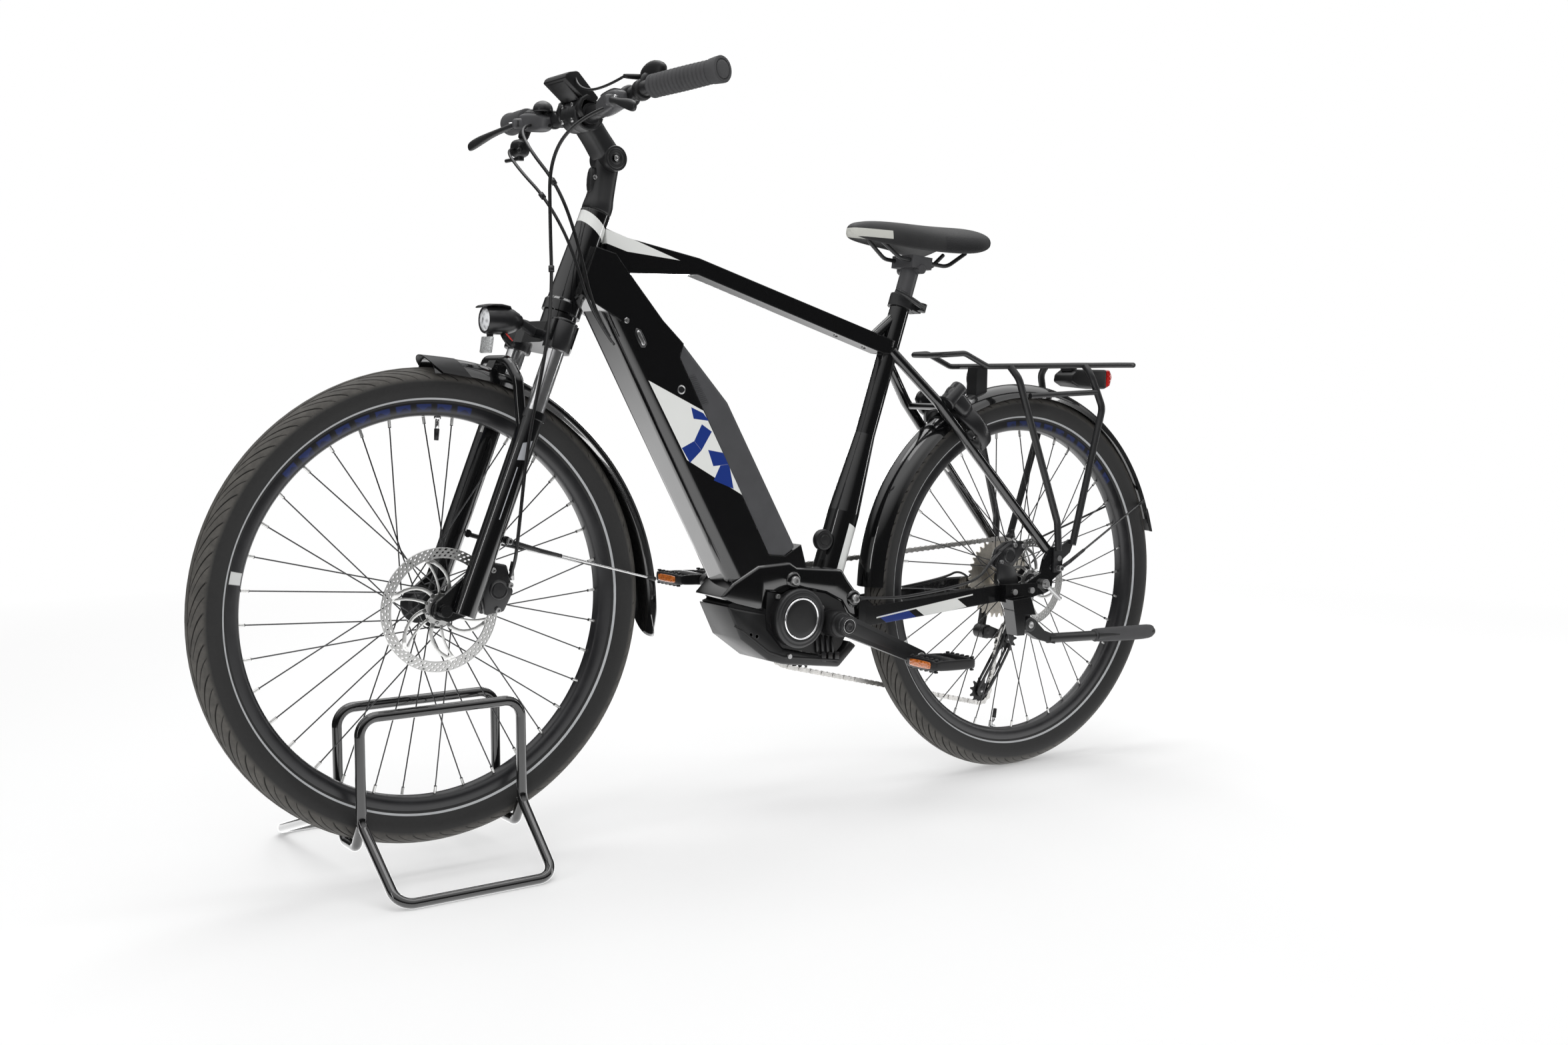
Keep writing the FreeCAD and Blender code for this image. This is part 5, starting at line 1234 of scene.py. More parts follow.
# ---------------------------------------------------------------- wheels
@dataclass
class Tyre:
    """A trekking tyre whose tread cuts lean back from its middle.

    Each row round it has a half width, a radius and a kind of cut; each column is a share of
    one block's length.
    """

    name: str
    place: Place
    body: Body
    finish: Finish
    blocks: int = 50
    cut: float = 2.5
    lean: float = 76.0
    radius: float = 347.0
    groove: float = 4.6
    columns: Numbers = (0.0, 0.02, 0.125, 0.145, 0.5, 0.52, 0.59, 0.61)
    rows: tuple[tuple[float, float, int], ...] = (
        (12.6, 293.5, 0), (14.6, 298.6, 0), (18.4, 302.8, 0), (22.6, 307.4, 0),
        (25.6, 312.4, 0), (27.2, 318.2, 0), (27.2, 324.4, 0), (25.9, 329.6, 0),
        (24.4, 332.6, 2), (22.6, 335.2, 2), (20.0, 337.9, 2), (17.0, 340.4, 3),
        (13.6, 342.6, 3), (10.2, 344.3, 1), (7.2, 345.5, 1), (6.3, 345.7, 4),
        (5.5, 345.9, 4), (4.6, 346.4, 0), (2.2, 346.9, 0))

    def depth(self, kind: int, column: int) -> float:
        """How deep a row is cut at a column of a block.

        Args:
            kind: The row's kind: 0 none, 1 main cut, 2 both cuts, 3 main and half of the
                second, 4 the round groove.
            column: The column, from 0 to 7.

        Returns:
            The depth in millimetres.
        """
        if kind == 4:
            return self.cut * 0.8
        if kind and column in (1, 2):
            return self.cut
        if kind in (2, 3) and column in (5, 6):
            return self.cut * (0.9 if kind == 2 else 0.5)
        return 0.0

    def build(self) -> None:
        """Make the tyre and put it in its node's place."""
        rows = [*self.rows, (0.0, self.radius, 0),
                *((-y, r, k) for y, r, k in reversed(self.rows))]
        rings = []
        for block in range(self.blocks):
            for index, share in enumerate(self.columns):
                ring = []
                for y, r, kind in rows:
                    shift = self.lean * (max(0.0, abs(y) - self.groove) / 20.0) ** 0.75
                    if y < 0:
                        shift += 0.5 * 2 * math.pi * self.radius / self.blocks
                    angle = 2 * math.pi * (block + share) / self.blocks - shift / self.radius
                    ring.append(self.place.round(r - self.depth(kind, index), y, angle))
                rings.append(ring)
        item = Bench.creased(Bench.loft(f"{self.name}_tread", rings, closed=True), 38)
        Bench.keep(Bench.finish(item, self.finish), self.body, "tyre", self.name)


@dataclass
class Rim:
    """A deep black rim with its valve."""

    name: str
    place: Place
    body: Body
    finish: Finish
    valve_at: float
    profile: tuple[Spot, ...] = (
        (-14.0, 298.0), (-12.2, 298.2), (-12.0, 291.0), (-6.0, 289.0), (6.0, 289.0),
        (12.0, 291.0), (12.2, 298.2), (14.0, 298.0), (14.2, 292.0), (13.8, 286.0),
        (12.2, 281.6), (9.4, 278.6), (5.6, 277.2), (0.0, 276.8), (-5.6, 277.2),
        (-9.4, 278.6), (-12.2, 281.6), (-13.8, 286.0), (-14.2, 292.0))

    def build(self) -> None:
        """Make the rim, the valve's stem, its nut and its cap."""
        item = Bench.lathe(f"{self.name}_hoop", self.place, self.profile, steps=240)
        Bench.finish(Bench.creased(item, 50), self.finish)
        Bench.keep(item, self.body, "rim_black", self.name)
        angle = math.radians(self.valve_at)
        kit = Kit(self.place)
        for finish, out, inner, radius, last, steps in (
                (CHROME, 279, 254, 2.9, -1.0, 20), (CHROME, 277, 273, 5.0, -1.0, 6),
                (PLASTIC, 259, 242, 3.9, 3.3, 20)):
            kit.add(finish, Bench.rod("valve", self.place.round(out, 0, angle),
                                      self.place.round(inner, 0, angle), radius, last, steps))
        kit.done(f"{self.name}_valve", self.body, "bolt_steel")


@dataclass
class Guard:
    """A wheel guard: a round section swept about the wheel, with rolled edges.

    The end cover's numbers are its first and last angle, the sweep at each and the lift at
    each.
    """

    name: str
    place: Place
    body: Body
    start: float
    end: float
    cover: Numbers
    tongue: float = 0.0
    drift: float = 0.0
    crown: float = 362.0
    round_radius: float = 32.0
    wall: float = 1.6
    reach: float = 73.0
    steps: int = 110

    def section(self, angle: float, grow: float, lift: float, sweep: float,
                reach: float) -> list[Vector]:
        """One cross-section at an angle round the wheel.

        Args:
            angle: The angle of its crown in degrees.
            grow: How many times as wide as usual it is.
            lift: How far it stands off the wheel beyond the usual, in millimetres.
            sweep: How far round the wheel its sides are from its crown, in degrees.
            reach: How far down its sides come, in degrees.

        Returns:
            Its points, outside first and then inside.
        """
        outer, inner = [], []
        centre = self.crown - self.round_radius
        for index in range(17):
            share = 2 * index / 16 - 1
            lean = math.radians(reach * share)
            turn = angle + sweep * abs(share) ** 2.6
            for row, radius in ((outer, self.round_radius),
                                (inner, self.round_radius - self.wall)):
                row.append((radius * math.sin(lean) * grow,
                            centre + radius * math.cos(lean) + lift, turn))
        rolls = [(y + out, r - 1.4, turn) for (y, r, turn), out in ((outer[0], -0.9),
                                                                   (outer[-1], 0.9))]
        return [self.place.round(r, y, math.radians(turn))
                for y, r, turn in (rolls[0], *outer, rolls[1], *inner[::-1])]

    def stand_off(self, angle: float) -> float:
        """How far the guard stands off the wheel at an angle, beyond the usual."""
        return self.drift * max(0.0, min(1.0, (52.0 - angle) / 56.0)) ** 1.4

    def skin(self, title: str, rings: list[list[Vector]], finish: Finish,
             *stands_for: str) -> None:
        """Close rings of points into a piece of the guard."""
        item = Bench.creased(Bench.loft(f"{self.name}_{title}", rings), 60)
        Bench.keep(Bench.finish(item, finish), self.body, "guard_black", *stands_for)

    def build(self) -> None:
        """Make the shell with its drooping tongue, and its end cover."""
        rings = []
        for index in range(self.steps + 1):
            angle = self.start + (self.end - self.start) * (index / self.steps)
            near = max(0.0, 1.0 - (angle - self.start) / max(abs(self.tongue), 1.0))
            rings.append(self.section(angle, 1.0, self.stand_off(angle), self.tongue * near,
                                      self.reach))
        self.skin("shell", rings, GUARD, self.name)
        low, high, low_sweep, high_sweep, low_lift, high_lift = self.cover
        rings = []
        for share in (index / 12 for index in range(13)):
            rings.append(self.section(low + (high - low) * share, 1.045,
                                      low_lift + (high_lift - low_lift) * share ** 2,
                                      low_sweep + (high_sweep - low_sweep) * share, 77.0))
        self.skin("cover", rings, PLASTIC)


@dataclass
class GuardTrim:
    """The stays and clips of a wheel guard."""

    name: str
    place: Place
    body: Body
    stay: tuple[Point, Point, Point]
    wire: Finish

    def build(self) -> None:
        """Make both stays with their sleeves and clips."""
        for side in Side:
            kit = Kit(self.place, side=-side.value)
            near, bend, far = (kit.point(*spot) for spot in self.stay)
            smooth = Bench.route([near, near.lerp(bend, 0.7), bend.lerp(far, 0.08), far])
            kit.add(self.wire, Bench.pipe("rod", smooth, 2.0))
            for start, end, radius, last in (
                    (near, bend.lerp(near, 0.02), 3.6, 3.4),
                    (bend.lerp(near, 0.04), bend.lerp(far, 0.18), 3.4, 2.9),
                    (bend.lerp(far, 0.93), far, 3.0, 3.8)):
                kit.add(PLASTIC, Bench.rod("sleeve", start, end, radius, last))
            x, y, z = self.stay[0]
            kit.screw((x, -side.value * y, z), 5.2, 5.0, side.value)
            kit.done(f"{self.name}_stay_{side.name.lower()}", self.body, "bolt_steel")


# ---------------------------------------------------------------- saddle
@dataclass
class Saddle:
    """A broad padded saddle, from cross-sections that run from its nose to its tail.

    Each has its x, its half width, the height of its top and of its edge, and the depth of
    the hollow under it.
    """

    place: Place
    sections: tuple[tuple[float, float, float, float, float], ...] = (
        (-138, 9, 62, 52, 8), (-132, 15, 68, 46, 14), (-120, 20, 72.5, 42, 20),
        (-94, 23.5, 76, 38, 24), (-60, 27, 77.5, 35, 24), (-20, 34, 77.5, 32, 24),
        (14, 49, 76.5, 29, 24), (44, 68, 76.5, 27, 24), (66, 79, 77, 27.5, 25),
        (86, 84, 77, 30, 26), (102, 83.5, 75.5, 35, 25), (114, 79.5, 73, 41, 22),
        (124, 68, 68.5, 48, 14), (129, 54, 63, 54, 8))

    def ring(self, x: float, half: float, top: float, edge: float,
             arch: float) -> list[Vector]:
        """One cross-section: a crowned top, a full side and a hollow underside."""
        rise = top - edge
        right = [(0.0, top - 1.2), (0.2 * half, top - 0.4), (0.42 * half, top - 0.03 * rise),
                 (0.64 * half, top - 0.1 * rise), (0.82 * half, top - 0.24 * rise),
                 (0.94 * half, top - 0.42 * rise), (0.995 * half, edge + 0.34 * rise),
                 (1.0 * half, edge + 0.14 * rise), (0.97 * half, edge),
                 (0.9 * half, edge + 0.6), (0.84 * half, edge + 4.0),
                 (0.6 * half, edge + (top - arch - edge) * 0.55)]
        left = [(-y, z) for y, z in right[:0:-1]]
        return [self.place.point(x, y, z) for y, z in [*right, (0.0, top - arch), *left]]

    def build(self) -> None:
        item = Bench.loft("saddle_cover", [self.ring(*numbers) for numbers in self.sections])
        Bench.finish(Bench.subdivided(item, 2), SADDLE_COVER)
        Bench.keep(item, Body.POST, "saddle_cover", "saddle")
        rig.padded(item, fill=0.85)


# ---------------------------------------------------------------- cockpit
@dataclass
class Cockpit:
    """Everything on the handlebar: grips, levers, masters, remote, shifter, bell, display."""

    place: Place
    bar: Spot = (-47.5, 60.4)
    grip_from: Point = (-40.2, -192.0, 79.4)
    grip_to: Point = (-5.5, -320.0, 90.4)
    grip_radius: float = 16.6
    grip_ribs: int = 14

    def kit(self, side: int = 1) -> Kit:
        """An empty piece in the cockpit's place."""
        return Kit(self.place, 24, 20, side)

    def grip(self, side: Side) -> Item:
        """Make one grip: its sleeve, rib by rib, its flared end and its round cap.

        Args:
            side: The rider's side that it is on.

        Returns:
            The grip.
        """
        kit = self.kit(-side.value)
        a, b = kit.point(*self.grip_from), kit.point(*self.grip_to)
        length = (b - a).length / MM
        profile = [(0.0, 11.4), (0.0, 15.6), (1.5, 16.8), (4.5, 17.0), (6.0, 16.0)]
        first, last = 7.0, length * 0.84
        pitch = (last - first) / self.grip_ribs
        for rib in range(self.grip_ribs):
            at = first + pitch * rib
            swell = self.grip_radius + 0.5 * math.sin(math.pi * (rib + 0.5) / self.grip_ribs)
            profile += [(at, 14.9), (at + pitch * 0.16, swell - 0.2),
                        (at + pitch * 0.5, swell + 0.2), (at + pitch * 0.82, swell - 0.2),
                        (at + pitch * 0.95, 14.9)]
        profile += [(last + 1.0, 16.4), (last + 3.5, 17.6), (length * 0.95, 18.6),
                    (length - 1.2, 18.8), (length, 18.0), (length, 14.6),
                    (length - 1.4, 14.2), (length - 1.4, 12.8), (length + 0.3, 12.4),
                    (length + 1.1, 9.0), (length + 1.4, 0.02)]
        along = (b - a).normalized()
        turn = along.to_track_quat("Z", "Y")
        rings = [[a + along * at * MM + turn @ Vector((r * MM * c, r * MM * s, 0))
                  for c, s in circle(48)] for at, r in profile]
        item = Bench.creased(Bench.loft(f"grip_{side.name.lower()}", rings), 70)
        return Bench.finish(item, GRIP)

    def blade(self, side: Side) -> None:
        """Make one brake lever: its slim arm and broad blade, its eye and its adjuster."""
        kit = self.kit(side.value)
        kit.limb(SATIN, [
            (-79, 143, 61, 5.0, 5.4), (-82, 154, 60, 5.4, 5.2), (-88, 172, 56, 4.6, 4.4),
            (-94, 190, 52, 4.4, 4.6), (-99, 208, 47.4, 4.6, 5.6), (-103, 228, 42.6, 4.6, 7.4),
            (-106, 246, 38, 4.4, 8.2), (-108, 258, 34.6, 4.0, 7.6),
            (-108.6, 263, 33, 2.4, 4.6)], 2.4)
        kit.turned(SATIN, (-80, 145, 61), [
            (-5.6, 0.1), (-6, 4), (-6, 7.4), (-5.2, 8), (5.2, 8), (6, 7.4), (6, 4),
            (5.6, 0.1)], "z", 0, 32, True)
        kit.rod(CHROME, (-74, 157, 63), (-86, 166, 63), 2.6)
        name = f"brake_lever_{side.name.lower()}"
        kit.done(f"{name}_blade", Body[f"{side.name}_LEVER"], "satin_black", name)

    def master(self, side: Side) -> list[Item]:
        """Make one brake master with its lid, ears, collar and hose nozzle."""
        kit = self.kit(side.value)
        kit.limb(ALLOY, [
            (-60, 80, 57, 5, 5.6), (-61, 83, 57.4, 10, 11), (-62, 98, 59.4, 12.4, 14),
            (-63.5, 112, 61.4, 12.8, 14.6), (-65, 128, 63.4, 12.8, 14.6),
            (-67, 146, 64.6, 12.4, 13.6), (-68, 152, 64.8, 10.6, 11),
            (-68.6, 155, 64.8, 5.0, 5.0)], 4.0)
        kit.limb(ALLOY, [(-64, 96, 73.6, 5, 1.2), (-65, 100, 74.6, 8.6, 1.8),
                         (-66.6, 138, 79, 8.6, 1.8), (-67, 142, 78.8, 5, 1.2)], 3.6)
        kit.limb(ALLOY, [(-66, 138, 61, 7, 9.4), (-74, 141, 61, 7, 9.2),
                         (-84, 146, 61, 7.4, 8.6), (-89, 149, 61, 5, 7)])
        kit.limb(SATIN, [(-45, 144, 72.6, 8, 7), (-54, 140, 68, 8, 7), (-64, 134, 62, 9, 8)],
                 2.6)
        kit.rod(SATIN, (-45.3, 130, 70.6), (-44.6, 144, 72.9), 16.4, steps=32)
        kit.rod(PLASTIC, (-60, 93, 55.6), (-59, 80, 53.6), 4.6, 3.2)
        kit.rod(BOLT, (-62, 137, 80), (-56, 137, 52), 3.2)
        return kit.parts

    def remote(self) -> list[Item]:
        """Make the left thumb remote with its three buttons."""
        kit = self.kit()
        kit.limb(PLASTIC, [
            (-38, -158, 96, 3, 4), (-36, -162, 99, 7, 9), (-33, -172, 103, 8.4, 14),
            (-30, -184, 105, 8.4, 15), (-27, -195, 104, 8, 12), (-25, -202, 102, 4, 6)])
        kit.limb(PLASTIC, [(-45, -171, 78, 9, 7), (-42, -172, 90, 8, 7),
                           (-36, -174, 100, 9, 8)], 2.6)
        kit.rod(PLASTIC, (-43.7, -163, 75.6), (-43.3, -176, 77.8), 15.6, steps=32)
        kit.rod(PLASTIC, (-69, -160, 94.4), (-37, -160, 97), 3.4, 4.6)
        for y in (-168, -180, -192):
            kit.limb(LAMP, [(-22, y - 4, 104, 1.4, 5), (-21, y, 104.6, 3, 8),
                            (-21, y + 4, 104, 1.4, 5)], 3.2)
        return kit.parts

    def shifter(self) -> list[Item]:
        """Make the right shifter body with its arm, collar, window and barrel."""
        kit = self.kit()
        kit.limb(PLASTIC, [
            (-64, 154, 26, 6, 7), (-63, 158, 27, 11, 12), (-62, 168, 28, 13, 14.4),
            (-62, 178, 28, 13.4, 14.6), (-62, 186, 28, 12, 12.8), (-62, 190, 28, 7, 8)])
        kit.limb(PLASTIC, [(-47, 171, 72, 9, 7), (-54, 172, 56, 8, 7), (-60, 172, 40, 9, 8)],
                 2.8, (0, 1, 0))
        kit.rod(PLASTIC, (-43.9, 161, 75.3), (-43.4, 174, 77.4), 15.4, steps=32)
        kit.limb(LAMP, [(-57, 164, 41, 4, 1.2), (-58, 168, 42.2, 6, 1.8),
                        (-58, 182, 42.2, 6, 1.8), (-57, 186, 41, 4, 1.2)], 3.4)
        kit.rod(PLASTIC, (-70, 158, 24), (-80, 142, 20), 4.4, 3.4)
        return kit.parts

    def bell(self) -> list[Item]:
        """Make the domed bell on its collar."""
        kit = self.kit()
        kit.turned(LAMP, (-66, 90, 74), [
            (0, 0.1), (0, 14.6), (1.4, 15.6), (5, 15.6), (9.5, 14.6), (13.5, 11.8),
            (16.5, 7.2), (17.8, 2.4), (18, 0.1)], "z", 60, 48, True)
        kit.limb(PLASTIC, [(-47, 90, 67, 7, 6), (-56, 90, 70, 6, 5), (-64, 90, 75, 7, 4)], 2.8)
        kit.rod(PLASTIC, (-46.9, 84, 63.9), (-46.5, 95, 65.7), 14.4, steps=32)
        return kit.parts

    def display(self) -> None:
        """Make the display: a housing, a dark glass, a back, a foot and two arms."""
        kit = self.kit()
        kit.plate(PLASTIC, -34, 34, [
            (-96, 106), (-93, 112.4), (-88, 115.6), (-76, 118.6), (-72, 117.6), (-38.4, 85),
            (-38.6, 82), (-44, 76.4), (-48, 76.4), (-62, 80)], 3.2, 4)
        kit.plate(LAMP, -28, 28, [(-72.4, 119.2), (-42.4, 90.2), (-41.4, 89.4), (-43, 91.8),
                                  (-71.4, 119.4)], 0.3)
        kit.plate(SATIN, -24, 24, [(-91, 104.6), (-66, 82.6), (-63.6, 79.4), (-66.4, 79),
                                   (-93, 102.6)])
        kit.plate(PLASTIC, -10, 10, [(-72, 92), (-50, 84), (-51, 80), (-58, 80), (-70, 84)],
                  2.0, 3)
        for side in (-1, 1):
            kit.limb(PLASTIC, [(-44, side * 27, 80, 4, 5), (-58, side * 29, 84, 4, 6),
                               (-66, side * 29.5, 78, 4, 6), (-70, side * 30, 66, 4, 6),
                               (-64, side * 30, 54, 4, 5)], 3.0, (0, 1, 0))
        kit.done("display_detailed", Body.COCKPIT, "dark_plastic", "display")

    def stem(self) -> None:
        """Make the tilting arm, its pivot cheeks, its clamp and their screws."""
        x, z = self.bar
        kit = self.kit()
        kit.limb(SATIN, [
            (-2, 0, 2, 25, 17), (-7, 0, 9, 25, 18), (-20, 0, 26, 24.6, 16.4),
            (-33, 0, 42, 24.4, 16), (x + 2, 0, z - 2, 24.8, 19)], 3.4, (1, 0, 0.75))
        kit.turned(SATIN, (0, 0, 0), [
            (-25.4, 0.1), (-25.4, 12), (-24.4, 12.6), (-24.4, 14.4), (-25.6, 15),
            (-25.6, 18.6), (-24, 20.2), (24, 20.2), (25.6, 18.6), (25.6, 15),
            (24.4, 14.4), (24.4, 12.6), (25.4, 12), (25.4, 0.1)], "y", 40, 64, True)
        kit.turned(SATIN, (x, 0, z), [
            (-25, 16), (-25, 23.6), (-23.6, 25), (-1.6, 25), (-1.2, 24.4), (1.2, 24.4),
            (1.6, 25), (23.6, 25), (25, 23.6), (25, 16)], "y", 50, 64, True)
        for side in (-1, 1):
            kit.screw((0, side * 25.2, 0), 4.6, 1.6, side)
            for high in (-11, 12):
                kit.rod(BOLT, (x - 22.5, side * 15, z + high), (x - 26.5, side * 15, z + high),
                        3.4)
        kit.done("stem_arm_smooth", Body.COCKPIT, "satin_black", "stem_arm")

    def build(self) -> None:
        """Make everything on the bar."""
        Bench.keep(Bench.join("grips_ribbed", [self.grip(side) for side in Side]),
                   Body.COCKPIT, "grip_rubber", "grips")
        for side in Side:
            self.blade(side)
        pieces = [*self.master(Side.LEFT), *self.master(Side.RIGHT), *self.remote(),
                  *self.shifter(), *self.bell()]
        Bench.keep(Bench.join("controls_detailed", pieces), Body.COCKPIT, "dark_plastic",
                   "controls")
        self.display()
        self.stem()


# ---------------------------------------------------------------- lamps
def headlight() -> None:
    """The round lamp with its visor, clear lens, connector and lower reflector."""
    kit = Kit(PLACES["head"], 24, 20)
    spot = (-125.6, 0, -14.5)
    kit.turned(LAMP, spot, [
        (2, 15.6), (0.4, 17.6), (0.2, 19.6), (2, 20.4), (18, 21.2), (36, 20.6), (46, 17.4),
        (54, 13), (59, 9.4), (60, 4), (60, 0.1), (50, 0.1), (20, 2), (8, 12), (4, 15)], "x",
        45, 64, True)
    kit.turned(CLEAR, spot, [(-3.4, 0.1), (-3.2, 6), (-2.0, 11.5), (0.6, 16), (2.4, 18.4),
                             (4, 17), (4, 0.1)], "x", 0, 48, True)
    kit.limb(LAMP, [(spot[0] + x, 0, spot[2] + z, wide, high) for x, z, wide, high in (
        (-9, 17.5, 11, 1.2), (-4, 19.5, 16.6, 1.8), (6, 21.4, 18.6, 2.0), (22, 21.8, 18, 2.4),
        (36, 20.0, 14, 2.4), (40, 17, 9, 1.6))], 2.6)
    kit.plate(WHITE_LENS, -17, 17, [(-124.6, -62.5), (-119.6, -63.3), (-116.6, -39.7),
                                    (-121.6, -38.7)], 1.4)
    kit.plate(LAMP, -5, 5, [(-120, -28), (-111, -28), (-113, -42), (-118.6, -42)], 1.0)
    kit.limb(SATIN, [(-92, 0, -17, 5, 5), (-82, 0, -13, 5.6, 6), (-70, 0, -14, 5.6, 6.4),
                     (-56, 0, -22, 5.6, 7), (-44, 0, -29, 6, 7.6), (-36, 0, -31, 6, 7)])
    kit.limb(PLASTIC, [(-96, -3, -34, 5, 4), (-91, -3.4, -40, 6, 5), (-85, -4, -47, 6, 5),
                       (-80, -4, -52, 4, 3.6)])
    for shift in (-2.6, 2.6):
        kit.rod(RED, (-94, -5 + shift, -33), (-84, -8 + shift, -44), 1.4)
    kit.done("headlight_detailed", Body.STEERING, "lamp_black", "headlight")


def tail_light() -> None:
    """The long lamp under the rack, its red lens at the rear."""
    kit = Kit(PLACES["bike"])
    kit.plate(PLASTIC, -25, 25, [(104, 370), (106, 384), (122, 394), (197, 396), (198, 360),
                                 (190, 359), (122, 362)], 4.0, 4)
    kit.plate(RED, -24.4, 24.4, [(197.6, 360.6), (197.6, 395.4), (206, 395.6), (212.6, 384),
                                 (208.6, 366.4)], 3.0, 4)
    kit.plate(PLASTIC, -14, 14, [(112, 390), (112, 396.6), (128, 396.9), (128, 392)], 1.0)
    kit.done("tail_light_detailed", Body.FRAME, "dark_plastic", "tail_light")


# ---------------------------------------------------------------- drive
def pedal(side: Side, place: Place) -> None:
    """A platform pedal with a toothed cage and amber reflectors.

    Args:
        side: The rider's side that it is on.
        place: The end of its crank, level.
    """
    kit = Kit(place, side=side.value)
    near, far, half = 111.0, 187.0, 39.5
    kit.limb(PLASTIC, [(0, near, 0, 6, 6), (0, near + 2, 0, 11, 11), (0, 140, 0, 10.4, 10.4),
                       (0, far - 3, 0, 10.8, 10.8), (0, far, 0, 7, 7)], 2.4)
    for x, out in ((-half, -1), (half, 1)):
        kit.limb(PLASTIC, [(x, near, 0, 4, 7), (x, near + 2, 0, 6.6, 10.4),
                           (x, far - 2, 0, 6.6, 10.4), (x, far, 0, 4, 7)], 4.0)
        kit.limb(AMBER, [(x + out * 6.4, 122, 0, 0.8, 4.6), (x + out * 6.6, 124, 0, 1.6, 6.4),
                         (x + out * 6.6, 174, 0, 1.6, 6.4),
                         (x + out * 6.4, 176, 0, 0.8, 4.6)], 4.0)
        for y in (near + 7 + step * 12.4 for step in range(6)):
            for up in (-1, 1):
                kit.limb(PLASTIC, [(x, y, up * 9.6, 3.4, 2.0), (x, y + 3, up * 11.4, 3.0, 1.6),
                                   (x, y + 6, up * 9.6, 3.4, 2.0)], 4.0)
    for y in (near + 1.4, far - 1.4):
        kit.limb(PLASTIC, [(-43, y, 0, 1.6, 6), (-38, y, 0, 2.2, 8.6), (0, y, 0, 2.4, 9),
                           (38, y, 0, 2.2, 8.6), (43, y, 0, 1.6, 6)], 4.0)
    for y in (135, 163):
        kit.limb(PLASTIC, [(-36, y, 0, 2.6, 4), (0, y, 0, 3.2, 7), (36, y, 0, 2.6, 4)],
                 steps=12)
    node = f"{side.name.lower()}_pedal"
    kit.done(f"{node}_detailed", Body(node), "dark_plastic", node)


def drive_trim() -> None:
    """The drive unit's round cover, its bright ring, its ribs and its screws."""
    kit = Kit(PLACES["bracket"])
    face = -62.0
    for finish, steps, profile in (
            (SATIN, 96, [(6, 49.4), (0.6, 49.2), (-1.6, 47.4), (-2.2, 44), (-1.2, 41.6),
                         (-2.6, 40.2), (-3.0, 36.4), (-1.0, 35.4), (1, 35)]),
            (CHROME, 96, [(-0.5, 34.8), (-4.2, 34.4), (-4.8, 33.4), (-4.4, 32.0),
                          (-3.2, 31.6)]),
            (PLASTIC, 72, [(-3.2, 31.7), (-3.6, 31.0), (-4.2, 22), (-4.7, 12), (-4.9, 0.1)])):
        kit.turned(finish, (-74.0, 0, 12.0), [(face + y, r) for y, r in profile], "y", 0,
                   steps)
    for x, z in ((-112, 48.5), (-22, 26.5), (-86, -51.5)):
        kit.screw((x, -47, z), 4.6, 4.6)
    for x, z in CRADLE_BOLTS:
        kit.screw((x, -50, z), 8.0, 5.4)
    kit.turned(PLASTIC, (0, 0, 0), [(-60, 22.6), (-74, 22.4), (-78.4, 20.4), (-79, 17),
                                    (-81, 14.4)], "y", 0, 64)
    for index in range(4):
        x = -30 + index * 11
        kit.limb(PLASTIC, [
            (x, -45.6, -18 - index * 2, 2.2, 1.6), (x + 1, -47, -26 - index * 2, 2.4, 2.2),
            (x + 3, -47, -44 - index * 1.6, 2.4, 2.2), (x + 4, -45.6, -50 - index, 2, 1.6)],
            3.0, (0, 1, 0), 12)
    kit.done("drive_trim", Body.FRAME, "dark_plastic")


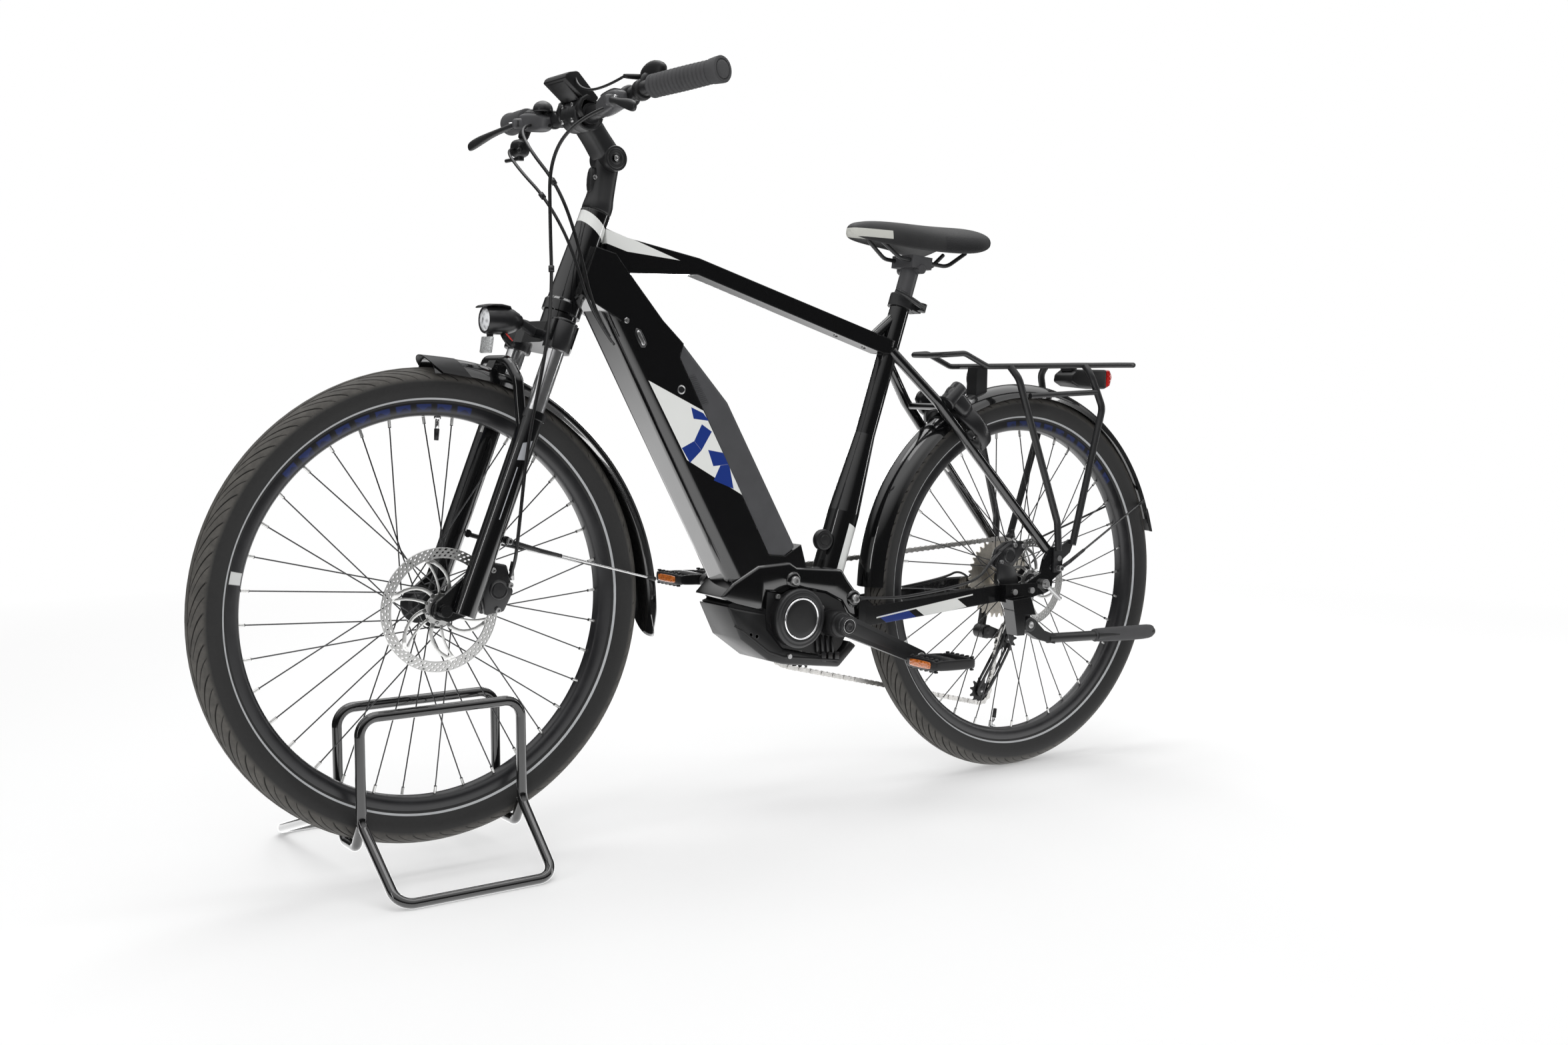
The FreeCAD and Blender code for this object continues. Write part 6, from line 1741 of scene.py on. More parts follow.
@dataclass
class Chain:
    """A roller chain laid link by link round the drive.

    Each wheel has its x, its z, its teeth and 1 or -1 for the side that the chain passes it
    on: the chainring, the tension pulley, the guide pulley and the sprocket.
    """

    place: Place
    line: float = 42.0
    pitch: float = 12.7
    wheels: tuple[tuple[float, float, int, int], ...] = (
        (-461.0, -52.5, 44, 1), (-35.0, -213.0, 11, 1), (28.0, -118.0, 11, -1),
        (0.0, 0.0, 36, 1))

    def pitch_radius(self, teeth: int) -> float:
        """The radius that the pins run at round a wheel."""
        return self.pitch / (2 * math.sin(math.pi / teeth))

    def run(self) -> list[Spot]:
        """Points along the chain's closed line, a millimetre or so apart."""
        circles = [(x, z, turn * self.pitch_radius(teeth)) for x, z, teeth, turn in self.wheels]
        normals = []
        for (x0, z0, r0), (x1, z1, r1) in zip(circles, [*circles[1:], circles[0]]):
            gap = math.hypot(x1 - x0, z1 - z0)
            normals.append(math.atan2(z1 - z0, x1 - x0) - math.acos((r0 - r1) / gap))
        spots: list[Spot] = []
        for index, (x, z, r) in enumerate(circles):
            enter, leave = normals[index - 1], normals[index]
            turn = (leave - enter) % (2 * math.pi)
            if r < 0:
                turn -= 2 * math.pi
            count = max(2, int(abs(turn * r)))
            spots += [(x + r * math.cos(enter + turn * k / count),
                       z + r * math.sin(enter + turn * k / count)) for k in range(count + 1)]
            nx, nz, nr = circles[(index + 1) % len(circles)]
            end = (nx + nr * math.cos(leave), nz + nr * math.sin(leave))
            steps = max(2, int(math.dist(spots[-1], end)))
            last = spots[-1]
            spots += [(last[0] + (end[0] - last[0]) * k / steps,
                       last[1] + (end[1] - last[1]) * k / steps) for k in range(1, steps)]
        return spots

    def pins(self) -> list[Spot]:
        """The chain's pins, evenly spaced along its line."""
        spots = self.run()
        spots.append(spots[0])
        lengths = [0.0]
        for a, b in zip(spots, spots[1:]):
            lengths.append(lengths[-1] + math.dist(a, b))
        count = 2 * round(lengths[-1] / self.pitch / 2)
        pins, at = [], 0
        for index in range(count):
            want = lengths[-1] * index / count
            while lengths[at + 1] < want:
                at += 1
            share = (want - lengths[at]) / max(1e-6, lengths[at + 1] - lengths[at])
            pins.append((spots[at][0] + (spots[at + 1][0] - spots[at][0]) * share,
                         spots[at][1] + (spots[at + 1][1] - spots[at][1]) * share))
        return pins

    @staticmethod
    def outline(a: Spot, b: Spot) -> list[Spot]:
        """A link plate's waisted outline between two pins."""
        end, waist = 4.5, 2.9
        angle = math.atan2(b[1] - a[1], b[0] - a[0])
        corners = []
        for centre, start in ((b, -90), (a, 90)):
            for step in range(7):
                lean = angle + math.radians(start + 30 * step)
                corners.append((centre[0] + end * math.cos(lean),
                                centre[1] + end * math.sin(lean)))
            side = angle - math.radians(start)
            corners.append(((a[0] + b[0]) / 2 + waist * math.cos(side),
                            (a[1] + b[1]) / 2 + waist * math.sin(side)))
        return corners

    def links(self, name: str, pins: Sequence[Spot], numbers: Iterable[int]) -> Item:
        """Some of the chain's links as one mesh.

        Args:
            name: The piece's name.
            pins: All the chain's pins.
            numbers: The links to make, each by the number of its first pin.

        Returns:
            The piece.
        """
        points: list[Vector] = []
        faces: list[tuple[int, ...]] = []

        def solid(outline: list[Spot], low: float, high: float) -> None:
            """Add an outline made thick between two distances from the chain's line."""
            base, count = len(points), len(outline)
            for y in (low, high):
                points.extend(self.place.point(x, self.line + y, z) for x, z in outline)
            faces.append(tuple(range(base, base + count)))
            faces.append(tuple(range(base + 2 * count - 1, base + count - 1, -1)))
            for step in range(count):
                after = (step + 1) % count
                faces.append((base + step, base + count + step, base + count + after,
                              base + after))

        for number in numbers:
            pin, follow = pins[number % len(pins)], pins[(number + 1) % len(pins)]
            inner, outer = (1.6, 2.5) if number % 2 else (2.6, 3.5)
            plate = self.outline(pin, follow)
            solid(plate, inner, outer)
            solid(plate, -outer, -inner)
            for radius, steps, half in ((3.7, 10, 1.5), (1.8, 8, 3.8)):
                solid([(pin[0] + radius * c, pin[1] + radius * s) for c, s in circle(steps)],
                      -half, half)
        item = Bench.outward(Bench.mesh(name, points, faces, smooth=False))
        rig.slot(item, "chain_steel")
        return Bench.finish(item, CHAIN)

    def build(self) -> None:
        """Make the chain in three pieces, two of which bend with the cage's pulleys."""
        pins = self.pins()
        chainring, tension_pulley, guide_pulley, sprocket = [
            [k for k, pin in enumerate(pins)
             if math.dist(pin, (x, z)) < self.pitch_radius(teeth) + 0.6]
            for x, z, teeth, _ in self.wheels]
        leave, turn = max(chainring), guide_pulley[len(guide_pulley) // 2]
        tension, enter = min(tension_pulley), min(sprocket)
        spots = [self.place.point(pins[k][0], self.line, pins[k][1])
                 for k in (leave, tension, guide_pulley[-1], enter)]
        whole = self.links("chain_links", pins, range(enter, len(pins) + leave))
        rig.ride(whole, Body.FRAME.value)
        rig.replaces(whole, "chain")
        lower = self.links("chain_lower_run", pins, range(leave, turn))
        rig.blend(lower, Body.FRAME.value, Body.CAGE.value, start=spots[0], end=spots[1])
        upper = self.links("chain_guide_run", pins, range(turn, enter))
        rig.blend(upper, Body.CAGE.value, Body.FRAME.value, start=spots[2], end=spots[3])


# ---------------------------------------------------------------- frame's trim
def tube_trim() -> None:
    """The battery's keyhole, the cable port, its bolt and the seat tube's round cap."""
    kit = Kit(PLACES["down"])
    kit.turned(BOLT, (62.5, 0, 329), [(-41, 7.4), (-43, 7.2), (-43.2, 6.4), (-42.4, 5.2)])
    kit.turned(LAMP, (62.5, 0, 329), [(-42.2, 5.3), (-42.4, 0.1)])
    kit.limb(LAMP, [(34.9, -42, 417, 1, 0.4), (34.9, -42, 420, 6, 1.6),
                    (34.9, -42, 428, 7, 2.4), (34.9, -42, 444, 6.6, 2.2),
                    (34.9, -42, 450, 1, 0.4)], 2.4, (0, 1, 0))
    kit.limb(BOLT, [(34.9, -43.6, 421, 1, 0.3), (34.9, -43.6, 423, 3.4, 0.9),
                    (34.9, -44, 443, 3.4, 0.9), (34.9, -43.6, 446, 1, 0.3)], 2.4, (0, 1, 0))
    kit.screw((25.4, -42, 468), 4.4, 2.4)
    kit.done("down_tube_trim", Body.FRAME, "lamp_black")
    kit = Kit(PLACES["bike"])
    kit.turned(PLASTIC, (-465, 0, 85), [
        (-17, 0.1), (-17, 16), (-18, 17.6), (-26, 18), (-28, 16.6), (-28.6, 14), (-27.6, 13),
        (-27.8, 9), (-29.4, 8), (-29.8, 0.1)])
    kit.done("seat_tube_cap", Body.FRAME, "dark_plastic")


def skid_plate_trim() -> None:
    """The filler plate, the slots, the plugs and the seam on the tray under the drive."""
    kit = Kit(PLACES["bracket"])
    kit.plate(PLASTIC, -43, 35, [(-206, 38), (-194, 42), (-136, 30), (-124, 24),
                                 (-128, 0), (-150, 8), (-200, 22)], 1.0)
    for x in (-14, 0, 14):
        kit.plate(LAMP, -49.6, -48.6, [(x - 4.4, -49), (x + 4.4, -50.6), (x + 4.4, -66),
                                       (x - 4.4, -64.4)], 0.3)
    for x, z in ((-164, -12), (-152, -15)):
        kit.turned(LAMP, (x, 0, z), [(-48.8, 4.6), (-49.8, 4.2), (-49.9, 3.2), (-49.2, 2.8),
                                     (-49.2, 0.1)])
    kit.limb(PLASTIC, [(-196, -48.4, 4, 1, 1.4), (-180, -49.6, -5, 1.4, 2),
                       (-128, -49.8, -42, 1.4, 2.2), (-98, -49.8, -52, 1.4, 2.2),
                       (18, -49.4, -65, 1.2, 1.8)], 3.0)
    kit.done("skid_plate_trim", Body.FRAME, "dark_plastic")


def battery_ribs() -> None:
    """The finger ribs at the battery's upper end."""
    kit = Kit(PLACES["down"])
    for index in range(16):
        z, low = 288 + index * 3.3, 86.4 - index * 0.12
        kit.limb(SHELL, [(low, -40.2, z + 1.5, 0.3, 0.5), (low + 1.2, -40.6, z + 1.3, 0.8, 0.9),
                         (low + 11, -40.6, z - 1.4, 0.8, 0.9),
                         (low + 12.2, -40.2, z - 1.7, 0.3, 0.5)], 2.4, (0, 1, 0), 8)
    kit.done("battery_ribs", Body.BATTERY, "battery_cover")


def motor_shells() -> None:
    """The cradle over the drive unit and the tray under it, with well rounded edges."""
    kit = Kit(PLACES["bracket"])
    kit.plate(GLOSS, -46.4, 37, [
        (-222, 50.5), (-199, 73), (-150, 100), (-87, 104.5), (-72, 95.5), (-13, 91.5),
        (22, 89.5), (36, 70.5), (57, 47.5), (75, 4.5), (57, -2), (36, 12.5), (22, 34.5),
        (-11, 49.5), (-41, 55.5), (-71, 61.5), (-100, 51.5), (-133, 57.5), (-137, 39.5),
        (-135, 23.5), (-194, 38.5)], 5.0)
    for x, z in CRADLE_BOLTS:
        kit.turned(GLOSS, (x, 0, z), [(-44, 15), (-48, 14), (-50, 12), (-50.4, 9.6),
                                      (-50.4, 0.1)])
    kit.done("motor_cradle_rounded", Body.FRAME, "frame_black", "motor_cradle")
    kit = Kit(PLACES["bracket"])
    kit.plate(PLASTIC, -49.2, 39.4, [
        (-211, 36.5), (-195, 32.5), (-134, 20.5), (-131, -3.5), (-98, -38.5), (9, -61.5),
        (31, -44.5), (40, -32.5), (56, -41.5), (19, -76.5), (-97, -64.5), (-127, -56.5),
        (-182, -18.5)], 4.0)
    kit.plate(PLASTIC, -45.6, 35, [(-190, 24), (-134, 14), (-96, -40), (12, -62), (44, -40),
                                   (20, -72), (-97, -60), (-124, -52), (-172, -18)], 1.0)
    kit.done("skid_plate_rounded", Body.FRAME, "dark_plastic", "skid_plate")


def crank_trim() -> None:
    """Rounded skins for both crank arms, with their bolts."""
    kit = Kit(PLACES["crank"])
    for s in (-1, 1):
        kit.limb(SATIN, [(-s * x, s * y, 0, wide, high) for x, y, wide, high in (
            (-18.4, 89.5, 3, 4), (-14, 89.5, 7, 12.6), (0, 89.5, 8, 18), (24, 89.5, 8, 17.6),
            (60, 89.5, 7.9, 16.6), (140, 89.6, 7.8, 14.2), (170, 89.6, 7.8, 13.8),
            (180, 89.6, 7, 9), (184.4, 89.6, 3, 4))], 3.4)
        for finish, profile in (
                (SATIN, [(96.5, 15.6), (98.6, 15.2), (99, 14), (98, 12.6)]),
                (BOLT, [(98, 12.4), (99.2, 12), (99.3, 11.2), (97.8, 10.8)])):
            kit.turned(finish, (0, 0, 0), [(s * y, r) for y, r in profile])
        kit.screw((0, s * 97.4, 0), 8.4, 1.6, s, LAMP)
        kit.turned(BOLT, (-s * 170, 0, 0), [(s * 97, 9.4), (s * 99, 9.2), (s * 99.2, 7.4),
                                            (s * 99.2, 7.0)])
    kit.done("crank_arm_skins", Body.CRANKS, "satin_black")


def ring_lock() -> None:
    """The rounded arch over the tyre, its key cylinder and its feet."""
    kit = Kit(PLACES["lock"])
    x, z, bend = -309.0, 79.0, 58
    skins = []
    for wide, high, square in ((8.2, 17.0, 2.8), (5.9, 5.9, 2.0)):
        arch = [(x + bend * math.cos(a), bend * math.sin(a), z, wide, high)
                for a in (math.radians(50 + 260 * index / 32) for index in range(33))]
        skins.append(Bench.rings(kit.place, arch, square, 20, (0, 0, 1)))
    arch_skin = Bench.loft("arch", skins[0] + skins[1][::-1], closed=True)
    kit.add(LAMP, Bench.creased(arch_skin, 50))
    kit.limb(LAMP, [(-346, -56, z, 6, 11), (-356, -56, z, 9, 15), (-376, -50, z, 11, 16.6),
                    (-388, -46, z, 12, 17), (-399, -46, z, 8, 13), (-403, -46, z, 3, 5)], 2.8)
    kit.limb(LAMP, [(-346, 52, z, 6, 11), (-356, 52, z, 9, 14), (-374, 44, z, 9.6, 15),
                    (-386, 42, z, 8, 13), (-392, 42, z, 3, 5)], 2.8)
    kit.turned(LAMP, (-386, -46, z), [(-21, 0.1), (-21, 13), (-19, 15), (19, 15.2), (22, 14),
                                      (23.4, 11.6), (23, 9.4), (22, 8.8)], "z")
    kit.turned(CHROME, (-386, -46, z), [(22, 8.8), (22.6, 8), (22.8, 0.1)], "z")
    kit.limb(PLASTIC, [(-305, -62, 57, 5, 4), (-309, -60, 57, 9, 7.6), (-288, -52, 57, 12, 7.6),
                       (-284, -50, 57, 5, 4)], 3.2)
    for side in (-1, 1):
        kit.limb(PLASTIC, [(-323, side * 53, 57, 4, 4), (-320, side * 53, 57, 10, 7),
                           (-291, side * 53, 57, 10, 7), (-288, side * 53, 57, 4, 4)], 3.4)
        kit.screw((-305, side * 62, 57), 4.2, 2.4, side)
    kit.done("ring_lock_rounded", Body.FRAME, "lamp_black", "ring_lock")


# ---------------------------------------------------------------- brakes
@dataclass
class Caliper:
    """A disc brake caliper: two halves, a piston cap, bolts, pads and a hose bolt.

    Its plane is the disc's place along y, between the outer and the inner face. Its foot
    starts and ends along y at the first two numbers.
    """

    name: str
    place: Place
    body: Body
    plane: float
    outer: float
    inner: float
    outline: tuple[Spot, ...]
    cap: Spot
    bolts: tuple[Spot, ...]
    foot: tuple[float, float, tuple[Spot, ...]]

    def shrunk(self, share: float) -> list[Spot]:
        """The outline's first three corners, moved a share of the way to its middle."""
        across, up = (sum(spot[axis] for spot in self.outline) / len(self.outline)
                      for axis in (0, 1))
        return [(x + (across - x) * share, z + (up - z) * share)
                for x, z in self.outline[:3]]

    def build(self) -> None:
        """Make the caliper and put it in its node's place."""
        kit = Kit(self.place)
        gap, outer, (x, z) = 2.4, self.outer, self.cap
        kit.plate(LAMP, outer, self.plane - gap, self.outline, 3.2)
        kit.plate(LAMP, self.plane + gap, self.inner, self.outline, 2.6)
        kit.plate(LAMP, self.plane - 3, self.plane + 3,
                  self.shrunk(0.12) + self.shrunk(0.62)[:0:-1], 0.6)
        kit.turned(LAMP, (x, 0, z), [(outer + 1, 15), (outer - 1.6, 14.6), (outer - 2.4, 13),
                                     (outer - 1.6, 10.4), (outer - 3, 9.6),
                                     (outer - 3.2, 0.1)])
        for bx, bz in self.bolts:
            kit.screw((bx, outer, bz), 4.4, 3.4)
        kit.rod(BOLT, (x + 17, outer + 5, z + 20), (x + 12, outer + 5, z + 34), 4.2, 3.2)
        kit.rod(PLASTIC, (x + 12, outer + 5, z + 32), (x + 9, outer + 4, z + 46), 3.6, 2.9)
        low, high, outline = self.foot
        kit.plate(SATIN, low, high, outline, 1.6)
        kit.done(f"{self.name}_detailed", self.body, "lamp_black", self.name)


def disc(node: str, place: Place, body: Body, finish: DiscSteel) -> None:
    """A brake disc: a slotted ring on curved arms, with six bolts.

    Args:
        node: The node that it replaces.
        place: The axle's place.
        body: The wheel that it turns with.
        finish: Its steel, which says where the ring starts.
    """
    kit = Kit(place)
    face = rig.box(node)[0].y / MM + 1.2
    back = face + 1.8
    inner, hub = finish.inner, 22.0
    for low, high in ((inner, inner + 15), (15.2, 24.0)):
        kit.turned(finish, (0, 0, 0), [
            (face, low), (face + 0.2, low - 0.2), (back, low - 0.2), (back, high),
            (face + 0.2, high), (face, high - 0.2)], "y", 40, 144, True)
    for index in range(6):
        for bend, lead, wide in ((46.0, 0.0, 2.9), (14.0, 34.0, 2.0)):
            run = []
            for share in (step / 8 for step in range(9)):
                angle = math.radians(60 * index + lead + bend * share ** 1.3)
                r = hub + (inner + 1.5 - hub) * share
                width = wide * (1.25 - 0.7 * math.sin(math.pi * share) ** 0.8 * 0.6)
                run.append((r * math.cos(angle), (face + back) / 2, r * math.sin(angle), width,
                            0.88))
            kit.limb(finish, run, 8.0, (0, 1, 0), 12)
        turn = math.radians(60 * index + 15)
        kit.screw((19.5 * math.cos(turn), face, 19.5 * math.sin(turn)), 3.2, 1.2)
    kit.done(f"{node}_curved_arms", body, "disc_steel", node)


# ---------------------------------------------------------------- rear corner
def derailleur_cage() -> None:
    """Two open side plates with the pulleys' pins, and the pin that the cage swings on."""
    kit = Kit(PLACES["bike"])
    pulleys = ((28, -118), (-35, -213))
    for low, high in ((36.6, 38.2), (45.8, 47.4)):
        for run in (((28, -106), (40, -117), (34, -134), (-18, -216), (-34, -225)),
                    ((20, -109), (6, -136), (-40, -203), (-47, -213), (-36, -224))):
            kit.limb(LAMP, [(x, (low + high) / 2, z, 1.0, 3.4) for x, z in run], 3.0,
                     (0.8, 0, -0.6), 12)
        for x, z in pulleys:
            kit.turned(LAMP, (x, 0, z), [(low, 0.1), (low, 8.6), (high, 8.6), (high, 0.1)])
            kit.screw((x, high, z), 3.4, 1.2, 1)
    kit.plate(LAMP, 45.8, 47.4, [(-26, -96), (-12, -92), (28, -106), (20, -118), (-30, -114)],
              0.5)
    for x, z in pulleys:
        kit.rod(BOLT, (x, 36, z), (x, 48.2, z), 3.0)
    kit.rod(SATIN, (-17, 46, -103), (-17, 62, -103), 5.0)
    kit.done("derailleur_cage_open", Body.CAGE, "dark_plastic", "derailleur_cage")


def kickstand_foot() -> None:
    """The kickstand's rubber foot and its knuckle."""
    kit = Kit(PLACES["bike"])
    kit.limb(GRIP, [(117, -94.5, -99, 7, 8), (120, -94.5, -99, 10.4, 11.4),
                    (128, -94.5, -99, 11, 12.6), (190, -94.5, -99.4, 10.6, 13.4),
                    (256, -94.5, -99.6, 9.6, 14), (274, -94.5, -98, 8.6, 12.6),
                    (281, -94.5, -97, 3, 6)], 3.4)
    kit.turned(SATIN, (-51, 0, -70), [(-86, 14), (-101, 14), (-103, 12), (-103, 7)])
    kit.screw((-51, -102.6, -70), 6.4, 1.6)
    kit.done("kickstand_foot", Body.KICKSTAND, "grip_rubber")


# ---------------------------------------------------------------- fork and stem
def fork_trim() -> None:
    """Polished skins for the stanchions, caps on the crown and the neck of the stem."""
    kit = Kit(PLACES["steer"])
    for side in (-1, 1):
        leg = (-19, side * 62, 0)
        kit.turned(STANCHION, leg, [(-168, 14.3), (-66, 14.3)], "z")
        kit.turned(LAMP, leg, [(-66.4, 14.4), (-67, 20), (-65, 20.6), (-26, 20.6), (-22, 18.6),
                               (-21.4, 14), (-19, 13), (-18, 10.4), (-18, 0.1)], "z")
    kit.done("fork_crown_trim", Body.STEERING, "lamp_black")
    kit = Kit(PLACES["steer"])
    kit.limb(SATIN, [(0, 0, 165, 21.5, 21.5), (0, 0, 168, 22.2, 22.2), (0, 0, 181, 22.2, 22.2),
                     (-1, 0, 186, 20.6, 20.6), (-3, 0, 205, 17.4, 19.6), (-6, 0, 224, 13.4, 20),
                     (-9, 0, 244, 12.2, 20), (-9.5, 0, 262, 11.6, 16), (-9, 0, 270, 7, 8)],
             2.4, (1, 0, 0), 32)
    kit.limb(SATIN, [(-17, 0, 190, 6, 5), (-21, 0, 200, 8.4, 7), (-27, 0, 222, 8.4, 7),
                     (-28, 0, 230, 5, 5)], 3.0, (1, 0, 0))
    kit.screw((-24, -8, 214), 4.0, 1.8)
    kit.done("stem_neck_smooth", Body.STEERING, "satin_black", "stem_base")


# ---------------------------------------------------------------- cables
@dataclass(frozen=True)
class Hose:
    """A hose or cable: control points, radius, the bodies it bends between and its split."""

    name: str
    place: str
    radius: float
    points: tuple[Point, ...]
    bodies: tuple[str, ...]
    split: float = 1.0
    stands_for: tuple[str, ...] = ()

    def build(self) -> None:
        """Make the hose in spans, with a clip where one span passes to the next."""
        line = Bench.route([PLACES[self.place].point(*point) for point in self.points])
        spans = list(zip(self.bodies, self.bodies[1:]))
        start = 0
        for index, (body, follow) in enumerate(spans, 1):
            last = index == len(spans)
            stop = len(line) - 1 if last else int((len(line) - 1) * self.split)
            part = line[start:stop + 1]
            title = self.name if len(spans) == 1 else f"{self.name}_{index}"
            item = Bench.finish(Bench.pipe(title, part, self.radius), CABLE)
            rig.slot(item, "cable_black")
            if body == follow:
                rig.ride(item, body)
            else:
                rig.blend(item, body, follow, start=part[0], end=part[-1])
            if index == 1 and self.stands_for:
                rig.replaces(item, *self.stands_for)
            length = sum((b - a).length for a, b in zip(part, part[1:]))
            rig.cord(item, exit=part[0], length=round(length, 3), diameter=self.radius * 2 * MM,
                    far_end="object", stiffness="stiff", lay="loose", path=part)
            log.info("%s is %.3f m long", title, length)
            if not last:
                along = (line[stop + 1] - line[stop - 1]).normalized() * 4.5 * MM
                clip = Bench.rod(f"{self.name}_clip_{index}", line[stop] - along,
                                 line[stop] + along, self.radius + 1.7)
                Bench.keep(Bench.finish(clip, LAMP), Body.STEERING, "lamp_black")
            start = stop


HOSES: tuple[Hose, ...] = (
    Hose("front_brake_hose", "head", 2.6, (
        (14.4, -126, 299.5), (-25.6, -96, 281.5), (-51.6, -52, 225.5), (-43.6, -44, 125.5),
        (-45.6, -58, 35.5), (-67.6, -88, -54.5), (-93.6, -86, -184.5), (-105.6, -85, -324.5),
        (-107.6, -78, -374.5), (-101.6, -48, -392.5)),
        ("cockpit", "steering", "fork_lower"), 0.4, ("steering_cables",)),
    Hose("rear_brake_hose", "head", 2.6, (
        (14.4, 126, 299.5), (-31.6, 84, 287.5), (-51.6, 18, 245.5), (-25.6, -34, 185.5),
        (0.4, -50, 105.5), (28.4, -50, 5.5), (60.4, -43.5, -30.5)),
        ("cockpit", "steering", "frame"), 0.48),
    Hose("gear_cable", "head", 2.4, (
        (6.4, 176, 265.5), (-37.6, 120, 255.5), (-57.6, 36, 215.5), (-41.6, -28, 165.5),
        (-14.6, -60, 95.5), (18.4, -60, 1.5), (68.4, -44, -42.5)),
        ("cockpit", "steering", "frame"), 0.48),
    Hose("remote_lead", "head", 2.0, (
        (8.4, -160, 333.5), (-3.6, -110, 317.5), (-7.6, -50, 329.5), (0.4, -30, 349.5)),
        ("cockpit", "cockpit")),
    Hose("rear_brake_hose_lower", "bike", 2.6, (
        (-408, -55.4, -12), (-330, -55, -16), (-278, -61, -10), (-220, -66, -2),
        (-150, -70, 12), (-112, -64, 50), (-86, -54, 58)), ("frame", "frame"), 1.0,
        ("frame_cables",)),
    Hose("gear_cable_rear", "bike", 2.2, (
        (-386, 30, -25), (-350, 34.5, -22), (-281, 41, -16), (-120, 57, 1.4), (-60, 84, 12),
        (-6, 96, -20), (14, 94, -70), (-10, 74, -96)), ("frame", "frame")))


# ---------------------------------------------------------------- stage
@dataclass
class Studio:
    """The floor, the lamps, the surroundings and the camera."""

    floor_half: float = 60.0
    floor_colour: Colour = (0.9, 0.9, 0.9)
    near: float = 1.3
    fade: float = 2.2
    camera_at: Point = (-1.5897, -2.2743, 0.7338)
    camera_yaw: float = 35.684
    camera_pitch: float = 5.161
    lens: float = 38.64
    sensor: float = 36.0
    target: Point = (0, 0, 0.6)

    def floor(self) -> None:
        """A pale floor that keeps the bicycle's shadow."""
        half = self.floor_half
        corners = [Vector((x, y, 0)) for x, y in ((-half, -half), (half, -half),
                                                  (half, half), (-half, half))]
        item = Bench.mesh("floor", corners, [(0, 1, 2, 3)], smooth=False)
        net = Net("floor_finish")
        diffuse = net.add("ShaderNodeBsdfDiffuse", {}, {"Color": (*self.floor_colour, 1.0)})
        lift, bright, dark = (net.light("ShaderNodeEmission", power)
                              for power in (1.0, 2.0, 0.05))
        eye, gloss = net.rays()
        away = Signal(net, net.vector("LENGTH", net.spot()).outputs["Value"])
        far = ((away - self.near) * (1.0 / self.fade)).kept()
        seen = net.mix(eye * (0.3 + far * 0.7), diffuse.outputs[0], lift)
        net.end(net.mix(gloss, seen, net.mix(((away - 1.3) * 0.9).kept(), bright, dark)))
        item.data.materials.append(net.block)
        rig.stage(item)

    def surroundings(self) -> None:
        """A white world to the eye, even light on the object, and a room in its gloss."""
        net = Net("studio", world=True)
        bpy.context.scene.world = net.block
        eye, gloss = net.rays()
        way = net.add("ShaderNodeTexCoord").outputs["Generated"]
        height = net.add("ShaderNodeSeparateXYZ", {}, {0: way}).outputs["Z"]
        ramp = net.add("ShaderNodeValToRGB", {"stops": [
            (0.3, (0.03, 0.03, 0.03)), (0.72, (1.0, 1.0, 1.0))]}, {"Fac": height})
        even, white, room = (net.light("ShaderNodeBackground", *given) for given in (
            (0.5,), (1.0,), (1.5, ramp.outputs["Color"])))
        net.end(net.mix(gloss, net.mix(eye, even, white), room))

    def lamp(self, name: str, at: Point, size: float, power: float, tall: float = 0.0,
             mirrored: bool = True) -> None:
        """A soft square or oblong lamp at a point, aimed at the object."""
        data = bpy.data.lights.new(name, "AREA")
        data.shape = "RECTANGLE"
        data.size = size
        data.size_y = tall or size
        data.energy = power
        item = Bench.placed(bpy.data.objects.new(name, data))
        item.location = at
        item.rotation_mode = "QUATERNION"
        item.rotation_quaternion = (Vector(self.target) - Vector(at)).to_track_quat("-Z", "Y")
        item.visible_glossy = mirrored

    def camera(self) -> None:
        """The camera at its standing point."""
        data = bpy.data.cameras.new("camera")
        data.lens = self.lens
        data.sensor_width = self.sensor
        data.clip_end = 200.0
        item = Bench.placed(bpy.data.objects.new("camera", data))
        yaw, pitch = math.radians(self.camera_yaw), math.radians(self.camera_pitch)
        ahead = Vector((math.sin(yaw) * math.cos(pitch), math.cos(yaw) * math.cos(pitch),
                        -math.sin(pitch)))
        item.location = self.camera_at
        item.rotation_mode = "QUATERNION"
        item.rotation_quaternion = ahead.to_track_quat("-Z", "Y")
        bpy.context.scene.camera = item

    def build(self) -> None:
        """Set the whole stage."""
        bpy.context.scene.view_settings.view_transform = "Standard"
        self.camera()
        self.floor()
        self.surroundings()
        self.lamp("overhead", (0.0, 0.3, 4.2), 3.2, 85.0)
        self.lamp("left_box", (-2.6, -3.4, 2.6), 2.2, 52.0, mirrored=False)
        self.lamp("right_box", (2.8, 2.6, 2.8), 2.2, 44.0, mirrored=False)
        self.lamp("front_strip", (-3.4, -0.7, 1.1), 0.16, 13.0, 2.2)
        self.lamp("rear_strip", (3.0, -1.0, 1.2), 0.2, 14.0, 2.4)
        self.lamp("far_strip", (1.9, 3.4, 1.0), 0.3, 14.0, 1.8)


# ---------------------------------------------------------------- main
def write_sizes(before: tuple[Vector, Vector], after: tuple[Vector, Vector]) -> None:
    """Write the frame's box and the dressed object's box."""
    with open("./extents.json", "w") as out:
        json.dump({"cad": [list(corner) for corner in before],
                   "visual": [list(corner) for corner in after]}, out)


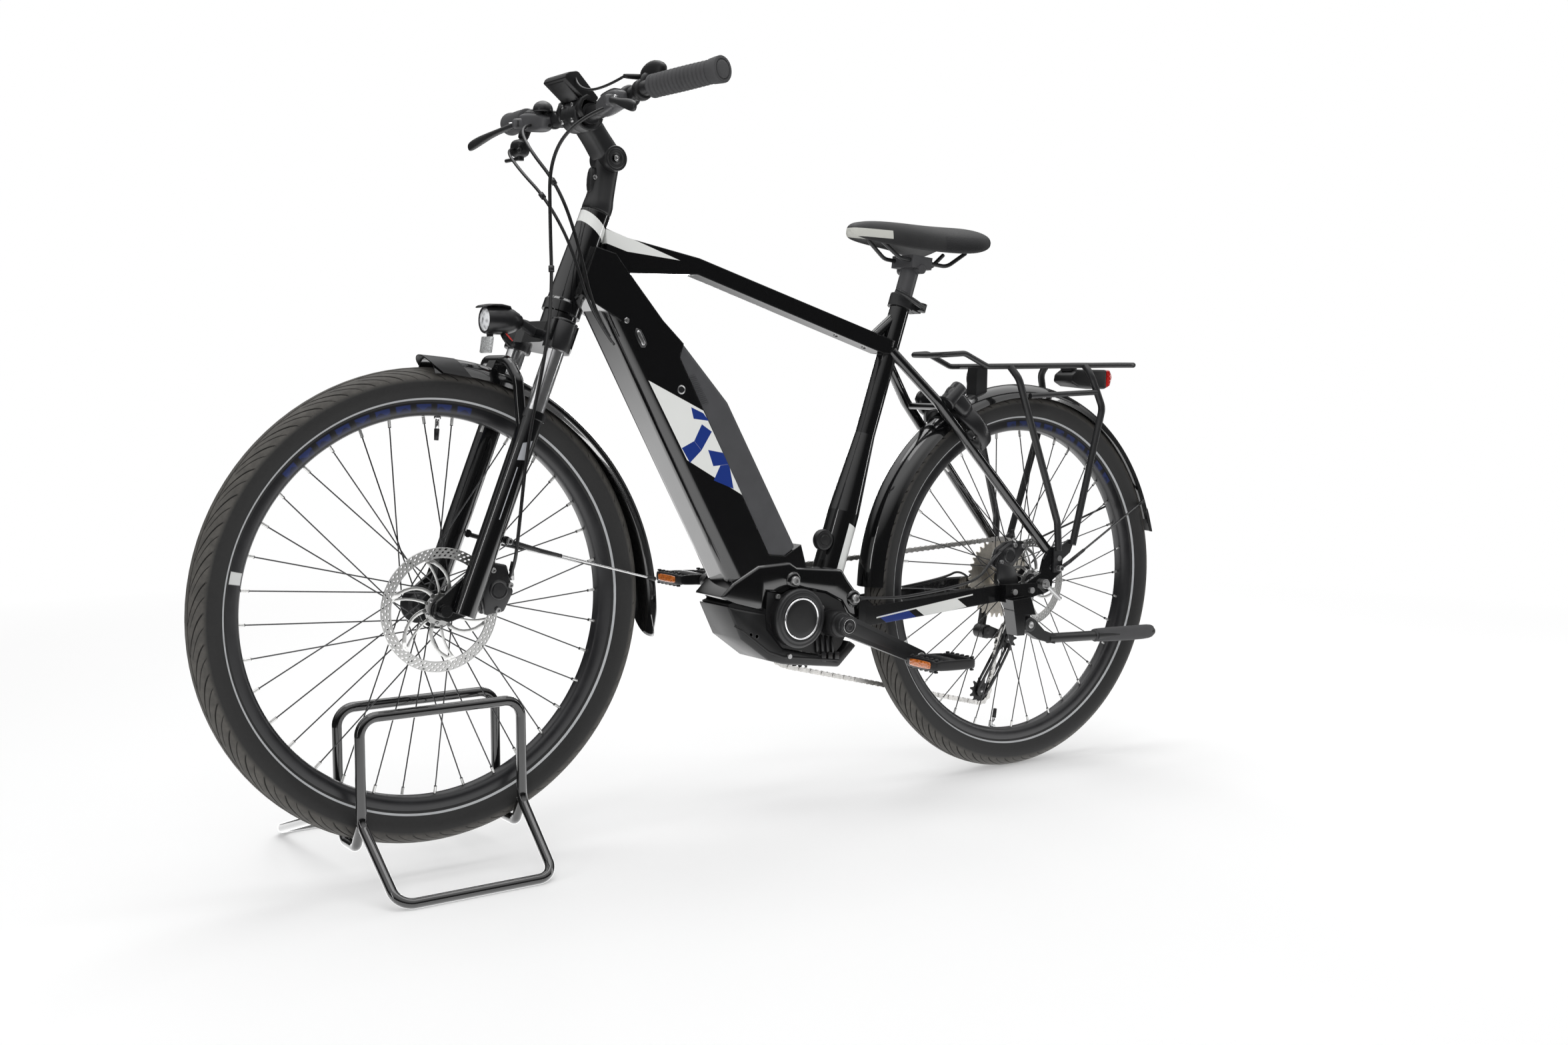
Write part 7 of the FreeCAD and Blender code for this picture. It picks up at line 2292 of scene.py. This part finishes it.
def wheels() -> None:
    """The tyres, the rims and the guards of both wheels."""
    bike, front = PLACES["bike"], PLACES["front"]
    Tyre("front_tyre", front, Body.FRONT_WHEEL, FRONT_RUBBER).build()
    Tyre("rear_tyre", bike, Body.REAR_WHEEL, REAR_RUBBER).build()
    Rim("front_rim", front, Body.FRONT_WHEEL, FRONT_RIM, 88.0).build()
    Rim("rear_rim", bike, Body.REAR_WHEEL, REAR_RIM, 262.0).build()
    Guard("front_mudguard", front, Body.FORK, -9.6, 91.5, (85.0, 93.2, -3.0, -3.6, 0.8, 3.4),
          5.6, 23.0).build()
    Guard("rear_mudguard", bike, Body.FRAME, 17.5, 180.0,
          (21.4, 13.6, 0.0, 1.2, 1.0, 2.6)).build()
    GuardTrim("front_mudguard", front, Body.FORK,
              ((91, -74, 99.5), (144, -68, 84), (365, -31.4, 31)), STAY_WIRE).build()
    GuardTrim("rear_mudguard", bike, Body.FRAME,
              ((33, -86.3, 28), (60, -84, 40), (309, -29, 146)), CABLE).build()


def drive() -> None:
    """The pedals, the drive unit's trim and the chain."""
    layout, crank = Layout(), PLACES["crank"]
    for side in Side:
        pedal(side, crank.child(-side.value * layout.crank_length, 0, 0, -layout.crank_turn))
    drive_trim()
    Chain(PLACES["bike"]).build()


def brakes() -> None:
    """The calipers and the discs."""
    bike = PLACES["bike"]
    Caliper("front_caliper", PLACES["steer"].child(-47.4, 0, -478.5), Body.FORK, -45.0,
            -59.6, -32.4, ((37.4, 86.5), (69.4, 92.5), (93.4, 58.5), (89.4, 26.5),
                           (63.4, 12.5), (47.4, 38.5)), (69, 54),
            ((50, 78), (78, 26), (84, 66)),
            (-36, -32.2, ((34, 84), (42, 90), (66, 30), (60, 14), (46, 30)))).build()
    Caliper("rear_caliper", bike, Body.FRAME, -47.0, -57.8, -36.2,
            ((-98, 34), (-88, 62), (-68, 74), (-36, 78), (-24, 66), (-40, 48), (-58, 30),
             (-80, 24)), (-68, 52), ((-88, 40), (-36, 68), (-56, 70)),
            (-62, -54, ((-98, 40), (-58, 32), (-46, 4), (-50, -4), (-84, -4),
                        (-94, 8)))).build()
    disc("front_rotor", PLACES["front"], Body.FRONT_WHEEL, FRONT_DISC)
    disc("rear_rotor", bike, Body.REAR_WHEEL, REAR_DISC)


def main() -> None:
    """Dress the bicycle and set the stage."""
    logging.basicConfig(level=logging.INFO, format="%(message)s")
    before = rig.bounds()
    Studio().build()
    dress_nodes()
    wheels()
    Saddle(PLACES["perch"]).build()
    Cockpit(PLACES["cockpit"]).build()
    for step in (headlight, tail_light, drive, tube_trim, skid_plate_trim, battery_ribs,
                 motor_shells, crank_trim, ring_lock, derailleur_cage, kickstand_foot,
                 fork_trim, brakes):
        step()
    for hose in HOSES:
        hose.build()
    write_sizes(before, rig.bounds())


if __name__ == "__main__":
    main()
